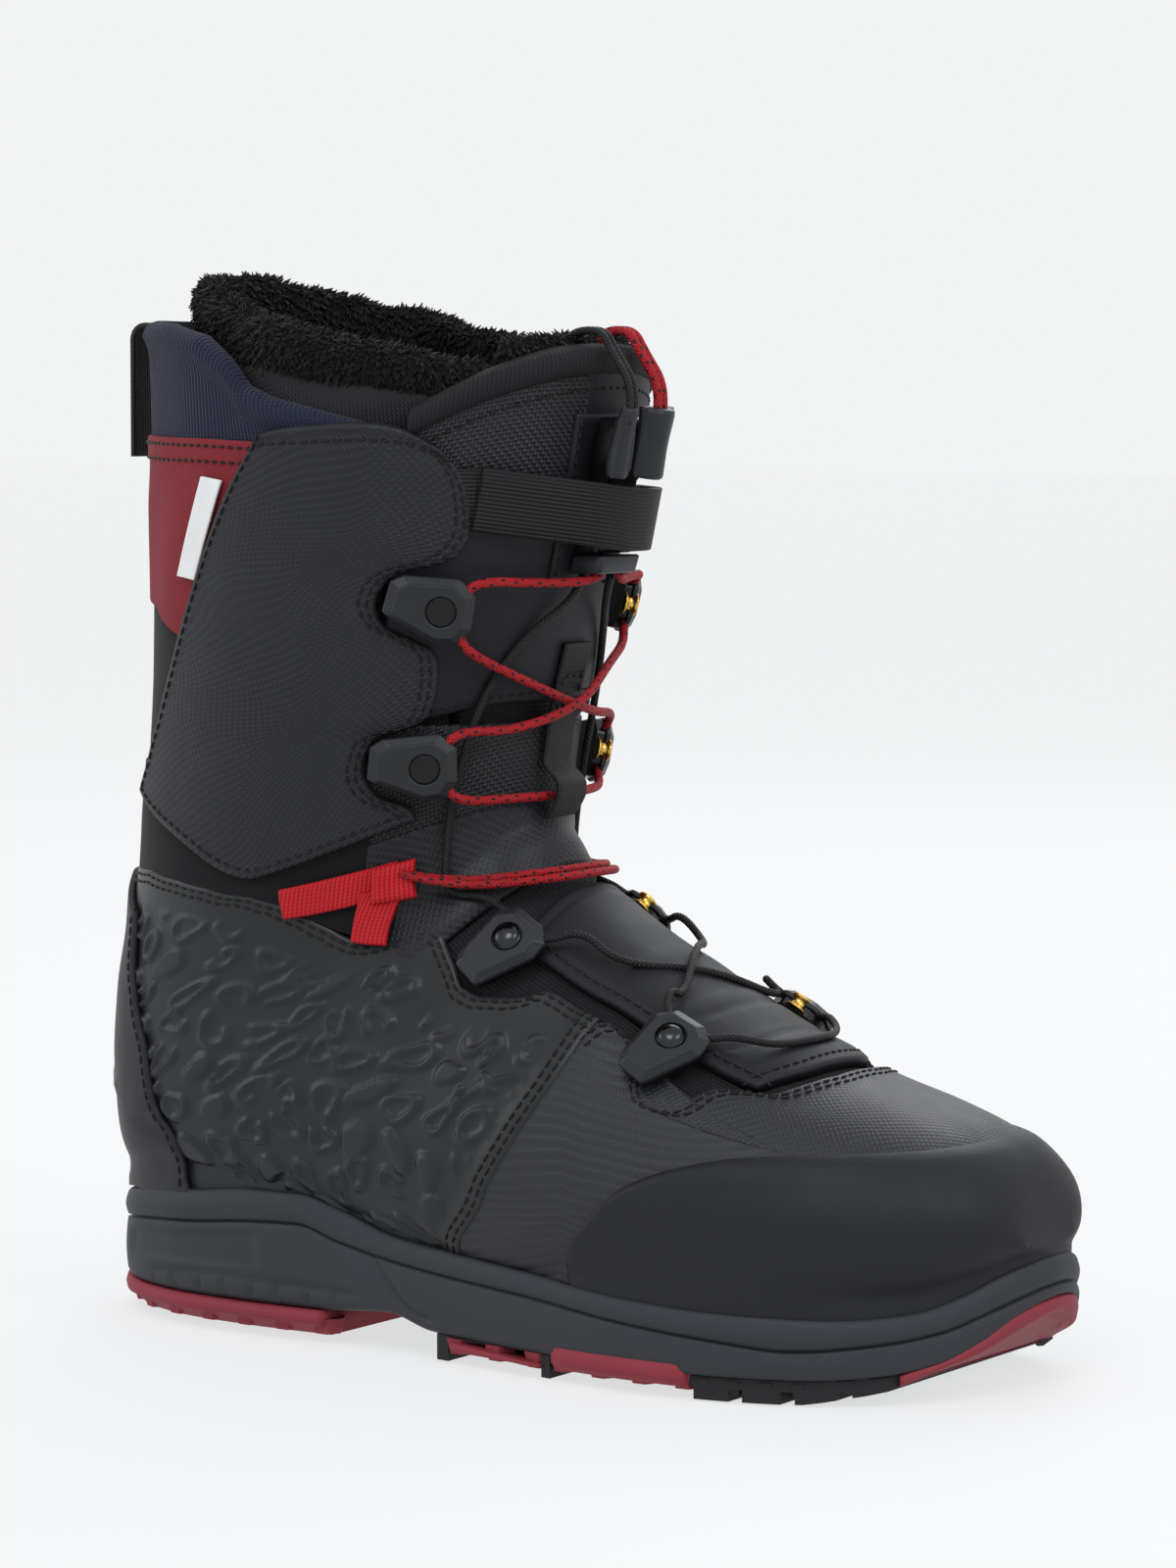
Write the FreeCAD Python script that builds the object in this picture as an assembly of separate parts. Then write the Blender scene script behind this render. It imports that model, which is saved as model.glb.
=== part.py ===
import FreeCAD, Part
import math
import os
from FreeCAD import Matrix, Vector

# Lace-up snowboard boot, right foot. Millimetres, +X to the toe, +Y to the inner (medial)
# side, +Z up, z = 0 at the ground. The upper's outer skin is one smooth form, cut by
# stations: upright planes from the toe back to the instep, then planes that fan round the
# ankle about one centre, then level planes up the shaft. Every panel is a patch of that
# skin with its own depth, so layers lie on each other like the sewn boot's.

TOE_X = 139.5
FAN_X, FAN_Z = 30.0, 160.0
TOP_Z = 268.0

# Depth ranges from the skin, inner and outer.
OVERLAY = (0.6, 2.5)
PANEL = (-2.2, 0.0)
BACKING = (-4.4, -2.6)
LINER = (-13.0, -5.8)

FEATHER = 2.35            # section angle where the upper turns under the foot
FLEX_LOW, FLEX_HIGH = 58.0, 80.0          # fan angles that bound the flexing ankle zone

LACE_R = 1.5
CORD_R = 1.15


def toe(x):
    """Station of an upright plane through the toe box."""
    return (TOE_X - x) / (TOE_X - FAN_X)


def fan(degrees):
    """Station of a plane that turns about the fan's centre, 0 upright and 90 level."""
    return 1 + degrees / 90


def shaft(z):
    """Station of a level plane through the shaft."""
    return 2 + (z - FAN_Z) / (TOP_Z - FAN_Z)


# station, reach to the front and to the back from the fan's line, lateral and medial half
# width, where the section is widest from front to back, and the roundness of both halves
STATIONS = [
    (toe(139.5), 118, 123, 9, 19, 0.50, 2.0, 2.4),
    (toe(137), 107.5, 125.5, 16, 27, 0.55, 2.1, 2.5),
    (toe(132), 100, 129.5, 26, 35, 0.61, 2.2, 2.8),
    (toe(122), 93, 134.5, 37, 42, 0.65, 2.3, 3.2),
    (toe(108), 87.5, 138.5, 44, 47, 0.69, 2.3, 3.6),
    (toe(90), 81.5, 141.5, 50, 50, 0.71, 2.2, 4.0),
    (toe(65), 72, 143.5, 53.5, 52, 0.73, 2.1, 4.0),
    (toe(45), 61, 143.5, 54, 51.5, 0.73, 2.0, 4.0),
    (toe(30), 52.5, 143, 54, 51, 0.72, 2.0, 4.0),
    (fan(18), 46, 146, 52, 49, 0.68, 2.0, 3.4),
    (fan(36), 43, 164, 49, 47, 0.63, 2.0, 2.8),
    (fan(48), 42, 195, 49, 47, 0.59, 2.0, 2.4),
    (fan(54), 41, 205, 49, 47.5, 0.58, 2.0, 2.3),
    (fan(60), 40.5, 197.5, 49, 48, 0.57, 2.0, 2.2),
    (fan(66), 39.5, 186, 49.5, 48.5, 0.56, 2.0, 2.2),
    (fan(72), 39, 176, 50, 49, 0.54, 2.1, 2.1),
    (fan(81), 38, 168, 51.5, 51, 0.52, 2.1, 2.0),
    (shaft(160), 37.5, 163.5, 53, 53, 0.50, 2.1, 2.0),
    (shaft(185), 33.5, 161.5, 55, 55, 0.50, 2.15, 2.0),
    (shaft(210), 27.5, 161, 56.5, 56.5, 0.50, 2.2, 2.0),
    (shaft(240), 21, 161, 58, 58, 0.50, 2.2, 2.0),
    (shaft(268), 16, 162, 59, 59, 0.50, 2.2, 2.0),
]

# Sole plan, lateral side then medial side, heel to toe.
OUTLINE_LATERAL = [(-142, 1), (-138, -17), (-126, -32), (-108, -41), (-82, -45), (-45, -45.5),
                   (-15, -48), (20, -53.5), (50, -57.5), (78, -56.5), (100, -50), (118, -39.5),
                   (132, -24), (140, -6), (142.5, 10)]
OUTLINE_MEDIAL = [(138.5, 26), (128, 39), (108, 49), (80, 54), (50, 54.5), (15, 50), (-20, 46.5),
                  (-55, 43.5), (-85, 43.5), (-110, 39.5), (-128, 31), (-138.5, 17)]
# Side profiles: top rim of the midsole, its underside, and the ground contact.
RIM = [(-146, 30), (-133, 32.5), (-115, 36), (-96, 37.5), (-75, 39.5), (-60, 39.5), (-47, 36.5),
       (-28, 31), (-10, 29), (20, 26.5), (50, 23.5), (80, 22), (108, 21.5), (124, 23),
       (133, 27), (138, 31), (146, 36)]
UNDERSIDE = [(-146, 9), (-52, 9), (-30, 10.5), (-14, 7), (20, 6), (100, 6), (120, 7.5), (129, 10),
             (135, 14.5), (140, 21), (146, 27)]
TREAD = [(-146, 2), (-138, 0), (-100, 0), (0, 0), (98, 0), (110, 1.8), (120, 4), (128, 8),
         (136, 12), (141, 17), (146, 24)]


# ---------------------------------------------------------------- curves and the skin

def monotone(xs, ys):
    """A smooth curve through the points that never overshoots them."""
    count = len(xs)
    rises = [(ys[i + 1] - ys[i]) / (xs[i + 1] - xs[i]) for i in range(count - 1)]
    slopes = [rises[0]]
    for i in range(1, count - 1):
        before, after = rises[i - 1], rises[i]
        slopes.append(0 if before * after <= 0 else 2 * before * after / (before + after))
    slopes.append(rises[-1])

    def value(x):
        x = min(max(x, xs[0]), xs[-1])
        i = 0
        while i < count - 2 and x > xs[i + 1]:
            i += 1
        step = xs[i + 1] - xs[i]
        t = (x - xs[i]) / step
        return ((1 + 2 * t) * (1 - t) ** 2 * ys[i] + t * (1 - t) ** 2 * step * slopes[i]
                + t * t * (3 - 2 * t) * ys[i + 1] + t * t * (t - 1) * step * slopes[i + 1])
    return value


CURVES = [monotone([row[0] for row in STATIONS], [row[k] for row in STATIONS])
          for k in range(1, 8)]


def ray(s):
    """Start point and direction of a station's centre line in the side view."""
    if s <= 1:
        return (TOE_X - s * (TOE_X - FAN_X), FAN_Z), (0.0, -1.0)
    if s <= 2:
        turn = math.radians(90 * (s - 1))
        return (FAN_X, FAN_Z), (-math.sin(turn), -math.cos(turn))
    return (FAN_X, FAN_Z + (s - 2) * (TOP_Z - FAN_Z)), (-1.0, 0.0)


def bare_skin(s, a):
    """Point of the skin; a is 0 at the front, positive round the lateral side, pi behind."""
    front, back, lateral, medial, wide, round_front, round_back = [c(s) for c in CURVES]
    start, way = ray(s)
    cosine, sine = math.cos(a), math.sin(a)
    power = 2 / (round_front if cosine > 0 else round_back)
    if cosine > 0:
        depth = wide - wide * cosine ** power
    else:
        depth = wide + (1 - wide) * (-cosine) ** power
    reach = front + (back - front) * depth
    half = (lateral + medial) / 2
    y = (medial - lateral) / 2 - math.copysign(abs(sine) ** power, sine) * half
    return Vector(start[0] + way[0] * reach, y, start[1] + way[1] * reach)


def normal(s, a):
    """Outward normal of the skin."""
    across = bare_skin(s, a + 0.02) - bare_skin(s, a - 0.02)
    along = bare_skin(s + 0.01, a) - bare_skin(max(s - 0.01, 0.0), a)
    out = across.cross(along)
    middle = (bare_skin(s, 0) + bare_skin(s, math.pi)) * 0.5
    if out.dot(bare_skin(s, a) - middle) < 0:
        out = -out
    return out.normalize()


def skin(s, a, depth=0.0):
    """Point at a depth outside (+) or inside (-) the skin."""
    return bare_skin(s, a) + normal(s, a) * depth


def spot(x, z):
    """Skin coordinates of a lateral point given in the side view."""
    if z >= FAN_Z:
        s = shaft(z)
    elif x >= FAN_X:
        s = toe(x)
    else:
        s = 1 + math.degrees(math.atan2(FAN_X - x, FAN_Z - z)) / 90
    start, way = ray(s)
    reach = (x - start[0]) * way[0] + (z - start[1]) * way[1]
    front, back, _, _, wide, round_front, round_back = [c(s) for c in CURVES]
    depth = (reach - front) / (back - front)
    if depth < wide:
        return s, math.acos(max(0.0, (wide - max(depth, 0.0)) / wide) ** (round_front / 2))
    share = min((depth - wide) / (1 - wide), 1.0)
    return s, math.acos(-share ** (round_back / 2))


def spots(*points):
    """Skin coordinates of several lateral side-view points."""
    return [spot(x, z) for x, z in points]


def inside(x, y, z):
    """Whether a point of the toe box lies inside the skin."""
    s = toe(x)
    if not 0 < s <= 1:
        return False
    front, back, lateral, medial_half, wide, round_front, round_back = [c(s) for c in CURVES]
    share = (FAN_Z - z - front) / (back - front)
    if not 0 < share < 1:
        return False
    if share < wide:
        fill = 1 - ((wide - share) / wide) ** round_front
        power = 1 / round_front
    else:
        fill = 1 - ((share - wide) / (1 - wide)) ** round_back
        power = 1 / round_back
    half = (lateral + medial_half) / 2 * fill ** power
    return abs(y - (medial_half - lateral) / 2) < half


def toe_wall(turn, z, depth):
    """Point of the toe's wall seen level from the middle of the forefoot."""
    way = Vector(math.cos(turn), math.sin(turn), 0)
    start = Vector(66, 5, z)
    low, high = 20.0, 90.0
    for _ in range(24):
        middle = (low + high) / 2
        place = start + way * middle
        if inside(place.x, place.y, z):
            low = middle
        else:
            high = middle
    return start + way * (low + depth)


def medial(edge):
    """The same edge on the other side of the boot."""
    return [(s, -a) for s, a in edge]


def round_back(edge):
    """A lateral edge carried round the back to its mirror image."""
    return edge + [(s, 2 * math.pi - a) for s, a in reversed(edge)]


# ---------------------------------------------------------------- solids

def resample(edge, count):
    """Evenly spaced points along a chain of skin coordinates."""
    lengths = [0.0]
    for p, q in zip(edge, edge[1:]):
        lengths.append(lengths[-1] + math.hypot(q[0] - p[0], 0.5 * (q[1] - p[1])))
    out = []
    for k in range(count):
        target = lengths[-1] * k / (count - 1)
        i = 0
        while i < len(edge) - 2 and lengths[i + 1] < target:
            i += 1
        t = (target - lengths[i]) / (lengths[i + 1] - lengths[i])
        out.append((edge[i][0] + t * (edge[i + 1][0] - edge[i][0]),
                    edge[i][1] + t * (edge[i + 1][1] - edge[i][1])))
    return out


def solid_between(outer, inner):
    """Closed solid between two grids of points."""
    sheets = []
    for grid in (outer, inner):
        sheet = Part.BSplineSurface()
        sheet.interpolate(grid)
        sheets.append(sheet)
    bounds = [sheet.bounds() for sheet in sheets]
    faces = [sheet.toShape() for sheet in sheets]
    for k in range(4):
        rims = []
        for sheet, bound in zip(sheets, bounds):
            rims.append((sheet.uIso(bound[k]) if k < 2 else sheet.vIso(bound[k])).toShape())
        faces.append(Part.makeRuledSurface(rims[0], rims[1]))
    sewn = Part.makeCompound(faces)
    sewn.sewShape(0.02)
    solid = Part.makeSolid(sewn.Shells[0])
    if solid.Volume < 0:
        solid.reverse()
    return solid


def panel(low, high, depths=PANEL, left=None, right=None, size=(16, 12)):
    """Patch of the skin inside four edges; depths may be functions of the two shares."""
    across, up = size
    left = left or [low[0], high[0]]
    right = right or [low[-1], high[-1]]
    low, high = resample(low, across), resample(high, across)
    left, right = resample(left, up), resample(right, up)
    grids = ([], [])
    for i in range(across):
        u = i / (across - 1)
        rows = ([], [])
        for j in range(up):
            v = j / (up - 1)
            place = []
            for k in (0, 1):
                corner = ((1 - u) * (1 - v) * low[0][k] + u * (1 - v) * low[-1][k]
                          + (1 - u) * v * high[0][k] + u * v * high[-1][k])
                place.append((1 - v) * low[i][k] + v * high[i][k]
                             + (1 - u) * left[j][k] + u * right[j][k] - corner)
            for row, depth in zip(rows, depths):
                d = depth(u, v) if callable(depth) else depth
                row.append(skin(place[0], place[1], d))
        for grid, row in zip(grids, rows):
            grid.append(row)
    return solid_between(grids[1], grids[0])


def ring_loft(stations, depth, count=28):
    """Closed loft through whole sections of the skin."""
    wires = []
    for s in stations:
        points = [skin(s, 2 * math.pi * k / count, depth) for k in range(count)]
        curve = Part.BSplineCurve()
        curve.interpolate(Points=points, PeriodicFlag=True)
        wires.append(Part.Wire([curve.toShape()]))
    return Part.makeLoft(wires, True)


def outline(grow=0.0):
    """Sole plan as one closed curve, moved outwards by grow."""
    points = [Vector(x, y, 0) for x, y in OUTLINE_LATERAL + OUTLINE_MEDIAL]
    moved = []
    for k, point in enumerate(points):
        chord = points[(k + 1) % len(points)] - points[k - 1]
        moved.append(point + Vector(chord.y, -chord.x, 0).normalize() * grow)
    curve = Part.BSplineCurve()
    curve.interpolate(Points=moved, PeriodicFlag=True)
    return Part.Face(Part.Wire([curve.toShape()]))


def side_slab(low, high):
    """Solid wider than the sole between two side-view profiles."""
    corners = []
    for profile, way in ((low, 1), (high, -1)):
        height = monotone([x for x, _ in profile], [z for _, z in profile])
        first, last = profile[0][0], profile[-1][0]
        places = [first + (last - first) * k / 64 for k in range(65)]
        corners += [Vector(x, -90, height(x)) for x in places][::way]
    return Part.Face(Part.makePolygon(corners + corners[:1])).extrude(Vector(0, 180, 0))


def block(x, y, z):
    """Box from three (low, high) pairs."""
    return Part.makeBox(x[1] - x[0], y[1] - y[0], z[1] - z[0], Vector(x[0], y[0], z[0]))


def tube_along(route, radius):
    """Round cord: straight runs joined by tangent arcs. Prints its tightest bend."""
    edges = []
    tightest = None
    start = route[0]
    runs = [(q - p).Length for p, q in zip(route, route[1:])]
    for k in range(1, len(route) - 1):
        before = (route[k] - route[k - 1]).normalize()
        after = (route[k + 1] - route[k]).normalize()
        turn = before.getAngle(after)
        reach = 0.45 * min(runs[k - 1], runs[k])
        bend = reach / math.tan(turn / 2)
        tightest = bend if tightest is None else min(bend, tightest)
        enter, leave = route[k] - before * reach, route[k] + after * reach
        bisector = (after - before).normalize()
        middle = route[k] + bisector * (bend / math.cos(turn / 2) - bend)
        edges.append(Part.LineSegment(start, enter).toShape())
        edges.append(Part.Arc(enter, middle, leave).toShape())
        start = leave
    edges.append(Part.LineSegment(start, route[-1]).toShape())
    path = Part.Wire(edges)
    ring = Part.Wire([Part.Circle(route[0], route[1] - route[0], radius).toShape()])
    tube = path.makePipeShell([ring], True, True)
    ideal = math.pi * radius ** 2 * path.Length
    print("cord length %.0f tightest bend %.1f volume ratio %.3f"
          % (path.Length, tightest, tube.Volume / ideal))
    return tube


class Seat:
    """A flat place on the skin for a rigid fitting: x to the lacing, y up it, z outwards."""

    def __init__(self, x, z, depth, side, tilt=0.0):
        s, a = spot(x, z)
        a *= side
        out = normal(s, a)
        along = (bare_skin(s + 0.02, a) - bare_skin(s - 0.02, a)).normalize()
        lean = math.radians(tilt) * side
        y_way = (along * math.cos(lean) + out.cross(along) * math.sin(lean)).normalize()
        x_way = y_way.cross(out) * side
        self.origin = skin(s, a, depth)
        self.ways = (x_way, y_way, out)

    def point(self, x, y, z):
        """Row-frame position of a local point."""
        return self.origin + self.ways[0] * x + self.ways[1] * y + self.ways[2] * z

    def place(self, shape):
        """The shape, which is the same above and below its middle, moved into the seat."""
        x, _, z = self.ways
        y, o = z.cross(x), self.origin
        turn = Matrix(x.x, y.x, z.x, o.x, x.y, y.y, z.y, o.y, x.z, y.z, z.z, o.z, 0, 0, 0, 1)
        placed = shape.copy()
        placed.Placement = FreeCAD.Placement(turn)
        return placed


nodes = {}

# ---------------------------------------------------------------- sole unit

FORM_TOE = (139.3, 138, 136, 133, 128, 122, 115, 106, 96, 84, 70, 56, 42)
FORM_FAN = (1, 10, 20, 30, 38, 44, 49, 53, 57, 62, 68)
foot_form = ring_loft([toe(x) for x in FORM_TOE] + [fan(g) for g in FORM_FAN], 0.7, 48)
sole_block = outline().extrude(Vector(0, 0, 60))
tread_block = outline(-1.0).extrude(Vector(0, 0, 60))
midsole = sole_block.common(side_slab(UNDERSIDE, RIM)).cut(foot_form)
rubber = tread_block.common(side_slab(TREAD, UNDERSIDE))

HEEL_END, FORE_START, TOE_START = -51.0, -13.0, 121.0
PADS = [((-9, 24), (-60, -36), 6.0), ((27, 71), (-60, -38), 9.5),
        ((-9, 24), (34, 60), 6.0), ((27, 71), (38, 60), 9.5)]
base = rubber.common(block((FORE_START, TOE_START), (-90, 90), (-5, 60)))
pads = []
for x_span, y_span, top in PADS:
    region = block(x_span, y_span, (-5, top))
    pad = sole_block.common(side_slab(TREAD, RIM)).common(region)
    for x in range(int(x_span[0]) + 9, int(x_span[1]) - 4, 10):
        pad = pad.cut(block((x, x + 2.2), (-90, 90), (-1, 2.8)))
    pads.append(pad)
    midsole = midsole.cut(region)
    base = base.cut(region)
for x in range(4, 118, 13):
    base = base.cut(block((x, x + 3.5), (-90, 90), (-1, 3.2)))
base = base.cut(block((-20, 118), (-1.6, 1.6), (-1, 3.2)))
heel_tread = rubber.common(block((-150, HEEL_END), (-90, 90), (-5, 60)))
for x in (-124, -106, -88, -70):
    heel_tread = heel_tread.cut(block((x, x + 4.0), (-90, 90), (-1, 4.0)))
heel_tread = heel_tread.cut(block((-130, -64), (-2, 2), (-1, 4.0)))
SHANK = ((-98, 18), (-14, 16), (13.5, 16.0))
midsole = midsole.cut(block(*SHANK))
nodes["midsole"] = midsole
nodes["outsole_side_pads"] = Part.makeCompound(pads)
nodes["outsole_base"] = base
nodes["heel_tread"] = heel_tread
nodes["toe_tread"] = rubber.common(block((TOE_START, 150), (-90, 90), (-5, 60)))
nodes["shank"] = block((-97.5, 17.5), (-13.5, 15.5), (13.6, 15.9))

# ---------------------------------------------------------------- lower upper

back_of_heel = (fan(48), math.pi)
sole_edge = [(fan(18), FEATHER), (fan(32), FEATHER), (fan(41), 2.5), (fan(47), 2.8),
             (fan(48.5), 3.10)]
seam_low, seam_high = spot(-11, 30), spot(27, 92)
quarter_seam = [(fan(18), FEATHER)] + spots((-8, 34), (3, 49), (13, 65), (22, 79), (28, 93))
quarter_top = spots((28, 93), (14, 100), (-2, 108), (-18, 114), (-36, 110), (-51, 114),
                    (-66, 120), (-92, 123), (-118, 126)) + [(spot(-118, 126)[0], 3.10)]
quarter_rear = [sole_edge[-1], (fan(66), 3.10), quarter_top[-1]]
nodes["quarter_lateral"] = panel(sole_edge, quarter_top, PANEL, quarter_seam, quarter_rear,
                                 (26, 14))
nodes["quarter_medial"] = panel(medial(sole_edge), medial(quarter_top), PANEL,
                                medial(quarter_seam), medial(quarter_rear), (26, 14))

vamp_rear = [(fan(16), FEATHER)] + spots((-5, 33), (6, 48), (16, 64), (25, 78), (31, 91),
                                         (40, 87), (46, 76), (62, 75), (76, 76))
vamp_rear = vamp_rear + [(toe(86), 0.25)]
vamp_rear = vamp_rear + medial(vamp_rear)[::-1]
vamp_tip = [(0.035, FEATHER), (0.035, 1.2), (0.035, 0.0), (0.035, -1.2), (0.035, -FEATHER)]
nodes["vamp"] = panel(vamp_tip, vamp_rear, PANEL, size=(37, 40))
nodes["toe_puff"] = panel([(0.06, 2.2), (0.06, -2.2)], [(toe(95), 2.2), (toe(95), -2.2)],
                          BACKING, size=(24, 10))

CAP_END = 2.08            # direction of the cap's ends from the middle of the forefoot
CAP_LOW = monotone([-CAP_END, -1.6, -0.7, 0, 0.7, 1.6, CAP_END], [27, 24, 26, 33, 26, 24, 27])
CAP_HIGH = monotone([-CAP_END, -1.9, -1.6, -1.0, 0, 1.0, 1.6, 1.9, CAP_END],
                    [38, 50, 58, 62, 63, 62, 58, 50, 38])


def toe_cap(first, last):
    """Moulded band round the toe between two directions, resting on the sole's rim."""
    grids = ([], [])
    for i in range(21):
        turn = first + (last - first) * i / 20
        low, high = CAP_LOW(turn), CAP_HIGH(turn)
        heights = [low + (high - low) * j / 9 for j in range(10)]
        for grid, depth in zip(grids, OVERLAY):
            grid.append([toe_wall(turn, z, depth + 0.9) for z in heights])
    return solid_between(grids[1], grids[0])


nodes["toe_cap"] = toe_cap(-CAP_END, CAP_END)

stay_low = round_back([spot(-97, 40), spot(-120, 38.5), (fan(53), 3.0)])
stay_high = round_back([spot(-119, 112), (fan(77), 2.75), (fan(77.5), 3.0)])
stay_side = spots((-97, 40), (-100, 56), (-109, 74), (-116, 92), (-119, 112))
stay_far = [(s, 2 * math.pi - a) for s, a in stay_side]
nodes["backstay"] = panel(stay_low, stay_high, OVERLAY, stay_side, stay_far, (25, 12))
nodes["heel_stiffener"] = panel(round_back([(fan(50), 2.5), (fan(53), 3.0)]),
                                round_back([(fan(74), 2.2), (fan(75), 3.0)]), BACKING,
                                size=(25, 16))
board = [(0.05, 2.5), (fan(5), 2.5), (fan(30), 2.5), (fan(40), 2.65), (fan(45), 2.9)]
board_far = [(s, 2 * math.pi - a) for s, a in board]
nodes["lasting_board"] = panel([board[0], board_far[0]], [board[-1], board_far[-1]], PANEL,
                               board, board_far, (12, 26))

PAD_HALF = 0.62
pad_low = [(toe(75), 0.56), (toe(82), 0.25), (toe(82), -0.25), (toe(75), -0.56)]
nodes["instep_pad"] = panel(pad_low, [(fan(29), PAD_HALF), (fan(29), -PAD_HALF)], (-2.2, 0.8),
                            size=(13, 14))
nodes["tongue_foot"] = panel([(toe(88), 0.9), (toe(88), -0.9)], [(fan(56), 1.0), (fan(56), -1.0)],
                             BACKING, size=(12, 16))
flex_front = [(fan(58), 0.98), (fan(58), -0.98)]
nodes["tongue_flex"] = panel(flex_front, [(shaft(165), 0.98), (shaft(165), -0.98)], PANEL,
                             size=(12, 8))

gusset_low = spots((-40, 116), (-52, 119), (-68, 125), (-92, 128)) + [
    (spot(-118, 131)[0], 2.95)]
gusset_high = [(fan(84), 1.02), (fan(84), 2.0), (fan(84), 2.95)]
nodes["ankle_gusset"] = panel(round_back(gusset_low), round_back(gusset_high), PANEL,
                              size=(37, 8))

# ---------------------------------------------------------------- shaft

SHAFT_EDGE = 1.03
REAR = 2 * math.pi - SHAFT_EDGE


def around(low_station, high_station, depths, edge=SHAFT_EDGE, size=(30, 8)):
    """Band round the back of the shaft between two stations."""
    far = 2 * math.pi - edge
    return panel([(low_station, edge), (low_station, far)],
                 [(high_station, edge), (high_station, far)], depths, size=size)


nodes["achilles_panel"] = around(fan(86), shaft(191), PANEL)
nodes["rear_gaiter"] = around(shaft(192), shaft(241), PANEL)
nodes["cuff_lining"] = around(fan(86), shaft(222), BACKING)
nodes["collar_lining"] = around(shaft(223.5), shaft(262), BACKING)

flap_low = spots((-117, 146), (-95, 135), (-73, 124.5), (-50, 133), (-28, 143))
flap_high = spots((-62, 243), (-45, 247), (-24, 247), (-13, 241))
flap_rear = spots((-117, 146), (-108, 160), (-96, 184), (-86, 205), (-73, 229), (-62, 243))
flap_front = spots((-28, 143), (-34, 153), (-31, 163), (-20, 170), (-19, 187), (-24, 198),
                   (-14, 210), (-9, 222), (-9, 234), (-13, 241))
nodes["cuff_flap_lateral"] = panel(flap_low, flap_high, OVERLAY, flap_rear, flap_front,
                                   (16, 24))
nodes["cuff_flap_medial"] = panel(medial(flap_low), medial(flap_high), OVERLAY,
                                  medial(flap_rear), medial(flap_front), (16, 24))
nodes["side_label"] = panel(spots((-96, 206), (-90, 205)), spots((-85, 233), (-77.5, 232)),
                            (0.3, 0.9), size=(4, 6))

tongue_top = [(shaft(248), 0.98), (shaft(255), 0.78), (shaft(260), 0.45), (shaft(262.5), 0.0)]
tongue_top = tongue_top + medial(tongue_top)[-2::-1]
binding_top = [(s + 0.045, a) for s, a in tongue_top]
binding_low = [(s + 0.003, a) for s, a in tongue_top]
nodes["tongue_shin"] = panel([(shaft(166), 0.98), (shaft(166), -0.98)], tongue_top, PANEL,
                             size=(16, 14))
nodes["tongue_binding"] = panel(binding_low, binding_top, (-3.6, 1.0), size=(22, 5))


def keeper_lift(v):
    """Height of the keeper over the tongue: it lifts over the lowest lace."""
    bump = max(0.0, 1 - abs(v - 0.2) / 0.2)
    return 0.5 + 5.8 * min(1.0, 1.8 * bump)


nodes["tongue_keeper"] = panel([(fan(62), 0.17), (fan(62), -0.11)],
                               [(shaft(187), 0.07), (shaft(187), -0.19)],
                               (lambda u, v: keeper_lift(v), lambda u, v: keeper_lift(v) + 1.3),
                               size=(5, 20))

# Rear pull loop: a webbing band folded into a flat finger loop behind the collar.
LOOP_HALF = 11.0


def pull_loop():
    """Closed band in the side view, as wide as the webbing."""
    bands = []
    for grow in (0.0, 1.5):
        x0, x1 = -140.5 - grow, -133.9 + grow
        z0, z1 = 238 - grow, 270 + grow
        middle, top = (x0 + x1) / 2, z1 + (x1 - x0) / 2
        arc = Part.Arc(Vector(x0, 0, z1), Vector(middle, 0, top), Vector(x1, 0, z1)).toShape()
        floor = [Vector(x1, 0, z1), Vector(x1, 0, z0), Vector(x0, 0, z0), Vector(x0, 0, z1)]
        edges = [arc] + [Part.makeLine(p, q) for p, q in zip(floor, floor[1:])]
        face = Part.Face(Part.Wire(edges))
        bands.append(face.extrude(Vector(0, 2 * LOOP_HALF, 0)))
    band = bands[1].cut(bands[0])
    band.translate(Vector(0, -LOOP_HALF, 0))
    return band


nodes["rear_pull_loop"] = pull_loop()

# ---------------------------------------------------------------- liner

SLIT = 0.02


def liner_toe_box():
    """Padded toe of the liner: each section's inside is its outside drawn in to its middle."""
    outer, inner = [], []
    for i in range(26):
        share = i / 25
        s = toe(133) + (toe(34) - toe(133)) * share
        keep = 0.78 + 0.06 * share
        ring = [skin(s, SLIT + (2 * math.pi - 2 * SLIT) * k / 43, LINER[1]) for k in range(44)]
        middle = (ring[0] + ring[22]) * 0.5
        outer.append(ring)
        inner.append([middle + (point - middle) * keep for point in ring])
    return solid_between(outer, inner)


nodes["liner_toe"] = liner_toe_box()
nodes["liner_foot"] = panel([(toe(33.4), SLIT), (toe(33.4), 2 * math.pi - SLIT)],
                            [(fan(FLEX_LOW - 0.6), SLIT), (fan(FLEX_LOW - 0.6), 2 * math.pi - SLIT)],
                            LINER, size=(40, 24))
nodes["liner_flex"] = around(fan(FLEX_LOW), fan(FLEX_HIGH - 0.6), LINER, SLIT, (44, 8))
nodes["liner_cuff"] = around(fan(FLEX_HIGH), shaft(263), LINER, 0.62, (34, 12))
nodes["liner_tongue"] = panel([(fan(FLEX_HIGH), 0.56), (fan(FLEX_HIGH), -0.56)],
                              [(shaft(258), 0.56), (shaft(258), -0.56)], LINER, size=(10, 12))
fleece_low = round_back([(shaft(264), 0.62), (shaft(264), 1.6), (shaft(264), 3.0)])
fleece_high = round_back([(shaft(276), 0.62), (shaft(281), 1.6), (shaft(287), 3.0)])
nodes["fleece_collar"] = panel(fleece_low, fleece_high, (-15.5, -6.0), size=(34, 6))
nodes["footbed"] = panel([(toe(112), 2.55), (toe(112), 2 * math.pi - 2.55)],
                         [(fan(40), 2.8), (fan(40), 2 * math.pi - 2.8)], (-17.5, -14.2),
                         size=(12, 30))

# ---------------------------------------------------------------- lace hooks

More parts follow.
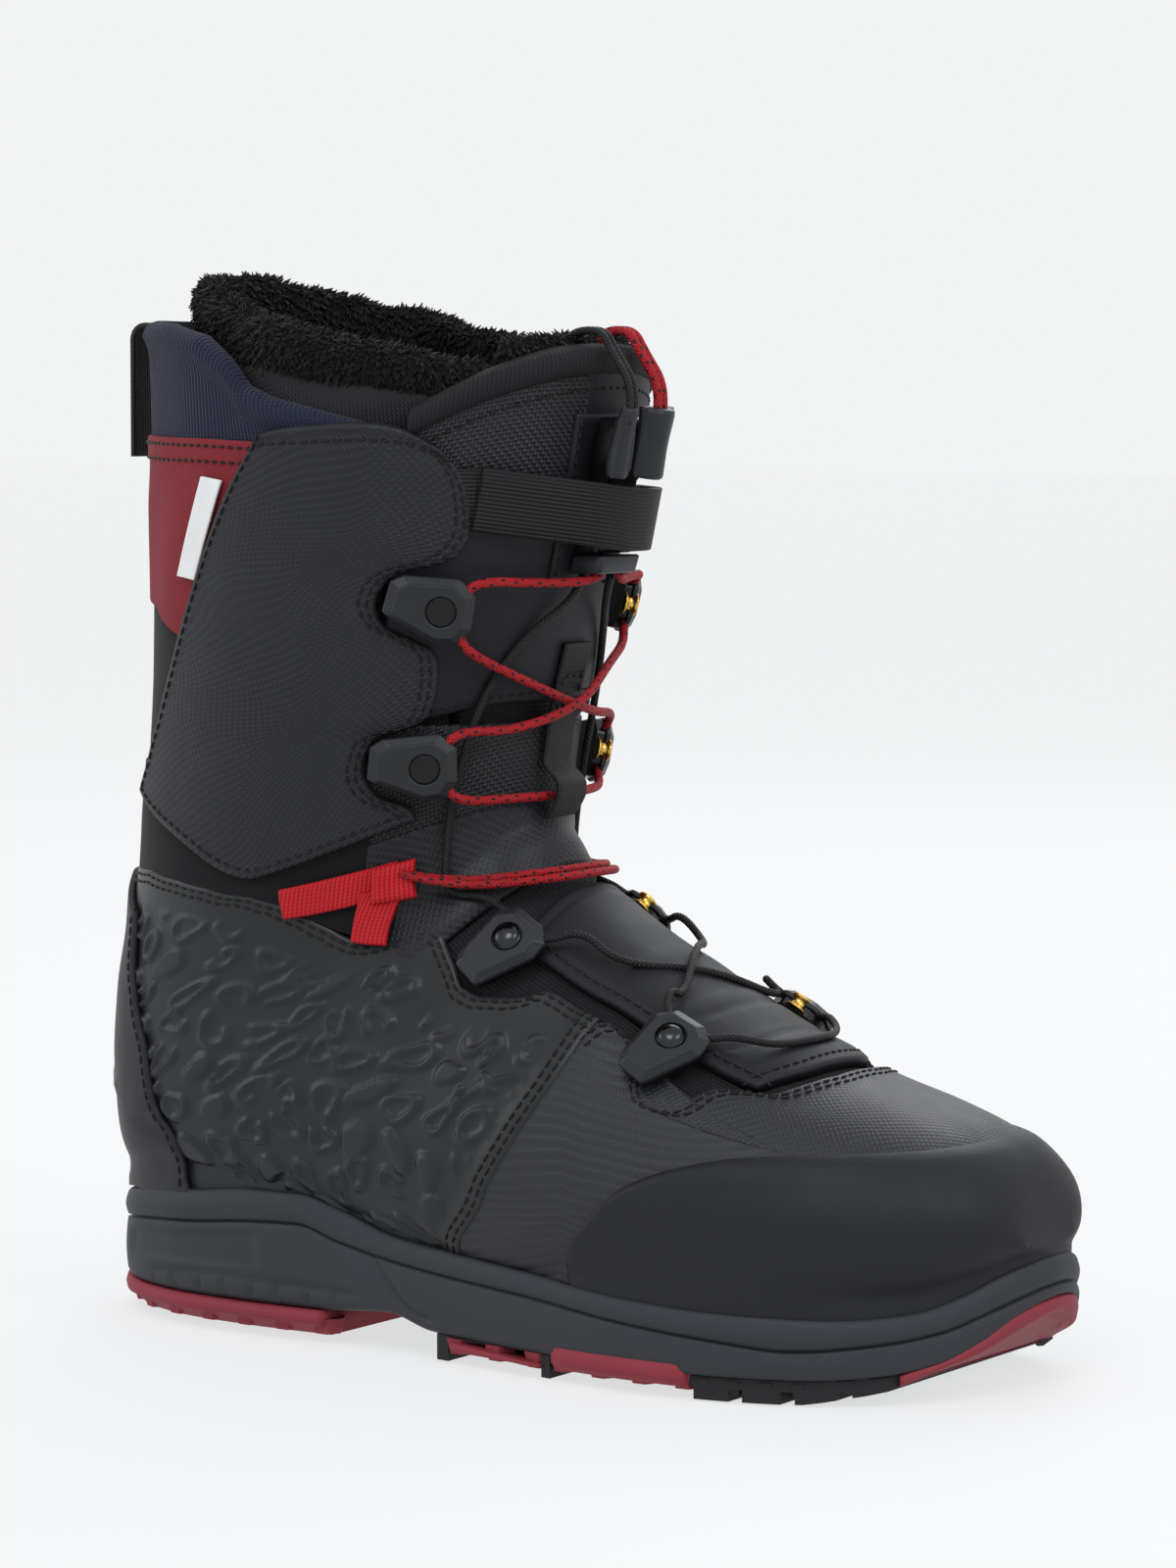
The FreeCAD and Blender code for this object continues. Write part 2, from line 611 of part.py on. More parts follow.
HOOK_PLAN = [(-11.6, -2.8), (3.6, -9), (9, -8.4), (11.9, -4), (11.9, 4.9), (7.4, 8.9), (-7.4, 7.8),
             (-10.6, 5.8)]
HOOK_HEIGHT, HOOK_BEVEL = 5.8, 1.5
TUNNEL_X, TUNNEL_Z = 8.8, 2.9
RIVET_X = 2.8


def hook_plate():
    """Six-sided plate with bevelled edges, a lace tunnel and a recessed rivet hole."""
    rims = []
    for share, height in ((1.0, 0.0), (1.0, HOOK_HEIGHT - HOOK_BEVEL), (0.84, HOOK_HEIGHT)):
        ring = [Vector(x * share, y * share, height) for x, y in HOOK_PLAN]
        rims.append(Part.makePolygon(ring + ring[:1]))
    plate = Part.makeLoft(rims, True, True)
    plate = plate.cut(Part.makeCylinder(2.45, 30, Vector(TUNNEL_X, -15, TUNNEL_Z), Vector(0, 1, 0)))
    plate = plate.cut(Part.makeCylinder(2.05, 10, Vector(RIVET_X, 0, -1)))
    return plate.cut(Part.makeCylinder(4.0, 5, Vector(RIVET_X, 0, HOOK_HEIGHT - 1.2)))


def hook_rivet(domed):
    """Shank with a flat or a domed head, reaching down to the panel."""
    seat = HOOK_HEIGHT - 1.15
    shank = Part.makeCylinder(1.95, seat + 0.3, Vector(RIVET_X, 0, -0.25))
    head = Part.makeCylinder(3.8, 0.7, Vector(RIVET_X, 0, seat))
    if domed:
        ball = Part.makeSphere(6.5, Vector(RIVET_X, 0, seat - 4.0))
        head = head.fuse(ball.common(Part.makeCylinder(3.6, 6, Vector(RIVET_X, 0, seat + 0.4))))
    return shank.fuse(head)


def hook_eyelet():
    """Brass tube that lines the lace tunnel, proud at both ends."""
    tube = Part.makeCylinder(2.4, 17.2, Vector(TUNNEL_X, -8.6, TUNNEL_Z), Vector(0, 1, 0))
    return tube.cut(Part.makeCylinder(1.75, 30, Vector(TUNNEL_X, -15, TUNNEL_Z), Vector(0, 1, 0)))


HOOKS = {
    "cuff_hooks_upper": (-19.5, 200, 2.9, 0.0, False),
    "cuff_hooks_lower": (-27, 157.5, 3.1, 4.0, False),
    "mid_hooks": (-1, 106.5, 1.2, 0.0, True),
    "low_hooks": (50, 83, 1.2, 0.0, True),
}
seats = {}
rivets = {"cuff": [], "lower": []}
eyelets = {"cuff": [], "lower": []}
for name, (x, z, depth, tilt, domed) in HOOKS.items():
    group = "cuff" if name.startswith("cuff") else "lower"
    pair = []
    for side, word in ((1, "lateral"), (-1, "medial")):
        seat = Seat(x, z, depth, side, tilt)
        seats[name, word] = seat
        pair.append(seat.place(hook_plate()))
        rivets[group].append(seat.place(hook_rivet(domed)))
        eyelets[group].append(seat.place(hook_eyelet()))
    nodes[name] = Part.makeCompound(pair)
for group in rivets:
    nodes[group + "_rivets"] = Part.makeCompound(rivets[group])
    nodes[group + "_eyelets"] = Part.makeCompound(eyelets[group])

# ---------------------------------------------------------------- lace lock, handles, strap

LOCK_LEAN = 0.22          # how far the tongue's front leans forward for each mm of height
LOCK_Y = 1.0
FRONT_X = bare_skin(shaft(222), 0).x


def on_tongue(depth, y, z):
    """Point in front of the tongue's ridge, at a depth outside it."""
    return Vector(FRONT_X + LOCK_LEAN * (z - 222) + depth, y, z)


def leaning_block(depths, ys, zs):
    """Block that leans with the tongue."""
    corners = [on_tongue(depths[i], ys[0], zs[j]) for i, j in ((0, 0), (1, 0), (1, 1), (0, 1))]
    face = Part.Face(Part.makePolygon(corners + corners[:1]))
    return face.extrude(Vector(0, ys[1] - ys[0], 0))


nodes["lace_lock_base"] = panel([(shaft(206), 0.20), (shaft(206), -0.22)],
                                [(shaft(250), 0.20), (shaft(250), -0.22)], (0.3, 1.5),
                                size=(8, 8))
lock_body = leaning_block((1.9, 9.5), (LOCK_Y - 9, LOCK_Y + 9), (212.5, 249))
for y in (-5.5, 5.5):
    lock_body = lock_body.cut(leaning_block((4.5, 8.3), (LOCK_Y + y - 2, LOCK_Y + y + 2), (200, 260)))
nodes["lace_lock_body"] = lock_body
nodes["lace_lock_gate"] = leaning_block((1.9, 11.5), (LOCK_Y - 10, LOCK_Y + 10), (207, 212.2))

STRAP_PLAN = [(-7.0, -38.6), (4.0, -27.0), (13.5, -16.0), (17.0, -8.5), (18.2, 1.0), (17.0, 11.0),
              (10.5, 21.0), (0.0, 33.0), (-12.0, 46.0)]
STRAP_THICK, STRAP_HALF = 1.8, 8.2


def power_strap():
    """Webbing band from the lateral flap's edge over the lace lock to the medial flap."""
    path = Part.BSplineCurve()
    path.interpolate([Vector(x, y, 0) for x, y in STRAP_PLAN])
    count = 24
    inner, outer = [], []
    for k in range(count + 1):
        share = k / count
        place = path.value(path.FirstParameter + share * (path.LastParameter - path.FirstParameter))
        chord = path.tangent(path.FirstParameter
                             + share * (path.LastParameter - path.FirstParameter))[0]
        out = Vector(chord.y, -chord.x, 0).normalize()
        middle = 221.5 + 6.0 * max(0.0, 1 - share / 0.45)
        rows = ([], [])
        for j in range(4):
            z = middle + STRAP_HALF * (2 * j / 3 - 1)
            edge = place + Vector(LOCK_LEAN * (z - 222), 0, z)
            rows[0].append(edge)
            rows[1].append(edge + out * STRAP_THICK)
        inner.append(rows[0])
        outer.append(rows[1])
    return solid_between(outer, inner)


nodes["power_strap"] = power_strap()

HANDLE_TOP, HANDLE_LOW = 252.0, 233.0
HANDLES = {"red": (4.2, 7.4, 10.6, LACE_R, 4.8), "black": (-9.6, 5.2, 10.6, CORD_R, 3.8)}


def handle(y_middle, half, lift):
    """Half-round pull handle, hollow behind, with two cord holes in its top."""
    height = HANDLE_TOP - HANDLE_LOW
    bar = Part.makeCylinder(half, height, Vector(0, 0, -height / 2))
    bar = bar.common(block((0, half), (-half, half), (-height, height)))
    bar = bar.cut(Part.makeCylinder(half * 0.55, height * 0.6, Vector(0, 0, -height / 2 - 1)))
    for y in (-1.75, 1.75):
        bar = bar.cut(Part.makeCylinder(1.6, 9, Vector(2.2, y, height / 2 - 7)))
    bar.rotate(Vector(0, 0, 0), Vector(0, 1, 0), math.degrees(math.atan(LOCK_LEAN)))
    bar.translate(on_tongue(lift, y_middle, (HANDLE_TOP + HANDLE_LOW) / 2))
    return bar


APEX = (11.5, 271.8)      # where the pull cords turn over the tongue's top edge
tails = []
for colour, (y_middle, half, lift, radius, tail_x) in HANDLES.items():
    nodes[colour + "_pull_handle"] = handle(y_middle, half, lift)
    outside = []
    for y in (y_middle - 1.75, y_middle + 1.75):
        seat = on_tongue(lift + 2.2, y, 247.0)
        rise = [seat, on_tongue(lift + 2.3, y, 256), Vector(18.2, y, 266.5), Vector(15.2, y, 271.8),
                Vector(APEX[0], y, APEX[1])]
        fall = [Vector(APEX[0], y, APEX[1]), Vector(tail_x + 3.2, y, APEX[1]),
                Vector(tail_x + 0.2, y, 268.5), Vector(tail_x, y, 261.0)]
        outside.append(tube_along(rise, radius))
        tails.append(tube_along(fall, radius))
    nodes[colour + "_pull_cord"] = Part.makeCompound(outside)
nodes["pull_cord_tails"] = Part.makeCompound(tails)

# ---------------------------------------------------------------- laces

FAR, NEAR = 15.5, 12.0


def through(name, word, upwards):
    """The four turns of a lace that runs through a hook's tunnel."""
    seat = seats[name, word]
    turns = [seat.point(TUNNEL_X + 4, -FAR, TUNNEL_Z), seat.point(TUNNEL_X, -NEAR, TUNNEL_Z),
             seat.point(TUNNEL_X, NEAR, TUNNEL_Z), seat.point(TUNNEL_X + 4, FAR, TUNNEL_Z)]
    return turns if upwards else turns[::-1]


red_route = ([on_tongue(8.5, LOCK_Y - 4, 206.4), on_tongue(8.3, LOCK_Y - 5.5, 202.5),
              skin(shaft(203), 0.36, 4.4)]
             + through("cuff_hooks_upper", "lateral", False)
             + [skin(shaft(187), 0.36, 4.6), skin(shaft(178), 0.0, 5.0),
                skin(shaft(172), -0.34, 4.6)]
             + through("cuff_hooks_lower", "medial", False)
             + [skin(fan(74), -0.40, 4.4), skin(fan(72), 0.0, 3.2), skin(fan(74), 0.40, 4.4)]
             + through("cuff_hooks_lower", "lateral", True)
             + [skin(shaft(172), 0.34, 4.8), skin(shaft(178), 0.0, 8.6),
                skin(shaft(187), -0.36, 4.8)]
             + through("cuff_hooks_upper", "medial", True)
             + [skin(shaft(203), -0.36, 4.4), on_tongue(8.3, LOCK_Y + 5.5, 202.5),
                on_tongue(8.5, LOCK_Y + 4, 206.4)])
nodes["red_lace"] = tube_along(red_route, LACE_R)

mid_lateral, mid_medial = seats["mid_hooks", "lateral"], seats["mid_hooks", "medial"]
black_route = ([mid_lateral.point(TUNNEL_X, 10.5, TUNNEL_Z)]
               + through("mid_hooks", "lateral", False)[2:]
               + [skin(fan(3), 0.42, 3.8), skin(toe(40), 0.0, 3.6), skin(toe(47), -0.42, 3.8)]
               + through("low_hooks", "medial", False)
               + [skin(toe(70), -0.30, 3.6), skin(toe(73), 0.0, 3.4), skin(toe(70), 0.30, 3.6)]
               + through("low_hooks", "lateral", True)
               + [skin(toe(47), 0.42, 4.0), skin(toe(40), 0.0, 6.8), skin(fan(3), -0.42, 4.0)]
               + through("mid_hooks", "medial", True)[:2]
               + [mid_medial.point(TUNNEL_X, 10.5, TUNNEL_Z)])
nodes["black_lace"] = tube_along(black_route, CORD_R)

risers = []
for word, side in (("lateral", 1), ("medial", -1)):
    seat = seats["mid_hooks", word]
    route = [seat.point(TUNNEL_X, 10.6, TUNNEL_Z), seat.point(TUNNEL_X + 0.4, 15.5, 2.0),
             skin(fan(53), 0.70 * side, 1.4), skin(fan(62), 0.66 * side, 1.35),
             skin(fan(79), 0.62 * side, 1.6), skin(shaft(176), 0.50 * side, 1.7),
             skin(shaft(192), 0.30 * side, 1.8), on_tongue(4.0, LOCK_Y - 7.0 * side, 201),
             on_tongue(4.2, LOCK_Y - 7.0 * side, 206.2)]
    risers.append(tube_along(route, CORD_R))
nodes["black_lace_risers"] = Part.makeCompound(risers)

strands = []
for shift in (0.0, 4.0):
    half = [(*spot(-31, 128), 3.6), (fan(54 - shift / 2), 0.66, 5.4), (fan(43 - shift), 0.36, 4.4)]
    other = [(s, -a, depth) for s, a, depth in half[::-1]]
    places = half + [(fan(38 - shift), 0.0, 3.4)] + other
    strands.append(tube_along([skin(s, a, depth + 0.2 * shift) for s, a, depth in places], 1.2))
nodes["ankle_cord"] = Part.makeCompound(strands)
webbing = []
for side in (1, -1):
    low, high = spots((-60, 115.5), (-36, 121)), spots((-61, 122.5), (-33, 131))
    low_leg, high_leg = spots((-42, 112), (-33, 111)), spots((-41, 121), (-29.5, 125))
    if side < 0:
        low, high, low_leg, high_leg = [medial(e) for e in (low, high, low_leg, high_leg)]
    webbing.append(panel(low, high, (1.0, 2.0), size=(6, 4)))
    webbing.append(panel(low_leg, high_leg, (2.3, 3.3), size=(5, 4)))
nodes["ankle_webbing"] = Part.makeCompound(webbing)


def export_all():
    """Write one STEP file for each node."""
    os.makedirs("parts", exist_ok=True)
    for name, shape in nodes.items():
        shape.exportStep("parts/" + name + ".step")
        box = shape.BoundBox
        print("%-26s %s %8.0f  x %.0f..%.0f y %.0f..%.0f z %.0f..%.0f"
              % (name, shape.isValid(), shape.Volume, box.XMin, box.XMax, box.YMin, box.YMax,
                 box.ZMin, box.ZMax))


export_all()
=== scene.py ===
import logging
import math
from dataclasses import dataclass, field
from enum import Enum
from typing import Callable, Optional, Sequence

import bmesh
import bpy
import numpy as np
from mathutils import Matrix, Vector


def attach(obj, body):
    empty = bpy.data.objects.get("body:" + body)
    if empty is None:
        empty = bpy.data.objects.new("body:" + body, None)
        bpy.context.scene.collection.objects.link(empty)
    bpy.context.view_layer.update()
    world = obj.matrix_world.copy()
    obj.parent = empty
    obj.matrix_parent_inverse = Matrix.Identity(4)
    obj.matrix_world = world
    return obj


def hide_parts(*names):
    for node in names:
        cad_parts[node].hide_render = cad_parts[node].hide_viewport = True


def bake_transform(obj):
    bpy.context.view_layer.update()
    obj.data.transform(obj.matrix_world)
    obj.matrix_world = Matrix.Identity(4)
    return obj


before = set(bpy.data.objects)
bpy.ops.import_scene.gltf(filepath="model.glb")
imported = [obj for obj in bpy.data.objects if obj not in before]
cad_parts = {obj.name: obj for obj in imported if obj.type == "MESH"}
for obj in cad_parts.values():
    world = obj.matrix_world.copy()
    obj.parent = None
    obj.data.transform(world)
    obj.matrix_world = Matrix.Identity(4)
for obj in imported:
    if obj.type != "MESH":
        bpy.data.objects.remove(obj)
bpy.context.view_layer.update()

# Looks of a lace-up snowboard boot, right foot. The form's own functions work in millimetres,
# as the part's source does, and every mesh is written in metres in the row frame.

MM = 0.001
LOG = logging.getLogger("boot")

TOE_X = 139.5
FAN_X, FAN_Z = 30.0, 160.0
TOP_Z = 268.0
FEATHER = 2.35
SLIT = 0.02
RIM_INSET = 1.9
STITCH_LIFT = 0.15
LOCK_LEAN = 0.22
LOCK_Y = 1.0

Piece = bpy.types.Object
Tree = bpy.types.NodeTree
Socket = bpy.types.NodeSocket
Edge = list[tuple[float, float]]
Depth = Callable[[np.ndarray, np.ndarray], np.ndarray]

# The form, row by row: the plane's place, how far from the fan's centre line the skin lies on
# its near and its far side, the half widths on the lateral and medial sides, the share of the
# depth where it is widest, and how full the section is on its near and its far side. The place
# is millimetres behind the toe's tip, degrees round the fan's centre, then height.
STATION_ROWS = [
    (0.0, 118, 123, 9, 19, 0.50, 2.0, 2.4),
    (2.5, 107.5, 125.5, 16, 27, 0.55, 2.1, 2.5),
    (7.5, 100, 129.5, 26, 35, 0.61, 2.2, 2.8),
    (17.5, 93, 134.5, 37, 42, 0.65, 2.3, 3.2),
    (31.5, 87.5, 138.5, 44, 47, 0.69, 2.3, 3.6),
    (49.5, 81.5, 141.5, 50, 50, 0.71, 2.2, 4.0),
    (74.5, 72, 143.5, 53.5, 52, 0.73, 2.1, 4.0),
    (94.5, 61, 143.5, 54, 51.5, 0.73, 2.0, 4.0),
    (109.5, 52.5, 143, 54, 51, 0.72, 2.0, 4.0),
]
FAN_ROWS = [
    (18, 46, 146, 52, 49, 0.68, 2.0, 3.4),
    (36, 43, 164, 49, 47, 0.63, 2.0, 2.8),
    (48, 42, 195, 49, 47, 0.59, 2.0, 2.4),
    (54, 41, 205, 49, 47.5, 0.58, 2.0, 2.3),
    (60, 40.5, 197.5, 49, 48, 0.57, 2.0, 2.2),
    (66, 39.5, 186, 49.5, 48.5, 0.56, 2.0, 2.2),
    (72, 39, 176, 50, 49, 0.54, 2.1, 2.1),
    (81, 38, 168, 51.5, 51, 0.52, 2.1, 2.0),
]
SHAFT_ROWS = [
    (160, 37.5, 163.5, 53, 53, 0.50, 2.1, 2.0),
    (185, 33.5, 161.5, 55, 55, 0.50, 2.15, 2.0),
    (210, 27.5, 161, 56.5, 56.5, 0.50, 2.2, 2.0),
    (240, 21, 161, 58, 58, 0.50, 2.2, 2.0),
    (268, 16, 162, 59, 59, 0.50, 2.2, 2.0),
]

# The sole unit: its plan as (x, y), then heights by x.
OUTLINE = [
    (-142, 1), (-138, -17), (-126, -32), (-108, -41), (-82, -45), (-45, -45.5), (-15, -48),
    (20, -53.5), (50, -57.5), (78, -56.5), (100, -50), (118, -39.5), (132, -24), (140, -6),
    (142.5, 10), (138.5, 26), (128, 39), (108, 49), (80, 54), (50, 54.5), (15, 50),
    (-20, 46.5), (-55, 43.5), (-85, 43.5), (-110, 39.5), (-128, 31), (-138.5, 17),
]
RIM = [
    (-146, 30), (-133, 32.5), (-115, 36), (-96, 37.5), (-75, 39.5), (-60, 39.5), (-47, 36.5),
    (-28, 31), (-10, 29), (20, 26.5), (50, 23.5), (80, 22), (108, 21.5), (124, 23), (133, 27),
    (138, 31), (146, 36),
]
CREASE = [
    (-146, 22), (-133, 25), (-115, 27.5), (-96, 29), (-75, 31), (-60, 31.5), (-47, 28), (-28, 24.5),
    (-10, 22.5), (20, 20.5), (50, 17.5), (80, 15), (97, 13.5), (118, 15.5), (129, 18), (136, 22),
    (146, 29.5),
]
UNDERSIDE = [
    (-146, 9), (-52, 9), (-30, 10.5), (-14, 7), (20, 6), (100, 6), (120, 7.5), (129, 10),
    (135, 14.5), (140, 21), (146, 27),
]
TREAD = [
    (-146, 2), (-138, 0), (-100, 0), (0, 0), (98, 0), (110, 1.8), (120, 4), (128, 8), (136, 12),
    (141, 17), (146, 24),
]


# ------------------------------------------------------------------ the form


class Monotone:
    """A smooth curve through points that never overshoots them."""

    def __init__(self, points: Sequence[tuple[float, float]]) -> None:
        """Works out the slopes.

        Args:
            points: (x, value) pairs in rising order of x.
        """
        self.xs = np.array([p[0] for p in points], float)
        self.ys = np.array([p[1] for p in points], float)
        rises = np.diff(self.ys) / np.diff(self.xs)
        slopes = [rises[0]]
        for before, after in zip(rises, rises[1:]):
            slopes.append(0.0 if before * after <= 0 else 2 * before * after / (before + after))
        slopes.append(rises[-1])
        self.slopes = np.array(slopes)

    def __call__(self, x: np.ndarray | float) -> np.ndarray:
        """The curve's values, held level beyond its ends."""
        x = np.clip(x, self.xs[0], self.xs[-1])
        i = np.clip(np.searchsorted(self.xs, x, side="left") - 1, 0, len(self.xs) - 2)
        step = self.xs[i + 1] - self.xs[i]
        t = (x - self.xs[i]) / step
        return (
            (1 + 2 * t) * (1 - t) ** 2 * self.ys[i]
            + t * (1 - t) ** 2 * step * self.slopes[i]
            + t * t * (3 - 2 * t) * self.ys[i + 1]
            + t * t * (t - 1) * step * self.slopes[i + 1]
        )


def toe(x: float) -> float:
    """Station of an upright plane through the toe box."""
    return (TOE_X - x) / (TOE_X - FAN_X)


def fan(degrees: float) -> float:
    """Station of a plane that turns about the fan's centre, 0 upright and 90 level."""
    return 1 + degrees / 90


def shaft(z: float) -> float:
    """Station of a level plane through the shaft."""
    return 2 + (z - FAN_Z) / (TOP_Z - FAN_Z)


class Form:
    """The boot's outer skin as stations s along it and angles a round it."""

    def __init__(self) -> None:
        """Gathers the station rows and fits a curve to each of their columns."""
        rows = [(toe(TOE_X - r[0]), *r[1:]) for r in STATION_ROWS]
        rows += [(fan(r[0]), *r[1:]) for r in FAN_ROWS]
        rows += [(shaft(r[0]), *r[1:]) for r in SHAFT_ROWS]
        self.curves = [Monotone([(r[0], r[k]) for r in rows]) for k in range(1, 8)]

    def bare(self, s: np.ndarray, a: np.ndarray) -> np.ndarray:
        """Points of the skin.

        Args:
            s: stations.
            a: angles, 0 in front, positive round the lateral side, pi behind.

        Returns:
            Points in millimetres, with one more axis than s and a.
        """
        s, a = np.broadcast_arrays(np.asarray(s, float), np.asarray(a, float))
        front, back, lateral, medial_half, wide, nose, heel = [c(s) for c in self.curves]
        turn = np.radians(90 * np.clip(s - 1, 0, 1))
        start_x = np.where(s < 1, TOE_X - s * (TOE_X - FAN_X), FAN_X)
        start_z = np.where(s > 2, FAN_Z + (s - 2) * (TOP_Z - FAN_Z), FAN_Z)
        cosine, sine = np.cos(a), np.sin(a)
        power = 2 / np.where(cosine > 0, nose, heel)
        swing = np.abs(cosine) ** power
        depth = np.where(cosine > 0, wide - wide * swing, wide + (1 - wide) * swing)
        reach = front + (back - front) * depth
        half = (lateral + medial_half) / 2
        y = (medial_half - lateral) / 2 - np.sign(sine) * np.abs(sine) ** power * half
        return np.stack([start_x - np.sin(turn) * reach, y, start_z - np.cos(turn) * reach], -1)

    def normal(self, s: np.ndarray, a: np.ndarray) -> np.ndarray:
        """Outward normals of the skin at stations s and angles a."""
        s, a = np.broadcast_arrays(np.asarray(s, float), np.asarray(a, float))
        across = self.bare(s, a + 0.02) - self.bare(s, a - 0.02)
        along = self.bare(s + 0.01, a) - self.bare(np.maximum(s - 0.01, 0), a)
        out = np.cross(across, along)
        middle = (self.bare(s, 0 * a) + self.bare(s, 0 * a + math.pi)) / 2
        inward = np.sum(out * (self.bare(s, a) - middle), -1) < 0
        out = np.where(inward[..., None], -out, out)
        return out / np.linalg.norm(out, axis=-1, keepdims=True)

    def skin(self, s: np.ndarray, a: np.ndarray, depth: np.ndarray | float = 0.0) -> np.ndarray:
        """Points at a depth outside (+) or inside (-) the skin, in millimetres."""
        depth = np.asarray(depth, float)
        return self.bare(s, a) + self.normal(s, a) * depth[..., None]

    def spot(self, x: float, z: float) -> tuple[float, float]:
        """Skin coordinates of a lateral point given in the side view."""
        if z >= FAN_Z:
            s = shaft(z)
        elif x >= FAN_X:
            s = toe(x)
        else:
            s = 1 + math.degrees(math.atan2(FAN_X - x, FAN_Z - z)) / 90
        turn = math.radians(90 * min(max(s - 1, 0), 1))
        start_x = x if s < 1 else FAN_X
        start_z = z if s > 2 else FAN_Z
        reach = -(x - start_x) * math.sin(turn) - (z - start_z) * math.cos(turn)
        front, back, _, _, wide, nose, heel = [float(c(s)) for c in self.curves]
        depth = (reach - front) / (back - front)
        if depth < wide:
            return s, math.acos(max(0.0, (wide - max(depth, 0.0)) / wide) ** (nose / 2))
        share = min((depth - wide) / (1 - wide), 1.0)
        return s, math.acos(-(share ** (heel / 2)))

    def spots(self, *points: tuple[float, float]) -> Edge:
        """Skin coordinates of several lateral side-view points."""
        return [self.spot(x, z) for x, z in points]


FORM = Form()


def medial(edge: Edge) -> Edge:
    """The same edge on the other side of the boot."""
    return [(s, -a) for s, a in edge]


def round_back(edge: Edge) -> Edge:
    """A lateral edge carried round the back to its mirror image."""
    return edge + [(s, 2 * math.pi - a) for s, a in reversed(edge)]


def soften(edge: Edge, rounds: int = 2) -> Edge:
    """Cuts an edge's corners so that it turns smoothly, and keeps its ends."""
    for _ in range(rounds):
        cut = [edge[0]]
        for (s, a), (t, b) in zip(edge, edge[1:]):
            cut.append((0.78 * s + 0.22 * t, 0.78 * a + 0.22 * b))
            cut.append((0.22 * s + 0.78 * t, 0.22 * a + 0.78 * b))
        edge = cut + [edge[-1]]
    return edge


def on_tongue(depth: float, y: float, z: float) -> Vector:
    """Point in front of the tongue's ridge, at a depth outside it, in millimetres."""
    front = float(FORM.bare(np.array(shaft(222)), np.array(0.0))[0])
    return Vector((front + LOCK_LEAN * (z - 222) + depth, y, z))


def skin_point(s: float, a: float, depth: float) -> Vector:
    """One point of the skin at a depth, in millimetres."""
    return Vector(FORM.skin(np.array(s), np.array(a), np.array(depth)))


# ------------------------------------------------------------------ materials


def linear(hex_colour: str) -> tuple[float, float, float, float]:
    """Turns an sRGB hex colour into the linear values that shaders take."""
    parts = [int(hex_colour[i:i + 2], 16) / 255 for i in (0, 2, 4)]
    values = [p / 12.92 if p <= 0.04045 else ((p + 0.055) / 1.055) ** 2.4 for p in parts]
    return (values[0], values[1], values[2], 1.0)


def add(tree: Tree, kind: str, settings: Optional[dict] = None,
        inputs: Optional[dict] = None) -> bpy.types.Node:
    """Adds a node with its settings and its inputs.

    Args:
        tree: the node tree.
        kind: the node's type name.
        settings: attributes to set on it.
        inputs: values by input name or number; a socket is linked, anything else is set.

    Returns:
        The new node.
    """
    made = tree.nodes.new(kind)
    for key, value in (settings or {}).items():
        setattr(made, key, value)
    for key, value in (inputs or {}).items():
        if isinstance(value, Socket):
            tree.links.new(value, made.inputs[key])
        else:
            made.inputs[key].default_value = value
    return made


class Space(Enum):
    """What a finish's pattern is laid out on."""

    PIECE = "Object"
    SURFACE = "UV"


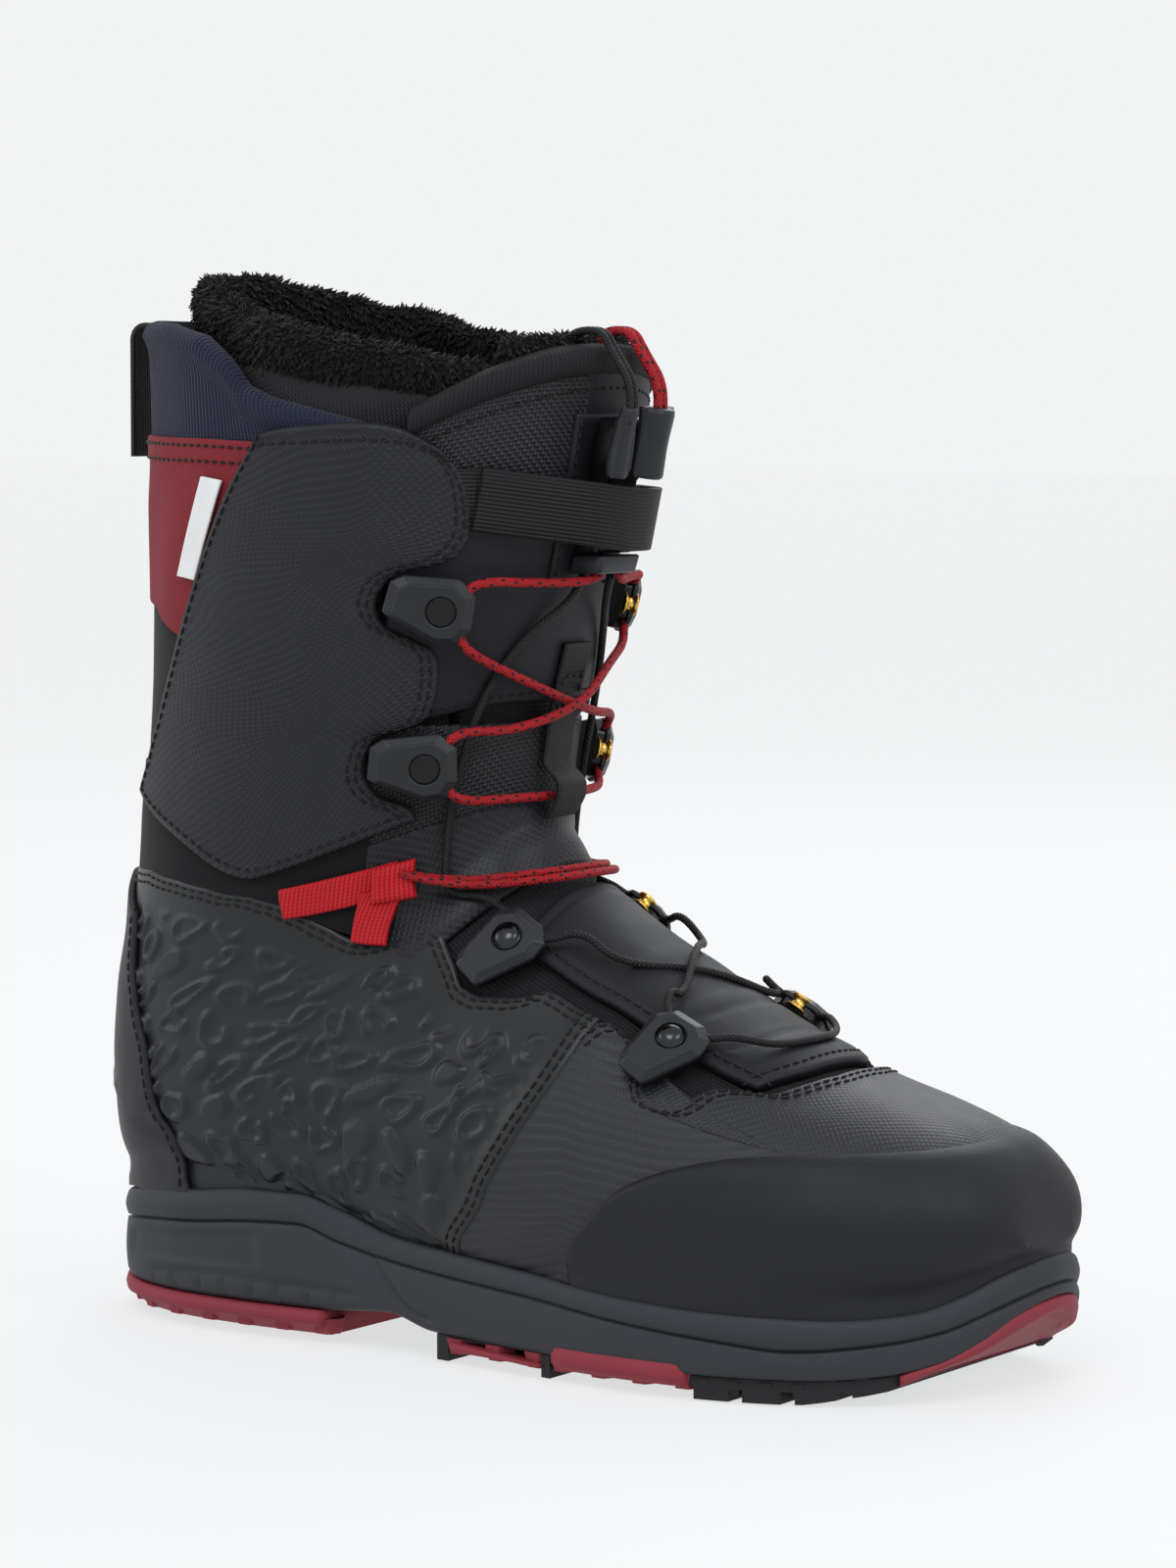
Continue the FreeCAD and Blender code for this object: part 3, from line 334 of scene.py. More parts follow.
@dataclass(frozen=True)
class Finish:
    """A surface finish: base colour, gloss and how much both vary over the piece."""

    name: str
    colour: str
    slot: str
    roughness: float = 0.6
    metallic: float = 0.0
    ior: float = 1.33
    sheen: float = 0.0
    coat: float = 0.0
    variation: float = 0.25
    grain_mm: float = 0.6
    grain_depth_mm: float = 0.03
    space: Space = Space.PIECE

    def material(self) -> bpy.types.Material:
        """The finish's material, built the first time it is asked for."""
        found = bpy.data.materials.get(self.name)
        if found is not None:
            return found
        made = bpy.data.materials.new(self.name)
        made.use_nodes = True
        tree = made.node_tree
        tree.nodes.clear()
        coordinates = add(tree, "ShaderNodeTexCoord").outputs[self.space.value]
        place = add(tree, "ShaderNodeTexCoord").outputs["Object"]
        shader = add(tree, "ShaderNodeBsdfPrincipled", inputs={
            "Metallic": self.metallic, "Coat Weight": self.coat, "Coat Roughness": 0.25,
            "Sheen Weight": self.sheen, "Sheen Roughness": 0.45,
        })
        if self.metallic == 0:
            shader.inputs["IOR"].default_value = self.ior
        cloud = add(tree, "ShaderNodeTexNoise", inputs={
            "Vector": place, "Scale": 38.0, "Detail": 5.0, "Roughness": 0.62,
        }).outputs["Fac"]
        colour = self.tint(tree, coordinates, cloud)
        tree.links.new(colour, shader.inputs["Base Color"])
        gloss = add(tree, "ShaderNodeMapRange", inputs={
            "Value": cloud, "From Min": 0.3, "From Max": 0.7,
            "To Min": max(0.05, self.roughness - 0.07), "To Max": min(1.0, self.roughness + 0.07),
        }).outputs["Result"]
        tree.links.new(gloss, shader.inputs["Roughness"])
        grain = add(tree, "ShaderNodeTexNoise", inputs={
            "Vector": place, "Scale": 1 / (self.grain_mm * MM), "Detail": 3.0,
        }).outputs["Fac"]
        fine = add(tree, "ShaderNodeBump", inputs={
            "Strength": 1.0, "Distance": self.grain_depth_mm * MM, "Height": grain,
        }).outputs["Normal"]
        relief = self.relief(tree, coordinates)
        if relief is not None:
            height, depth_mm = relief
            fine = add(tree, "ShaderNodeBump", inputs={
                "Strength": 1.0, "Distance": depth_mm * MM, "Height": height, "Normal": fine,
            }).outputs["Normal"]
        tree.links.new(fine, shader.inputs["Normal"])
        output = add(tree, "ShaderNodeOutputMaterial")
        tree.links.new(shader.outputs["BSDF"], output.inputs["Surface"])
        return made

    def tint(self, tree: Tree, coordinates: Socket, cloud: Socket) -> Socket:
        """Base colour that drifts a little darker and lighter over the piece."""
        base = linear(self.colour)
        low = tuple(c * (1 - self.variation) for c in base[:3]) + (1.0,)
        high = tuple(min(1.0, c * (1 + self.variation)) for c in base[:3]) + (1.0,)
        share = add(tree, "ShaderNodeMapRange", inputs={
            "Value": cloud, "From Min": 0.32, "From Max": 0.68}).outputs["Result"]
        return add(tree, "ShaderNodeMix", {"data_type": "RGBA"}, {
            0: share, 6: low, 7: high}).outputs[2]

    def relief(self, tree: Tree, coordinates: Socket) -> Optional[tuple[Socket, float]]:
        """The finish's own pattern as a height and its depth in millimetres, if it has one."""
        return None


@dataclass(frozen=True)
class Dotted(Finish):
    """Coated leather pressed with a fine grid of dots."""

    pitch_mm: float = 1.7
    dot_depth_mm: float = 0.16
    turned: float = 0.785

    def relief(self, tree: Tree, coordinates: Socket) -> Optional[tuple[Socket, float]]:
        """Round dots on a square grid, turned to run across the panel."""
        turned = add(tree, "ShaderNodeMapping", inputs={
            "Vector": coordinates, "Rotation": (0.0, 0.0, self.turned)}).outputs["Vector"]
        dots = add(tree, "ShaderNodeTexVoronoi", {"voronoi_dimensions": "2D"}, {
            "Vector": turned, "Scale": 1 / (self.pitch_mm * MM), "Randomness": 0.0,
        }).outputs["Distance"]
        height = add(tree, "ShaderNodeMapRange", {"interpolation_type": "SMOOTHSTEP"}, {
            "Value": dots, "From Min": 0.18, "From Max": 0.42, "To Min": 1.0, "To Max": 0.0,
        }).outputs["Result"]
        return height, self.dot_depth_mm


def crown(tree: Tree, place: Socket, factor: float) -> Socket:
    """Round crowns side by side: the size of the sine of a place times a factor."""
    turn = add(tree, "ShaderNodeMath", {"operation": "MULTIPLY"}, {
        0: place, 1: factor}).outputs[0]
    wave = add(tree, "ShaderNodeMath", {"operation": "SINE"}, {0: turn}).outputs[0]
    return add(tree, "ShaderNodeMath", {"operation": "ABSOLUTE"}, {0: wave}).outputs[0]


def brighten(tree: Tree, colour: Socket, height: Socket, low: float, high: float) -> Socket:
    """A colour times a share that goes from low to high with a height: painted highlight on crowns
    and painted shade in the hollows.
    """
    share = add(tree, "ShaderNodeMapRange", inputs={
        "Value": height, "To Min": low, "To Max": high}).outputs["Result"]
    return add(tree, "ShaderNodeVectorMath", {"operation": "SCALE"}, {
        0: colour, "Scale": share}).outputs[0]


@dataclass(frozen=True)
class Woven(Finish):
    """Plain weave: warp and weft threads that pass over and under each other."""

    thread_mm: float = 0.9
    thread_depth_mm: float = 0.3
    # Strength of the painted highlight and painted shade of the weave.
    glint: float = 0.5
    turned: float = 0.0

    def weave(self, tree: Tree, coordinates: Socket) -> Socket:
        """Height of the weave, 0 between threads and 1 on their crowns."""
        scaled = add(tree, "ShaderNodeMapping", inputs={
            "Vector": coordinates, "Rotation": (0.0, 0.0, self.turned),
            "Scale": (1 / (self.thread_mm * MM),) * 3,
        }).outputs["Vector"]
        parts = add(tree, "ShaderNodeSeparateXYZ", inputs={0: scaled}).outputs
        crowns = [crown(tree, parts[axis], math.pi) for axis in ("X", "Y")]
        check = add(tree, "ShaderNodeTexChecker", inputs={
            "Vector": scaled, "Scale": 1.0}).outputs["Fac"]
        return add(tree, "ShaderNodeMix", {"data_type": "FLOAT"}, {
            0: check, 2: crowns[0], 3: crowns[1]}).outputs[0]

    def tint(self, tree: Tree, coordinates: Socket, cloud: Socket) -> Socket:
        """Painted highlight on the threads' crowns and painted shade between them."""
        colour = super().tint(tree, coordinates, cloud)
        return brighten(tree, colour, self.weave(tree, coordinates), 1 - self.glint,
                        1 + self.glint)

    def relief(self, tree: Tree, coordinates: Socket) -> Optional[tuple[Socket, float]]:
        """The weave's height."""
        return self.weave(tree, coordinates), self.thread_depth_mm


@dataclass(frozen=True)
class Ribbed(Finish):
    """Knit or webbing whose ribs run along one direction of the surface."""

    rib_mm: float = 1.6
    rib_depth_mm: float = 0.35
    stitch_mm: float = 0.9
    along_v: bool = True

    def ribs(self, tree: Tree, coordinates: Socket) -> Socket:
        """Height of the ribs with the small stitches that cross them."""
        parts = add(tree, "ShaderNodeSeparateXYZ", inputs={0: coordinates}).outputs
        across, along = (parts["X"], parts["Y"]) if self.along_v else (parts["Y"], parts["X"])
        heights = [crown(tree, place, math.pi / (pitch * MM))
                   for place, pitch in ((across, self.rib_mm), (along, self.stitch_mm))]
        return add(tree, "ShaderNodeMath", {"operation": "MULTIPLY_ADD"}, {
            0: heights[1], 1: 0.3, 2: heights[0]}).outputs[0]

    def tint(self, tree: Tree, coordinates: Socket, cloud: Socket) -> Socket:
        """Painted highlight on the ribs' crowns and painted shade in the grooves between them."""
        colour = super().tint(tree, coordinates, cloud)
        return brighten(tree, colour, self.ribs(tree, coordinates), 0.55, 1.3)

    def relief(self, tree: Tree, coordinates: Socket) -> Optional[tuple[Socket, float]]:
        """The ribs' height."""
        return self.ribs(tree, coordinates), self.rib_depth_mm


@dataclass(frozen=True)
class Braided(Finish):
    """Round braid: strands cross on a diamond lattice, some of them in a second colour."""

    strand_mm: float = 0.9
    fleck: Optional[str] = None

    def lattice(self, tree: Tree, coordinates: Socket) -> Socket:
        """Diamond cells of the braid."""
        turned = add(tree, "ShaderNodeMapping", inputs={
            "Vector": coordinates, "Rotation": (0.0, 0.0, math.pi / 4),
            "Scale": (1 / (self.strand_mm * MM),) * 3}).outputs["Vector"]
        return add(tree, "ShaderNodeTexVoronoi", {"voronoi_dimensions": "2D"}, {
            "Vector": turned, "Scale": 1.0, "Randomness": 0.0}).outputs["Distance"]

    def tint(self, tree: Tree, coordinates: Socket, cloud: Socket) -> Socket:
        """Strand colour with dark flecks along one spiral."""
        colour = super().tint(tree, coordinates, cloud)
        if self.fleck is None:
            return colour
        turned = add(tree, "ShaderNodeMapping", inputs={
            "Vector": coordinates, "Rotation": (0.0, 0.0, 0.55),
            "Scale": (1 / (3.4 * MM), 1 / (2.1 * MM), 1.0)}).outputs["Vector"]
        spots = add(tree, "ShaderNodeTexVoronoi", {"voronoi_dimensions": "2D"}, {
            "Vector": turned, "Scale": 1.0, "Randomness": 0.35}).outputs["Distance"]
        share = add(tree, "ShaderNodeMapRange", inputs={
            "Value": spots, "From Min": 0.16, "From Max": 0.22, "To Min": 1.0, "To Max": 0.0,
        }).outputs["Result"]
        return add(tree, "ShaderNodeMix", {"data_type": "RGBA"}, {
            0: share, 6: colour, 7: linear(self.fleck)}).outputs[2]

    def relief(self, tree: Tree, coordinates: Socket) -> Optional[tuple[Socket, float]]:
        """Strands stand up from the lattice's lines."""
        height = add(tree, "ShaderNodeMapRange", inputs={
            "Value": self.lattice(tree, coordinates), "From Min": 0.2, "From Max": 0.65,
            "To Min": 1.0, "To Max": 0.0}).outputs["Result"]
        return height, 0.25


# Polyurethane-coated leather, embossed in a press: soft satin with a dull highlight.
DOTTED_LEATHER = Dotted("Coated_leather_dotted", "17181D", "synthetic_leather", 0.5,
                        space=Space.SURFACE, coat=0.06, variation=0.12)
HEX_LEATHER = Dotted("Coated_leather_fine_dots", "1B1C21", "synthetic_leather", 0.44, ior=1.4,
                     space=Space.SURFACE, pitch_mm=1.5, dot_depth_mm=0.12, variation=0.12)
SMOOTH_LEATHER = Finish("Coated_leather_smooth", "111217", "synthetic_leather", 0.58,
                        variation=0.12, grain_mm=0.9, grain_depth_mm=0.05)
EMBOSSED_LEATHER = Finish("Coated_leather_embossed", "1B1D1F", "synthetic_leather", 0.42,
                          variation=0.1, grain_mm=0.5, grain_depth_mm=0.02, coat=0.08)
# Split suede: short nap, no gloss, edges go pale.
SUEDE = Finish("Suede_black", "0B0B0E", "suede", 0.95, sheen=0.06, variation=0.3,
               grain_mm=0.45, grain_depth_mm=0.12)
# Bonded softshell: tight weave with a slight sheen.
SOFTSHELL = Woven("Softshell_red", "741D24", "red_softshell", 0.85, sheen=0.03, thread_mm=0.55,
                  thread_depth_mm=0.1, glint=0.1, space=Space.SURFACE, variation=0.1)
TAG = Woven("Satin_tag_white", "D8D8D8", "red_softshell", 0.55, thread_mm=0.5,
            thread_depth_mm=0.06, glint=0.05, space=Space.SURFACE, variation=0.04)
# Ballistic nylon: coarse plain weave of shiny filament.
BALLISTIC = Woven("Ballistic_nylon", "1B1B1E", "knit", 0.5, thread_mm=1.15, thread_depth_mm=0.3,
                  glint=0.55, space=Space.SURFACE, variation=0.1)
MESH_KNIT = Woven("Liner_knit", "17171A", "liner_foam", 0.7, thread_mm=0.9, thread_depth_mm=0.2,
                  glint=0.45, space=Space.SURFACE, variation=0.1, turned=0.785)
RIB_KNIT = Ribbed("Elastic_rib_navy", "13172A", "knit", 0.9, rib_mm=1.5, rib_depth_mm=0.4,
                  space=Space.SURFACE, sheen=0.05, variation=0.12)
RIB_BLACK = Ribbed("Elastic_rib_black", "131316", "knit", 0.8, rib_mm=1.3, rib_depth_mm=0.3,
                   space=Space.SURFACE, variation=0.1)
WEBBING = Ribbed("Webbing_black", "101012", "webbing", 0.6, rib_mm=1.05, rib_depth_mm=0.3,
                 stitch_mm=1.4, along_v=False, space=Space.SURFACE, variation=0.1)
RED_WEBBING = Ribbed("Webbing_red", "A00F17", "webbing", 0.7, rib_mm=1.3, rib_depth_mm=0.35,
                     stitch_mm=1.1, space=Space.SURFACE, variation=0.12)
# Plush pile: every fibre is matt, with a faint sheen at grazing light.
PLUSH = Finish("Plush_pile", "060607", "fleece", 1.0, sheen=0.1, variation=0.45, grain_mm=1.2,
               grain_depth_mm=0.3)
THREAD = Finish("Bonded_thread", "0B0B0C", "synthetic_leather", 0.55, variation=0.1, grain_mm=0.3)
# Moulded rubber and foam: low gloss with a fine mould grain.
MIDSOLE = Finish("Moulded_EVA", "2A2C31", "midsole_foam", 0.6, variation=0.08, grain_mm=0.8,
                 grain_depth_mm=0.03)
TOE_RUBBER = Finish("Moulded_rubber_toe", "15161A", "toe_rubber", 0.55, variation=0.06,
                    grain_mm=0.7, grain_depth_mm=0.06)
HEEL_RUBBER = Finish("Moulded_rubber_heel", "191A1E", "toe_rubber", 0.5, variation=0.06,
                     grain_mm=1.2, grain_depth_mm=0.02)
RED_RUBBER = Finish("Outsole_rubber_red", "7B2A33", "red_rubber", 0.65, variation=0.1,
                    grain_mm=0.9, grain_depth_mm=0.05)
BLACK_RUBBER = Finish("Outsole_rubber_black", "19191B", "black_rubber", 0.6, variation=0.1)
# Glass-filled nylon straight from the mould.
GREY_NYLON = Finish("Glass_filled_nylon_grey", "1F2125", "grey_nylon", 0.42, variation=0.06,
                    grain_mm=0.5, grain_depth_mm=0.02)
BLACK_NYLON = Finish("Moulded_nylon_black", "0C0D0E", "black_nylon", 0.25, variation=0.05)
DARK_NICKEL = Finish("Black_nickel", "3A3B3D", "dark_chrome", 0.22, metallic=1.0,
                     variation=0.05, grain_depth_mm=0.0)
BRASS = Finish("Brass", "D8B25A", "brass", 0.25, metallic=1.0, variation=0.08,
               grain_depth_mm=0.0)
RED_CORD = Braided("Braided_cord_red", "8E0D16", "red_cord", 0.65, fleck="1A1012",
                   space=Space.SURFACE, variation=0.15)
BLACK_CORD = Braided("Braided_cord_black", "131315", "black_cord", 0.55, space=Space.SURFACE,
                     variation=0.1)
BOARD = Finish("Pressed_fibreboard", "A89878", "fibreboard", 0.85)
STIFFENER = Finish("Thermoplastic_sheet", "4A4A4C", "stiffener_board", 0.6)
INNER_FOAM = Finish("Liner_foam_cloth", "111113", "liner_foam", 0.9)


# ------------------------------------------------------------------ meshes


def make_piece(name: str, points: np.ndarray, faces: Sequence[Sequence[int]], finish: Finish,
               uvs: Optional[np.ndarray] = None, smooth: bool = True) -> Piece:
    """Makes an object from points in millimetres.

    Args:
        name: the piece's name.
        points: (n, 3) points in millimetres.
        faces: vertex numbers of each face.
        finish: the surface finish.
        uvs: (n, 2) lay-out of each point in millimetres, if a pattern follows the surface.
        smooth: whether the shading is smooth.

    Returns:
        The object, at the origin.
    """
    mesh = bpy.data.meshes.new(name)
    mesh.from_pydata((np.asarray(points, float) * MM).tolist(), [], [list(f) for f in faces])
    if uvs is not None:
        layer = mesh.uv_layers.new(name="lay")
        corner = np.empty(len(mesh.loops), np.int32)
        mesh.loops.foreach_get("vertex_index", corner)
        layer.data.foreach_set("uv", (np.asarray(uvs, float)[corner] * MM).ravel())
    mesh.polygons.foreach_set("use_smooth", [smooth] * len(mesh.polygons))
    mesh.materials.append(finish.material())
    mesh.update()
    piece = bpy.data.objects.new(name, mesh)
    bpy.context.scene.collection.objects.link(piece)
    return piece


def grid_faces(rows: int, columns: int, wrap: bool = False, start: int = 0,
               flip: bool = False) -> list[tuple[int, int, int, int]]:
    """Quads of a grid of points stored row by row.

    Args:
        rows: number of rows.
        columns: number of points in a row.
        wrap: whether each row closes on itself.
        start: number of the grid's first point.
        flip: whether to turn the faces round.

    Returns:
        The quads.
    """
    faces = []
    for i in range(rows - 1):
        for j in range(columns if wrap else columns - 1):
            k = (j + 1) % columns
            quad = (start + i * columns + j, start + i * columns + k,
                    start + (i + 1) * columns + k, start + (i + 1) * columns + j)
            faces.append(quad[::-1] if flip else quad)
    return faces


def ring_faces(rows: int, columns: int) -> list[tuple[int, ...]]:
    """Faces of closed rings of points one after the other, with a cap on both ends."""
    faces: list[tuple[int, ...]] = list(grid_faces(rows, columns, wrap=True))
    faces.append(tuple(range(columns))[::-1])
    faces.append(tuple(range((rows - 1) * columns, rows * columns)))
    return faces


def shell_faces(rows: int, columns: int) -> list[tuple[int, ...]]:
    """Faces of a thick sheet: a grid of outer points, then the same grid of inner points."""
    shift = rows * columns
    faces: list[tuple[int, ...]] = list(grid_faces(rows, columns))
    faces += grid_faces(rows, columns, start=shift, flip=True)
    rim = ([i * columns for i in range(rows)]
           + [(rows - 1) * columns + j for j in range(1, columns)]
           + [i * columns + columns - 1 for i in range(rows - 2, -1, -1)]
           + list(range(columns - 2, 0, -1)))
    faces += [(p, q, q + shift, p + shift) for p, q in zip(rim, rim[1:] + rim[:1])]
    return faces


def outward(piece: Piece) -> Piece:
    """Merges doubles and turns every face outwards."""
    work = bmesh.new()
    work.from_mesh(piece.data)
    bmesh.ops.remove_doubles(work, verts=work.verts, dist=1e-6)
    bmesh.ops.recalc_face_normals(work, faces=work.faces)
    work.to_mesh(piece.data)
    work.free()
    piece.data.update()
    return piece


def lengths_along(line: np.ndarray) -> np.ndarray:
    """Length along a line of points up to each of them."""
    return np.concatenate([[0], np.cumsum(np.linalg.norm(np.diff(line, axis=0), axis=1))])


def resample(edge: Edge, shares: np.ndarray) -> np.ndarray:
    """Points at given shares of an edge's length, as an (n, 2) array."""
    pairs = np.array(edge, float)
    steps = np.hypot(np.diff(pairs[:, 0]), 0.5 * np.diff(pairs[:, 1]))
    lengths = np.concatenate([[0], np.cumsum(steps)])
    target = shares * lengths[-1]
    return np.stack([np.interp(target, lengths, pairs[:, k]) for k in (0, 1)], -1)


def dense_ends(length: float, pitch: float, edges: Sequence[float]) -> np.ndarray:
    """Shares along a side with extra points close to both ends.

    Args:
        length: the side's length in millimetres.
        pitch: spacing in its middle.
        edges: distances from each end that get a point.

    Returns:
        Rising shares from 0 to 1.
    """
    near = np.array([0.0, *edges]) / length
    count = max(2, int(round((length - 2 * edges[-1]) / pitch)))
    middle = np.linspace(near[-1], 1 - near[-1], count + 1)
    return np.concatenate([near[:-1], middle, 1 - near[:-1][::-1]])


@dataclass
class Patch:
    """A sewn panel: a patch of the form between four edges, with its own thickness."""

    name: str
    low: Edge
    high: Edge
    finish: Finish
    depths: tuple[float, float] = (-2.2, 0.0)
    left: Optional[Edge] = None
    right: Optional[Edge] = None
    pitch: float = 2.0
    rounding: float = 1.1
    relief: Optional[Depth] = None
    seat: Optional[Callable[[np.ndarray, float], np.ndarray]] = None
    place: np.ndarray = field(init=False, default=None)

    def build(self) -> Piece:
        """Lays out the patch and makes its closed mesh."""
        left = self.left or [self.low[0], self.high[0]]
        right = self.right or [self.low[-1], self.high[-1]]
        rough = np.linspace(0, 1, 24)
        across = np.mean([self.measure(e, rough) for e in (self.low, self.high)])
        up = np.mean([self.measure(e, rough) for e in (left, right)])
        marks = [0.12 * self.rounding, 0.45 * self.rounding, self.rounding]
        u = dense_ends(across, self.pitch, marks)
        v = dense_ends(up, self.pitch, marks)
        low, high = resample(self.low, u), resample(self.high, u)
        side_left, side_right = resample(left, v), resample(right, v)
        uu, vv = u[:, None, None], v[None, :, None]
        corners = ((1 - uu) * (1 - vv) * low[0] + uu * (1 - vv) * low[-1]
                   + (1 - uu) * vv * high[0] + uu * vv * high[-1])
        place = ((1 - vv) * low[:, None] + vv * high[:, None]
                 + (1 - uu) * side_left[None] + uu * side_right[None] - corners)
        self.place, self.u, self.v = place, u, v
        s, a = place[..., 0], place[..., 1]
        flat = FORM.bare(s, a)
        step_u = np.linalg.norm(np.diff(flat, axis=0), axis=-1)
        step_v = np.linalg.norm(np.diff(flat, axis=1), axis=-1)
        along_u = np.concatenate([np.zeros((1, len(v))), np.cumsum(step_u, 0)])
        along_v = np.concatenate([np.zeros((len(u), 1)), np.cumsum(step_v, 1)], 1)
        self.lay = np.stack([along_u - along_u[len(u) // 2], along_v], -1)
        self.sides = np.stack([along_v, along_v[:, -1:] - along_v,
                               along_u, along_u[-1:] - along_u])
        border = self.sides.min(0)
        inner, outer = self.depths
        r = min(self.rounding, outer - inner)
        drop = r - np.sqrt(np.maximum(r * r - np.maximum(r - border, 0) ** 2, 0))
        depth = outer - drop
        if self.relief is not None:
            depth = depth + self.relief(self.lay, self.sides)
        self.depth = depth
        top = FORM.skin(s, a, depth).reshape(-1, 3)
        base = FORM.skin(s, a, np.full_like(depth, inner)).reshape(-1, 3)
        if self.seat is not None:
            top, base = self.seat(top, RIM_INSET - outer), self.seat(base, RIM_INSET - inner)
        lay = self.lay.reshape(-1, 2)
        return outward(make_piece(self.name, np.concatenate([top, base]),
                                  shell_faces(*depth.shape), self.finish,
                                  np.concatenate([lay, lay])))

    @staticmethod
    def measure(edge: Edge, shares: np.ndarray) -> float:
        """Length of an edge on the form, in millimetres."""
        pairs = resample(edge, shares)
        points = FORM.bare(pairs[:, 0], pairs[:, 1])
        return float(np.linalg.norm(np.diff(points, axis=0), axis=-1).sum())

    def seam(self, side: int, inset: float, first: float = 0.0, last: float = 1.0,
             lift: float = STITCH_LIFT) -> np.ndarray:
        """Line of points that follows one side of the patch.

        Args:
            side: 0 low, 1 high, 2 left, 3 right.
            inset: distance from that side in millimetres.
            first: share of the side where the line starts.
            last: share where it ends.
            lift: height over the surface.

        Returns:
            (n, 3) points in millimetres.
        """
        rows, columns = self.depth.shape
        points = []
        if side < 2:
            for i in range(rows):
                if first <= self.u[i] <= last:
                    d = self.sides[side][i]
                    points.append(self.pick(d, inset, self.place[i], self.depth[i], lift))
        else:
            for j in range(columns):
                if first <= self.v[j] <= last:
                    d = self.sides[side][:, j]
                    points.append(self.pick(d, inset, self.place[:, j], self.depth[:, j], lift))
        return np.array(points)

    @staticmethod
    def pick(distance: np.ndarray, inset: float, place: np.ndarray, depth: np.ndarray,
             lift: float) -> np.ndarray:
        """The point of one grid line that lies at the inset from a side."""
        order = np.argsort(distance)
        s, a, d = [np.interp(inset, distance[order], x[order])
                   for x in (place[:, 0], place[:, 1], depth)]
        return FORM.skin(np.array(s), np.array(a), np.array(d + lift))

    def lower_seam(self, side: int, inset: float, first: float = 0.0, last: float = 1.0
                   ) -> np.ndarray:
        """A seam line that is drawn out to the cup as the patch is."""
        line = self.seam(side, inset, first, last)
        return self.seat(line, RIM_INSET - STITCH_LIFT - self.depths[1])


# ------------------------------------------------------------------ cords and repeated parts


def spline_points(route: Sequence[Vector], smoothness: int = 6) -> np.ndarray:
    """Centreline of a cord: the NURBS spline whose control points are the route.

    Args:
        route: the route's points in millimetres.
        smoothness: the spline's resolution.

    Returns:
        (n, 3) points in millimetres.
    """
    curve = bpy.data.curves.new("centreline", "CURVE")
    curve.dimensions = "3D"
    curve.resolution_u = smoothness
    spline = curve.splines.new("NURBS")
    spline.points.add(len(route) - 1)
    for place, point in zip(spline.points, route):
        place.co = (*(Vector(point) * MM), 1.0)
    spline.order_u = 3
    spline.use_endpoint_u = True
    holder = bpy.data.objects.new("centreline", curve)
    bpy.context.scene.collection.objects.link(holder)
    bpy.context.view_layer.update()
    line = bpy.data.meshes.new_from_object(holder)
    points = np.array([v.co for v in line.vertices], float) / MM
    bpy.data.objects.remove(holder)
    bpy.data.meshes.remove(line)
    bpy.data.curves.remove(curve)
    return points


def tube(name: str, lines: Sequence[np.ndarray], radius: float, finish: Finish, sides: int = 14,
         flat: float = 1.0) -> Piece:
    """Round cords along centrelines, with a lay-out that runs along and round them.

    Args:
        name: the piece's name.
        lines: centrelines in millimetres.
        radius: the cord's radius.
        finish: the surface finish.
        sides: points round the cord.
        flat: thickness as a share of the width.

    Returns:
        The piece.
    """
    points, faces, lays = [], [], []
    for line in lines:
        steps = np.linalg.norm(np.diff(line, axis=0), axis=1)
        line = line[np.concatenate([[True], steps > 1e-4])]
        along = np.gradient(line, axis=0)
        along /= np.linalg.norm(along, axis=1, keepdims=True)
        side = np.cross(along[0], [0.31, 0.17, 0.93])
        run = lengths_along(line)
        start = len(points)
        for k, (centre, way) in enumerate(zip(line, along)):
            side = side - way * np.dot(side, way)
            side /= np.linalg.norm(side)
            up = np.cross(way, side)
            for j in range(sides + 1):
                turn = 2 * math.pi * j / sides
                points.append(centre + radius * (math.cos(turn) * side
                                                 + flat * math.sin(turn) * up))
                lays.append((run[k], radius * turn))
        faces += grid_faces(len(line), sides + 1, start=start, flip=True)
        for first, flip in ((start, False), (start + (len(line) - 1) * (sides + 1), True)):
            cap = tuple(range(first, first + sides))
            faces.append(cap[::-1] if flip else cap)
    piece = make_piece(name, np.array(points), faces, finish, np.array(lays))
    return outward(piece)


def bake(piece: Piece, tree: bpy.types.GeometryNodeTree, inputs: dict[str, object]) -> Piece:
    """Runs a Geometry Nodes tree on a piece and keeps the result as its plain mesh.

    Args:
        piece: the object whose mesh the tree starts from.
        tree: the node group.
        inputs: values by the tree's own input names.

    Returns:
        The same object with the finished mesh.
    """
    modifier = piece.modifiers.new("nodes", "NODES")
    modifier.node_group = tree
    for item in tree.interface.items_tree:
        if item.item_type == "SOCKET" and item.in_out == "INPUT" and item.name in inputs:
            modifier[item.identifier] = inputs[item.name]
    bpy.context.view_layer.update()
    evaluated = piece.evaluated_get(bpy.context.evaluated_depsgraph_get())
    made = bpy.data.meshes.new_from_object(evaluated)
    piece.modifiers.remove(modifier)
    piece.data = made
    return piece


def wires(name: str, lines: Sequence[np.ndarray], lift: float = 0.0) -> Piece:
    """A piece that is only lines of points, in millimetres, raised by a height."""
    points, edges = [], []
    for line in lines:
        edges += [(len(points) + k, len(points) + k + 1) for k in range(len(line) - 1)]
        points += ((line + [0, 0, lift]) * MM).tolist()
    mesh = bpy.data.meshes.new(name)
    mesh.from_pydata(points, edges, [])
    piece = bpy.data.objects.new(name, mesh)
    bpy.context.scene.collection.objects.link(piece)
    return piece


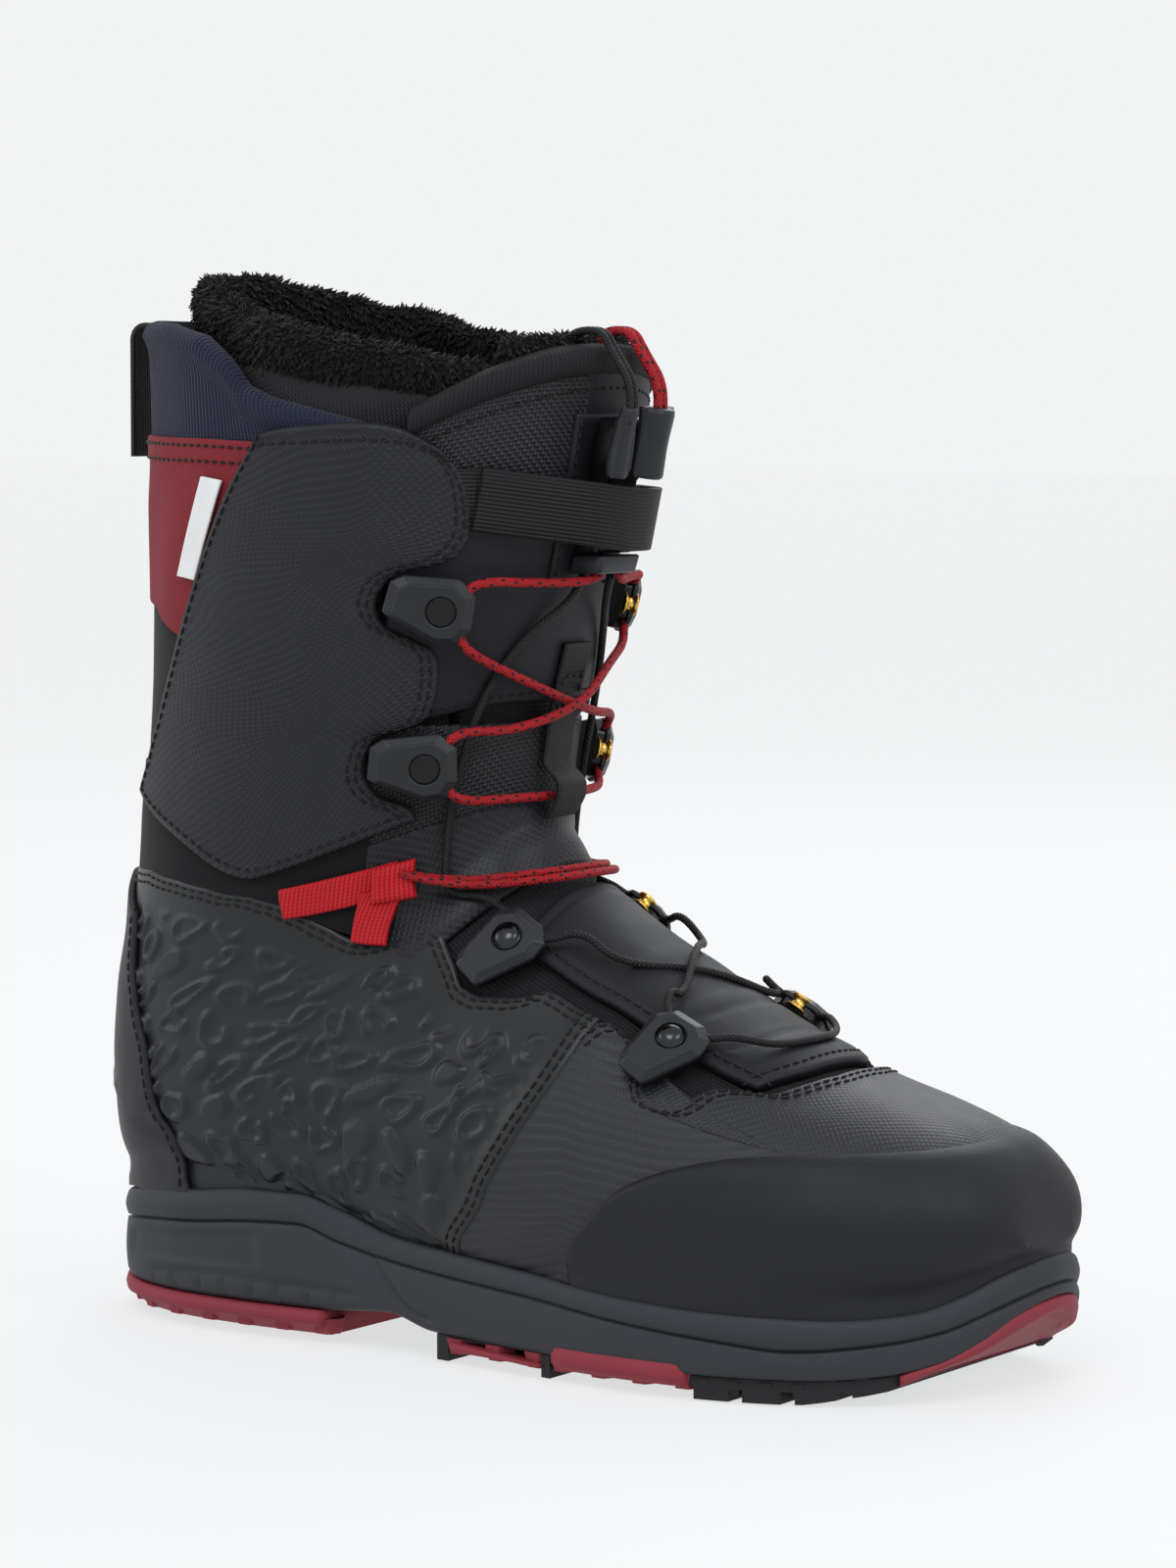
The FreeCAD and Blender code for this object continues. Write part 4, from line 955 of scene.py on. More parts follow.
def new_tree(name: str, inputs: Sequence[tuple[str, str, object]]
             ) -> tuple[bpy.types.GeometryNodeTree, bpy.types.Node, bpy.types.Node]:
    """An empty Geometry Nodes tree with its named inputs.

    Args:
        name: the tree's name.
        inputs: (name, socket type, default) of each input after the geometry.

    Returns:
        The tree, its input node and its output node.
    """
    tree = bpy.data.node_groups.new(name, "GeometryNodeTree")
    tree.interface.new_socket("Geometry", in_out="INPUT", socket_type="NodeSocketGeometry")
    for label, kind, default in inputs:
        socket = tree.interface.new_socket(label, in_out="INPUT", socket_type=kind)
        if default is not None:
            socket.default_value = default
    tree.interface.new_socket("Geometry", in_out="OUTPUT", socket_type="NodeSocketGeometry")
    return tree, add(tree, "NodeGroupInput"), add(tree, "NodeGroupOutput")


def set_along(tree: bpy.types.GeometryNodeTree, start: bpy.types.Node, shape: Socket) -> Socket:
    """Copies of a shape along the tree's input lines, turned to run with them.

    Args:
        tree: the node group.
        start: its input node, which has a Spacing.
        shape: the geometry to copy.

    Returns:
        The socket with the copies as real geometry.
    """
    lines = add(tree, "GeometryNodeMeshToCurve", inputs={"Mesh": start.outputs["Geometry"]})
    spaced = add(tree, "GeometryNodeResampleCurve", {"mode": "LENGTH"}, {
        "Curve": lines.outputs["Curve"], "Length": start.outputs["Spacing"]})
    tangent = add(tree, "GeometryNodeInputTangent")
    turned = add(tree, "FunctionNodeAlignRotationToVector", {"axis": "X"}, {
        "Vector": tangent.outputs[0]})
    placed = add(tree, "GeometryNodeInstanceOnPoints", inputs={
        "Points": spaced.outputs["Curve"], "Instance": shape,
        "Rotation": turned.outputs["Rotation"]})
    return add(tree, "GeometryNodeRealizeInstances", inputs={
        "Geometry": placed.outputs["Instances"]}).outputs["Geometry"]


class Stitching:
    """Machine stitches: short thread loops set along seam lines."""

    def __init__(self) -> None:
        """Starts with no seams."""
        self.seams: dict[str, list[np.ndarray]] = {}

    def sew(self, body: str, line: np.ndarray) -> None:
        """Notes a seam line, in millimetres, for the body it rides on."""
        self.seams.setdefault(body, []).append(line)

    @staticmethod
    def tree() -> bpy.types.GeometryNodeTree:
        """Stitches of one length along every line of the input mesh."""
        tree, start, end = new_tree("Stitches", [
            ("Spacing", "NodeSocketFloat", 0.0034), ("Length", "NodeSocketFloat", 0.0024),
            ("Thickness", "NodeSocketFloat", 0.0004), ("Thread", "NodeSocketMaterial", None)])
        loop = add(tree, "GeometryNodeMeshUVSphere", inputs={"Segments": 8, "Rings": 6,
                                                             "Radius": 0.5})
        size = add(tree, "ShaderNodeCombineXYZ", inputs={
            "X": start.outputs["Length"], "Y": start.outputs["Thickness"],
            "Z": start.outputs["Thickness"]})
        shaped = add(tree, "GeometryNodeTransform", inputs={
            "Geometry": loop.outputs["Mesh"], "Scale": size.outputs[0]})
        shade = add(tree, "GeometryNodeSetShadeSmooth", inputs={
            "Geometry": set_along(tree, start, shaped.outputs["Geometry"])})
        dressed = add(tree, "GeometryNodeSetMaterial", inputs={
            "Geometry": shade.outputs[0], "Material": start.outputs["Thread"]})
        tree.links.new(dressed.outputs["Geometry"], end.inputs["Geometry"])
        return tree

    def build(self) -> list[Piece]:
        """Makes one piece of stitches for each body that has seams."""
        tree = self.tree()
        made = []
        for body, lines in self.seams.items():
            piece = wires("stitches_" + body, lines)
            bake(piece, tree, {"Spacing": 3.3 * MM, "Length": 2.6 * MM, "Thickness": 0.75 * MM,
                               "Thread": THREAD.material()})
            made.append(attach(piece, body))
        return made


STITCHING = Stitching()


def keep_node(name: str, finish: Finish) -> None:
    """Gives a CAD node a finish."""
    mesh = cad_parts[name].data
    mesh.materials.clear()
    mesh.materials.append(finish.material())


def blob(x: np.ndarray, centre: float, half: float) -> np.ndarray:
    """A round bump of height 1 about a centre."""
    return np.clip(1 - ((x - centre) / half) ** 2, 0, 1) ** 1.5


def ease(x: np.ndarray) -> np.ndarray:
    """Smooth step from 0 to 1."""
    x = np.clip(x, 0, 1)
    return x * x * (3 - 2 * x)


# ------------------------------------------------------------------ sole unit


@dataclass
class SoleUnit:
    """Moulded midsole cup with its crease and grooves, and the rubber lugs under it."""

    around: int = 460
    upper_rows: int = 9
    lower_rows: int = 18
    groove_mm: float = 1.1

    def __post_init__(self) -> None:
        """Fits the plan and the side profiles."""
        self.plan = self.closed_plan()
        self.rim, self.crease = Monotone(RIM), Monotone(CREASE)
        self.under, self.tread = Monotone(UNDERSIDE), Monotone(TREAD)

    def closed_plan(self) -> np.ndarray:
        """Evenly spaced points of the smooth closed plan, heel first and lateral side next."""
        points = np.array(OUTLINE, float)
        count = len(points)
        chords = np.linalg.norm(np.roll(points, -1, 0) - points, axis=1)
        before, after = np.roll(chords, 1), chords
        rise = (np.roll(points, -1, 0) - points) / after[:, None]
        fall = (points - np.roll(points, 1, 0)) / before[:, None]
        slope = (rise * before[:, None] + fall * after[:, None]) / (before + after)[:, None]
        dense = []
        for k in range(count):
            n = (k + 1) % count
            for t in np.linspace(0, 1, 40, endpoint=False):
                dense.append((1 + 2 * t) * (1 - t) ** 2 * points[k]
                             + t * (1 - t) ** 2 * chords[k] * slope[k]
                             + t * t * (3 - 2 * t) * points[n]
                             + t * t * (t - 1) * chords[k] * slope[n])
        dense = np.array(dense + [dense[0]])
        run = lengths_along(dense)
        even = np.linspace(0, run[-1], self.around, endpoint=False)
        return np.stack([np.interp(even, run, dense[:, k]) for k in (0, 1)], -1)

    def outward_ways(self) -> np.ndarray:
        """Level outward direction at each point of the plan."""
        chord = np.roll(self.plan, -1, 0) - np.roll(self.plan, 1, 0)
        ways = np.stack([chord[:, 1], -chord[:, 0]], -1)
        return ways / np.linalg.norm(ways, axis=1, keepdims=True)

    def wall(self, x: np.ndarray, z: np.ndarray, share: float, upper: bool) -> np.ndarray:
        """How far the moulded wall stands out from the plan.

        Args:
            x: place along the boot.
            z: height.
            share: 0 at the row band's bottom, 1 at its top.
            upper: whether the row lies in the band above the crease.

        Returns:
            Millimetres outwards.
        """
        if upper:
            return 0.5 + 0.7 * math.sin(math.pi * min(1.0, share * 1.15)) - 0.5 * (share > 0.93)
        low, crease = self.under(x), self.crease(x)
        bulge = 0.5 + 0.6 * np.sin(math.pi * (z - low) / np.maximum(crease - low, 1))
        grid_zone = ease((x + 116) / 6) * ease((-38 - x) / 6)
        line = 14.2 + 1.2 * np.sin((x + 113) / 75 * math.pi)
        across = np.exp(-((z - line) / 0.8) ** 2)
        ribs = np.exp(-((np.mod(x + 0.35 * z, 9.5) - 4.75) / 0.75) ** 2) * ease((line - z) / 1.0)
        panel_zone = ease((x + 128) / 5) * ease((-72 - x) / 4)
        recess = panel_zone * ease((z - line - 2.2) / 1.2) * ease((crease - 2.6 - z) / 1.2)
        sweep = 36.5 - 26 * ease((x + 50) / 34)
        curl = np.exp(-((z - sweep) / 1.1) ** 2) * ease((x + 52) / 4) * ease((-10 - x) / 6)
        return (bulge - self.groove_mm * grid_zone * np.maximum(across, ribs)
                - 0.9 * recess - 1.2 * curl)

    def midsole(self) -> Piece:
        """The cup: a wall round the plan, a lip that turns in under the upper, and a floor."""
        ways = self.outward_ways()
        x = self.plan[:, 0]
        crease, rim, low = self.crease(x), self.rim(x), self.under(x)
        rows = []
        for inset, lift in ((26.0, 0.6), (8.0, 0.3), (1.6, 0.0), (0.5, 0.35)):
            rows.append(self.ring(ways, -inset, low + lift))
        for k in range(1, self.lower_rows + 1):
            share = k / self.lower_rows
            z = low + (crease - 0.5 - low) * share
            push = self.wall(x, z, share, False)
            rows.append(self.ring(ways, push * min(1.0, k / 2), z + 0.2))
        rows.append(self.ring(ways, -0.9, crease - 0.1))
        rows.append(self.ring(ways, -0.9, crease + 0.35))
        for k in range(self.upper_rows + 1):
            share = k / self.upper_rows
            z = crease + 0.7 + (rim - crease - 0.7) * share
            rows.append(self.ring(ways, self.wall(x, z, share, True), z))
        for inset, drop in ((0.5, -0.35), (1.4, -0.3), (3.0, 0.6), (6.0, 4.0)):
            rows.append(self.ring(ways, -inset, rim - drop))
        points = np.concatenate(rows)
        faces = ring_faces(len(rows), self.around)
        return outward(make_piece("midsole_cup", points, faces, MIDSOLE))

    def ring(self, ways: np.ndarray, push: np.ndarray | float, z: np.ndarray) -> np.ndarray:
        """One level row of points round the plan."""
        push = np.broadcast_to(push, (self.around,))
        level = self.plan + ways * push[:, None]
        return np.concatenate([level, np.reshape(z, (-1, 1))], 1)

    def meet(self, points: np.ndarray, inset: float, band: float = 15.0) -> np.ndarray:
        """Draws the low part of the upper out to the cup, so that no gap shows at the rim.

        Args:
            points: (n, 3) points of the upper.
            inset: how far inside the plan they end up.
            band: height over which the draw fades.

        Returns:
            The moved points.
        """
        share = 1 - ease((points[:, 2] - self.rim(points[:, 0]) - 2) / band)
        chosen = np.nonzero(share > 0)[0]
        level = points[chosen, :2]
        ways = self.outward_ways()
        gaps = ((level[:, None] - self.plan[None]) ** 2).sum(-1)
        nearest = gaps.argmin(1)
        inside = -((level - self.plan[nearest]) * ways[nearest]).sum(-1)
        move = share[chosen] * np.maximum(inside - inset, 0) * (1 - ease((inside - 26) / 12))
        moved = points.copy()
        moved[chosen, :2] += ways[nearest] * move[:, None]
        return moved

    def stretch(self, first: float, last: float, side: float) -> np.ndarray:
        """Numbers of the plan's points between two x on one side, in order."""
        chosen = np.array([k for k in range(self.around)
                           if first <= self.plan[k, 0] <= last and side * self.plan[k, 1] > 0])
        if np.any(np.diff(chosen) > 1):
            cut = int(np.argmax(np.diff(chosen))) + 1
            chosen = np.concatenate([chosen[cut:], chosen[:cut]])
        return chosen

    def pad(self, name: str, first: float, last: float, side: float,
            top: Callable[[np.ndarray], np.ndarray], proud: float) -> Piece:
        """A rubber pad that wraps up the wall, with a rounded edge and a floor.

        Args:
            name: the piece's name.
            first: x where it starts.
            last: x where it ends.
            side: 1 medial, -1 lateral.
            top: height of its top edge by x.
            proud: how far it stands out of the wall.

        Returns:
            The piece.
        """
        chosen = self.stretch(first, last, side)
        ways = self.outward_ways()[chosen]
        plan = self.plan[chosen]
        x = plan[:, 0]
        high = top(x)
        low = np.maximum(self.tread(x), 0) + 2.6
        low = np.minimum(low, high - 1.5)
        profile = [(-14, 0.0), (-2.0, 0.0), (-0.6, 0.05), (proud, 0.3), (proud + 0.25, 0.6),
                   (proud, 0.92), (proud - 0.5, 1.0), (-2.5, 1.0), (-14, 1.0)]
        count = len(chosen)
        rows = []
        ends = np.minimum(np.arange(count), np.arange(count)[::-1]) / 3
        for out, share in profile:
            push = out - np.where(out > -1, 1.2 * (1 - np.clip(ends, 0, 1)) ** 2, 0)
            z = low + (high - low) * share
            rows.append(np.concatenate([plan + ways * push[:, None], z[:, None]], 1))
        points = np.concatenate(rows)
        faces = grid_faces(len(rows), count)
        faces.append(tuple(k * count for k in range(len(rows))))
        faces.append(tuple(k * count + count - 1 for k in reversed(range(len(rows)))))
        faces += [(k, k + 1, (len(rows) - 1) * count + k + 1, (len(rows) - 1) * count + k)
                  for k in range(count - 1)]
        return outward(make_piece(name, points, faces, RED_RUBBER))

    def lug_line(self, first: float, last: float, side: float, inset: float) -> np.ndarray:
        """A line along the tread's edge on which lugs stand."""
        chosen = self.stretch(first, last, side)
        plan = self.plan[chosen] - self.outward_ways()[chosen] * inset
        z = self.tread(plan[:, 0])
        return np.concatenate([plan, z[:, None]], 1)

    @staticmethod
    def lug_tree() -> bpy.types.GeometryNodeTree:
        """Blocks with bevelled feet, set along the input lines."""
        tree, start, end = new_tree("Lugs", [
            ("Spacing", "NodeSocketFloat", 0.012), ("Size", "NodeSocketVector", None),
            ("Rubber", "NodeSocketMaterial", None)])
        foot = add(tree, "GeometryNodeMeshCone", {"fill_type": "NGON"}, {
            "Vertices": 6, "Radius Top": 0.56, "Radius Bottom": 0.44, "Depth": 1.0})
        shaped = add(tree, "GeometryNodeTransform", inputs={
            "Geometry": foot.outputs["Mesh"], "Scale": start.outputs["Size"]})
        dressed = add(tree, "GeometryNodeSetMaterial", inputs={
            "Geometry": set_along(tree, start, shaped.outputs["Geometry"]),
            "Material": start.outputs["Rubber"]})
        tree.links.new(dressed.outputs["Geometry"], end.inputs["Geometry"])
        return tree

    def lugs(self, name: str, lines: Sequence[np.ndarray], spacing: float,
             size: tuple[float, float, float], finish: Finish) -> Piece:
        """Lugs along lines, standing on the ground."""
        piece = wires(name, lines, size[2] / 2)
        bake(piece, self.lug_tree(), {"Spacing": spacing * MM, "Size": [v * MM for v in size],
                                      "Rubber": finish.material()})
        return piece

    def build(self) -> list[Piece]:
        """Makes the sole unit and hides the nodes it stands for."""
        cup = self.midsole()
        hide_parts("midsole")
        pads = [
            self.pad("side_pad_lateral", 27, 71, -1, lambda x: 9.0 + 0 * x, 1.3),
            self.pad("side_pad_medial", 27, 71, 1, lambda x: 9.0 + 0 * x, 1.3),
            self.pad("arch_pad_lateral", -9, 24, -1, lambda x: 5.6 - 0.06 * (x + 9), 1.0),
            self.pad("arch_pad_medial", -9, 24, 1, lambda x: 5.6 - 0.06 * (x + 9), 1.0),
        ]
        heel = self.heel_pad()
        toe_pad = self.toe_pad()
        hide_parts("outsole_side_pads")
        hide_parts("heel_tread")
        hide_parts("toe_tread")
        red = [self.lug_line(-146, -52, -1, 5.2), self.lug_line(-146, -52, 1, 5.2),
               self.lug_line(-125, -56, -1, 20), self.lug_line(-125, -56, 1, 20)]
        red += [self.lug_line(29, 70, s, 5.0) for s in (-1, 1)]
        red += [self.lug_line(-7, 22, s, 4.6) for s in (-1, 1)]
        lugs = [
            self.lugs("outsole_lugs_red", red, 12.0, (8.6, 9.0, 4.2), RED_RUBBER),
            self.lugs("outsole_lugs_black",
                      [self.lug_line(74, 122, s, 4.5) for s in (-1, 1)], 7.5,
                      (5.8, 8.0, 3.6), BLACK_RUBBER),
        ]
        for name, finish in (("outsole_base", BLACK_RUBBER), ("shank", GREY_NYLON),
                             ("lasting_board", BOARD), ("toe_puff", STIFFENER),
                             ("heel_stiffener", STIFFENER)):
            keep_node(name, finish)
        made = [cup, heel, toe_pad, *pads, *lugs]
        for piece in made:
            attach(piece, "foot")
        return made

    def plate(self, name: str, chosen: np.ndarray, profile: Sequence[tuple[float, float]],
              low: np.ndarray, high: np.ndarray, finish: Finish) -> Piece:
        """A slab under the boot between its edge and its own centre line.

        Args:
            name: the piece's name.
            chosen: the plan's points along its edge, in order.
            profile: (outward push, share of the height) rows from the bottom up.
            low: heights of its bottom at those points.
            high: heights of its top.
            finish: the surface finish.

        Returns:
            The piece.
        """
        plan, ways = self.plan[chosen], self.outward_ways()[chosen]
        count = len(chosen)
        rows = [np.concatenate([plan + ways * out, (low + (high - low) * share)[:, None]], 1)
                for out, share in profile]
        points = np.concatenate(rows)
        faces = grid_faces(len(rows), count)
        for k in range(len(rows) - 1):
            first, last = k * count, k * count + count - 1
            faces.append((last, first, first + count, last + count))
        faces.append(tuple(range(count))[::-1])
        faces.append(tuple(range((len(rows) - 1) * count, len(rows) * count)))
        return outward(make_piece(name, points, faces, finish))

    def heel_pad(self) -> Piece:
        """Red heel tread: a band with a lip over the inset lugs."""
        chosen = np.concatenate([self.stretch(-150, -51, 1), self.stretch(-150, -51, -1)])
        ordered = sorted(chosen, key=lambda k: (k + self.around // 2) % self.around)
        chosen = np.array(ordered)
        x = self.plan[chosen][:, 0]
        profile = [(-4.5, 0.0), (-3.4, 0.05), (-0.6, 0.42), (0.9, 0.5), (1.2, 0.72), (0.7, 0.96),
                   (-1.5, 1.0)]
        return self.plate("heel_pad", chosen, profile, self.tread(x) + 1.6,
                          np.full(len(x), 8.8), RED_RUBBER)

    def toe_pad(self) -> Piece:
        """Red toe tread that rises with the sole."""
        chosen = np.array([k for k in range(self.around) if self.plan[k, 0] >= 121])
        x = self.plan[chosen][:, 0]
        profile = [(-3.5, 0.0), (-0.8, 0.08), (0.5, 0.3), (0.9, 0.65), (0.5, 0.95), (-2.0, 1.0)]
        high = Monotone([(118, 6.0), (122, 8.0), (129, 11), (135, 16), (139, 21), (146, 26)])(x)
        low = self.tread(x)
        return self.plate("toe_pad", chosen, profile, low, np.maximum(high, low + 2), RED_RUBBER)


SOLE = SoleUnit()

# ------------------------------------------------------------------ lower upper


class Cells:
    """A field of irregular raised rings, like an animal-spot emboss."""

    def __init__(self, pitch: float, seed: int) -> None:
        """Places the cells.

        Args:
            pitch: mean spacing in millimetres.
            seed: number that fixes their places and shapes.
        """
        self.pitch = pitch
        self.random = np.random.default_rng(seed)
        self.shift = self.random.uniform(-0.17, 0.17, (64, 64, 2))
        self.radius = self.random.uniform(0.36, 0.52, (64, 64))
        self.phase = self.random.uniform(0, 2 * math.pi, (64, 64, 3))
        self.fill = self.random.uniform(0, 1, (64, 64))

    def height(self, lay: np.ndarray) -> np.ndarray:
        """Height from 0 to 1 at points of a lay-out in millimetres."""
        x = lay[..., 0] / self.pitch + 20
        y = lay[..., 1] / self.pitch + 20
        x, y = x + 0.18 * np.sin(2.3 * y + 1.1), y + 0.18 * np.sin(2.1 * x)
        best = np.full(x.shape, 9.0)
        height = np.zeros(x.shape)
        for di in (-1, 0, 1):
            for dj in (-1, 0, 1):
                i, j = np.floor(x).astype(int) + di, np.floor(y).astype(int) + dj
                i, j = i % 64, j % 64
                cx = np.floor(x) + di + 0.5 + self.shift[i, j, 0]
                cy = np.floor(y) + dj + 0.5 + self.shift[i, j, 1]
                dx, dy = x - cx, y - cy
                angle = np.arctan2(dy, dx)
                phase = self.phase[i, j]
                wobble = (1 + 0.17 * np.sin(2 * angle + phase[..., 0])
                          + 0.1 * np.sin(3 * angle + phase[..., 1]))
                r = np.hypot(dx, dy) / (self.radius[i, j] * wobble)
                hollow = 0.95 * (self.fill[i, j] > 0.25) * ease((0.66 - r) / 0.3)
                gap = ease((np.cos(angle - phase[..., 2]) - 0.72) / 0.2)
                gap = gap * (self.fill[i, j] > 0.62) * ease((r - 0.25) / 0.25)
                ring = ease((1.0 - r) / 0.26) * (1 - hollow) * (1 - gap)
                closer = r < best
                height = np.where(closer, ring, height)
                best = np.where(closer, r, best)
        return height


@dataclass
class LowerUpper:
    """Quarters, vamp, toe cap, heel stay and instep pad of the shell over the foot."""

    emboss_mm: float = 1.2
    emboss_pitch: float = 12.5
    cap_x: float = 66.0
    cap_y: float = 5.0
    cap_columns: int = 190

    def __post_init__(self) -> None:
        """Fixes the emboss."""
        self.cells = Cells(self.emboss_pitch, 11)

    def quarter_relief(self, lay: np.ndarray, sides: np.ndarray) -> np.ndarray:
        """Animal-spot emboss that fades towards the seams."""
        fade = ease((sides[1] - 9) / 7) * ease((sides[3] - 11) / 8) * ease((sides[0] - 3) / 5)
        fade = fade * ease((sides[2] - 6) / 8)
        wide = 0.1 * np.sin(lay[..., 0] / 17) * np.sin(lay[..., 1] / 13)
        lap = 0.55 * ease((9 - sides[2]) / 5)
        return fade * (self.emboss_mm * self.cells.height(lay) + wide - 0.1) + lap

    def quarter(self, name: str, side: int) -> tuple[Piece, Patch]:
        """One quarter panel; side is 1 lateral, -1 medial."""
        spots = FORM.spots
        sole_edge = [(fan(14), FEATHER), (fan(32), FEATHER), (fan(41), 2.5), (fan(47), 2.8),
                     (fan(48.5), 3.10)]
        front = [(fan(14), FEATHER)] + spots((-4, 33), (6.5, 48), (16.5, 64), (25, 78),
                                             (30.5, 92.5))
        top = spots((30.5, 92.5), (14, 100), (9, 97), (-9, 97), (-15, 106), (-20, 114), (-29, 111),
                    (-38, 108.5), (-52, 114), (-66, 120), (-92, 123), (-118, 126))
        top = top + [(FORM.spot(-118, 126)[0], 3.10)]
        rear = [sole_edge[-1], (fan(66), 3.10), top[-1]]
        edges = [sole_edge, soften(top, 1), soften(front), rear]
        if side < 0:
            edges = [medial(e) for e in edges]
        patch = Patch(name, edges[0], edges[1], EMBOSSED_LEATHER, left=edges[2], right=edges[3],
                      pitch=0.72, relief=self.quarter_relief, seat=SOLE.meet)
        return patch.build(), patch

    def vamp(self) -> tuple[Piece, Patch]:
        """Vamp over the toe, with its throat cut round the instep pad and the low hooks."""
        spots = FORM.spots
        rear = [(fan(17), FEATHER)] + spots((-9, 34), (1.5, 49), (11.5, 65), (20, 79), (28.5, 92.5))
        rear = rear + spots((36, 91), (41, 82), (44, 73), (58, 70.5), (63, 77), (72, 76.5))
        rear = rear + [(toe(79), 0.58), (toe(84), 0.38), (toe(87), 0.15)]
        rear = soften(rear, 2)
        rear = rear + medial(rear)[::-1]
        tip = [(0.035, FEATHER), (0.035, 1.2), (0.035, 0.0), (0.035, -1.2), (0.035, -FEATHER)]
        patch = Patch("vamp_skin", tip, rear, HEX_LEATHER, pitch=1.7, seat=SOLE.meet)
        return patch.build(), patch

    def inside(self, x: np.ndarray, y: np.ndarray, z: np.ndarray) -> np.ndarray:
        """Whether points of the toe box lie inside the form."""
        front, back, lateral, medial_half, wide, nose, heel = [c(toe(x)) for c in FORM.curves]
        share = (FAN_Z - z - front) / (back - front)
        upper = 1 - np.abs((wide - share) / wide) ** nose
        lower = 1 - np.abs((share - wide) / (1 - wide)) ** heel
        fill = np.where(share < wide, upper, lower)
        power = 1 / np.where(share < wide, nose, heel)
        half = (lateral + medial_half) / 2 * np.clip(fill, 0, 1) ** power
        within = (share > 0) & (share < 1) & (toe(x) > 0) & (toe(x) <= 1)
        return within & (np.abs(y - (medial_half - lateral) / 2) < half)

    def toe_cap(self) -> Piece:
        """Moulded rubber band round the toe, thin at its top edge."""
        turns = np.linspace(-2.08, 2.08, self.cap_columns)
        low = Monotone([(-2.35, 23), (-1.6, 18.5), (-1.0, 18.5), (-0.7, 19.5), (-0.35, 24),
                        (0, 29.5), (0.35, 24), (0.7, 19.5), (1.0, 18.5), (1.6, 18.5),
                        (2.35, 23)])(turns)
        high = Monotone([(-2.1, 31), (-2.02, 40), (-1.85, 52), (-1.6, 58), (-1.3, 61), (-0.9, 62.5),
                         (0, 64), (0.9, 62.5), (1.3, 61), (1.6, 58), (1.85, 52), (2.02, 40),
                         (2.1, 31)])(turns)
        shares = np.concatenate([np.linspace(0, 0.9, 26), [0.93, 0.955, 0.975, 0.99, 1.0]])
        z = low[:, None] + (high - low)[:, None] * shares
        angle = np.broadcast_to(turns[:, None], z.shape)
        near, far = np.full(z.shape, 15.0), np.full(z.shape, 92.0)
        for _ in range(26):
            middle = (near + far) / 2
            x, y = self.cap_x + np.cos(angle) * middle, self.cap_y + np.sin(angle) * middle
            hit = self.inside(x, y, z)
            near, far = np.where(hit, middle, near), np.where(hit, far, middle)
        number = np.arange(self.cap_columns)
        border = np.minimum((1 - shares)[None, :] * (high - low)[:, None],
                            np.minimum(number, number[::-1])[:, None] * 1.2)
        thick = 1.9 - 1.5 * (1 - np.clip(border / 2.2, 0, 1)) ** 2
        field_z = (z - 47) / 8.5
        field_t = (angle + 0.95) / 0.62
        sunk = ease((1.0 - field_t ** 4 - field_z ** 4) / 0.25)
        thick = thick - 0.28 * sunk
        outer = near + 0.5 + thick
        inner = near - 1.5
        points = []
        for reach in (outer, inner):
            points.append(np.stack([self.cap_x + np.cos(angle) * reach,
                                    self.cap_y + np.sin(angle) * reach, z], -1).reshape(-1, 3))
        points = [SOLE.meet(points[0], 0.9, 17.0), SOLE.meet(points[1], 3.4, 17.0)]
        return outward(make_piece("toe_cap_skin", np.concatenate(points), shell_faces(*z.shape),
                                  TOE_RUBBER))

    def stay_relief(self, lay: np.ndarray, sides: np.ndarray) -> np.ndarray:
        """Sweeping moulded steps of the heel stay."""
        height = sides[0]
        step = ease((height - 22 - 10 * np.cos(lay[..., 0] / 40)) / 2)
        blade = ease((height - 48 + 0.5 * np.abs(lay[..., 0])) / 2.5)
        return 0.7 * step - 0.6 * blade

    def heel_stay(self) -> tuple[Piece, Patch]:
        """Smooth moulded stay round the back of the heel."""
        spots = FORM.spots
        low = round_back([FORM.spot(-97, 37), FORM.spot(-120, 36.5), (fan(52), 3.0)])
        high = round_back([FORM.spot(-119, 112), (fan(77), 2.75), (fan(77.5), 3.0)])
        side = spots((-97, 37), (-100, 54), (-109, 74), (-116, 92), (-119, 112))
        far = [(s, 2 * math.pi - a) for s, a in side]
        patch = Patch("heel_stay_skin", low, high, HEEL_RUBBER, (0.2, 2.2), soften(side),
                      soften(far), 1.6, relief=self.stay_relief, seat=SOLE.meet)
        return patch.build(), patch

    def instep_pad(self) -> tuple[Piece, Patch]:
        """Padded instep piece with a bound edge, puffed between its seams."""
        low = [(toe(75), 0.56), (toe(82), 0.27), (toe(83), 0.0), (toe(82), -0.27),
               (toe(75), -0.56)]
        high = [(fan(30), 0.62), (fan(33), 0.3), (fan(34), 0.0), (fan(33), -0.3), (fan(30), -0.62)]

        def puff(lay: np.ndarray, sides: np.ndarray) -> np.ndarray:
            border = sides.min(0)
            rib = ease((38 - sides[0]) / 1.0)
            pad = 0.9 * ease(border / 7) - 0.5 * np.exp(-((border - 3.4) / 0.5) ** 2)
            channel = sum(np.exp(-((sides[0] - z) / 0.9) ** 2) for z in (16, 31))
            return pad * (0.6 + 0.4 * rib) - 0.5 * channel * ease((border - 5) / 3)

        patch = Patch("instep_pad_skin", soften(low), soften(high), SMOOTH_LEATHER, (-2.2, 0.8),
                      pitch=1.1, relief=puff)
        return patch.build(), patch

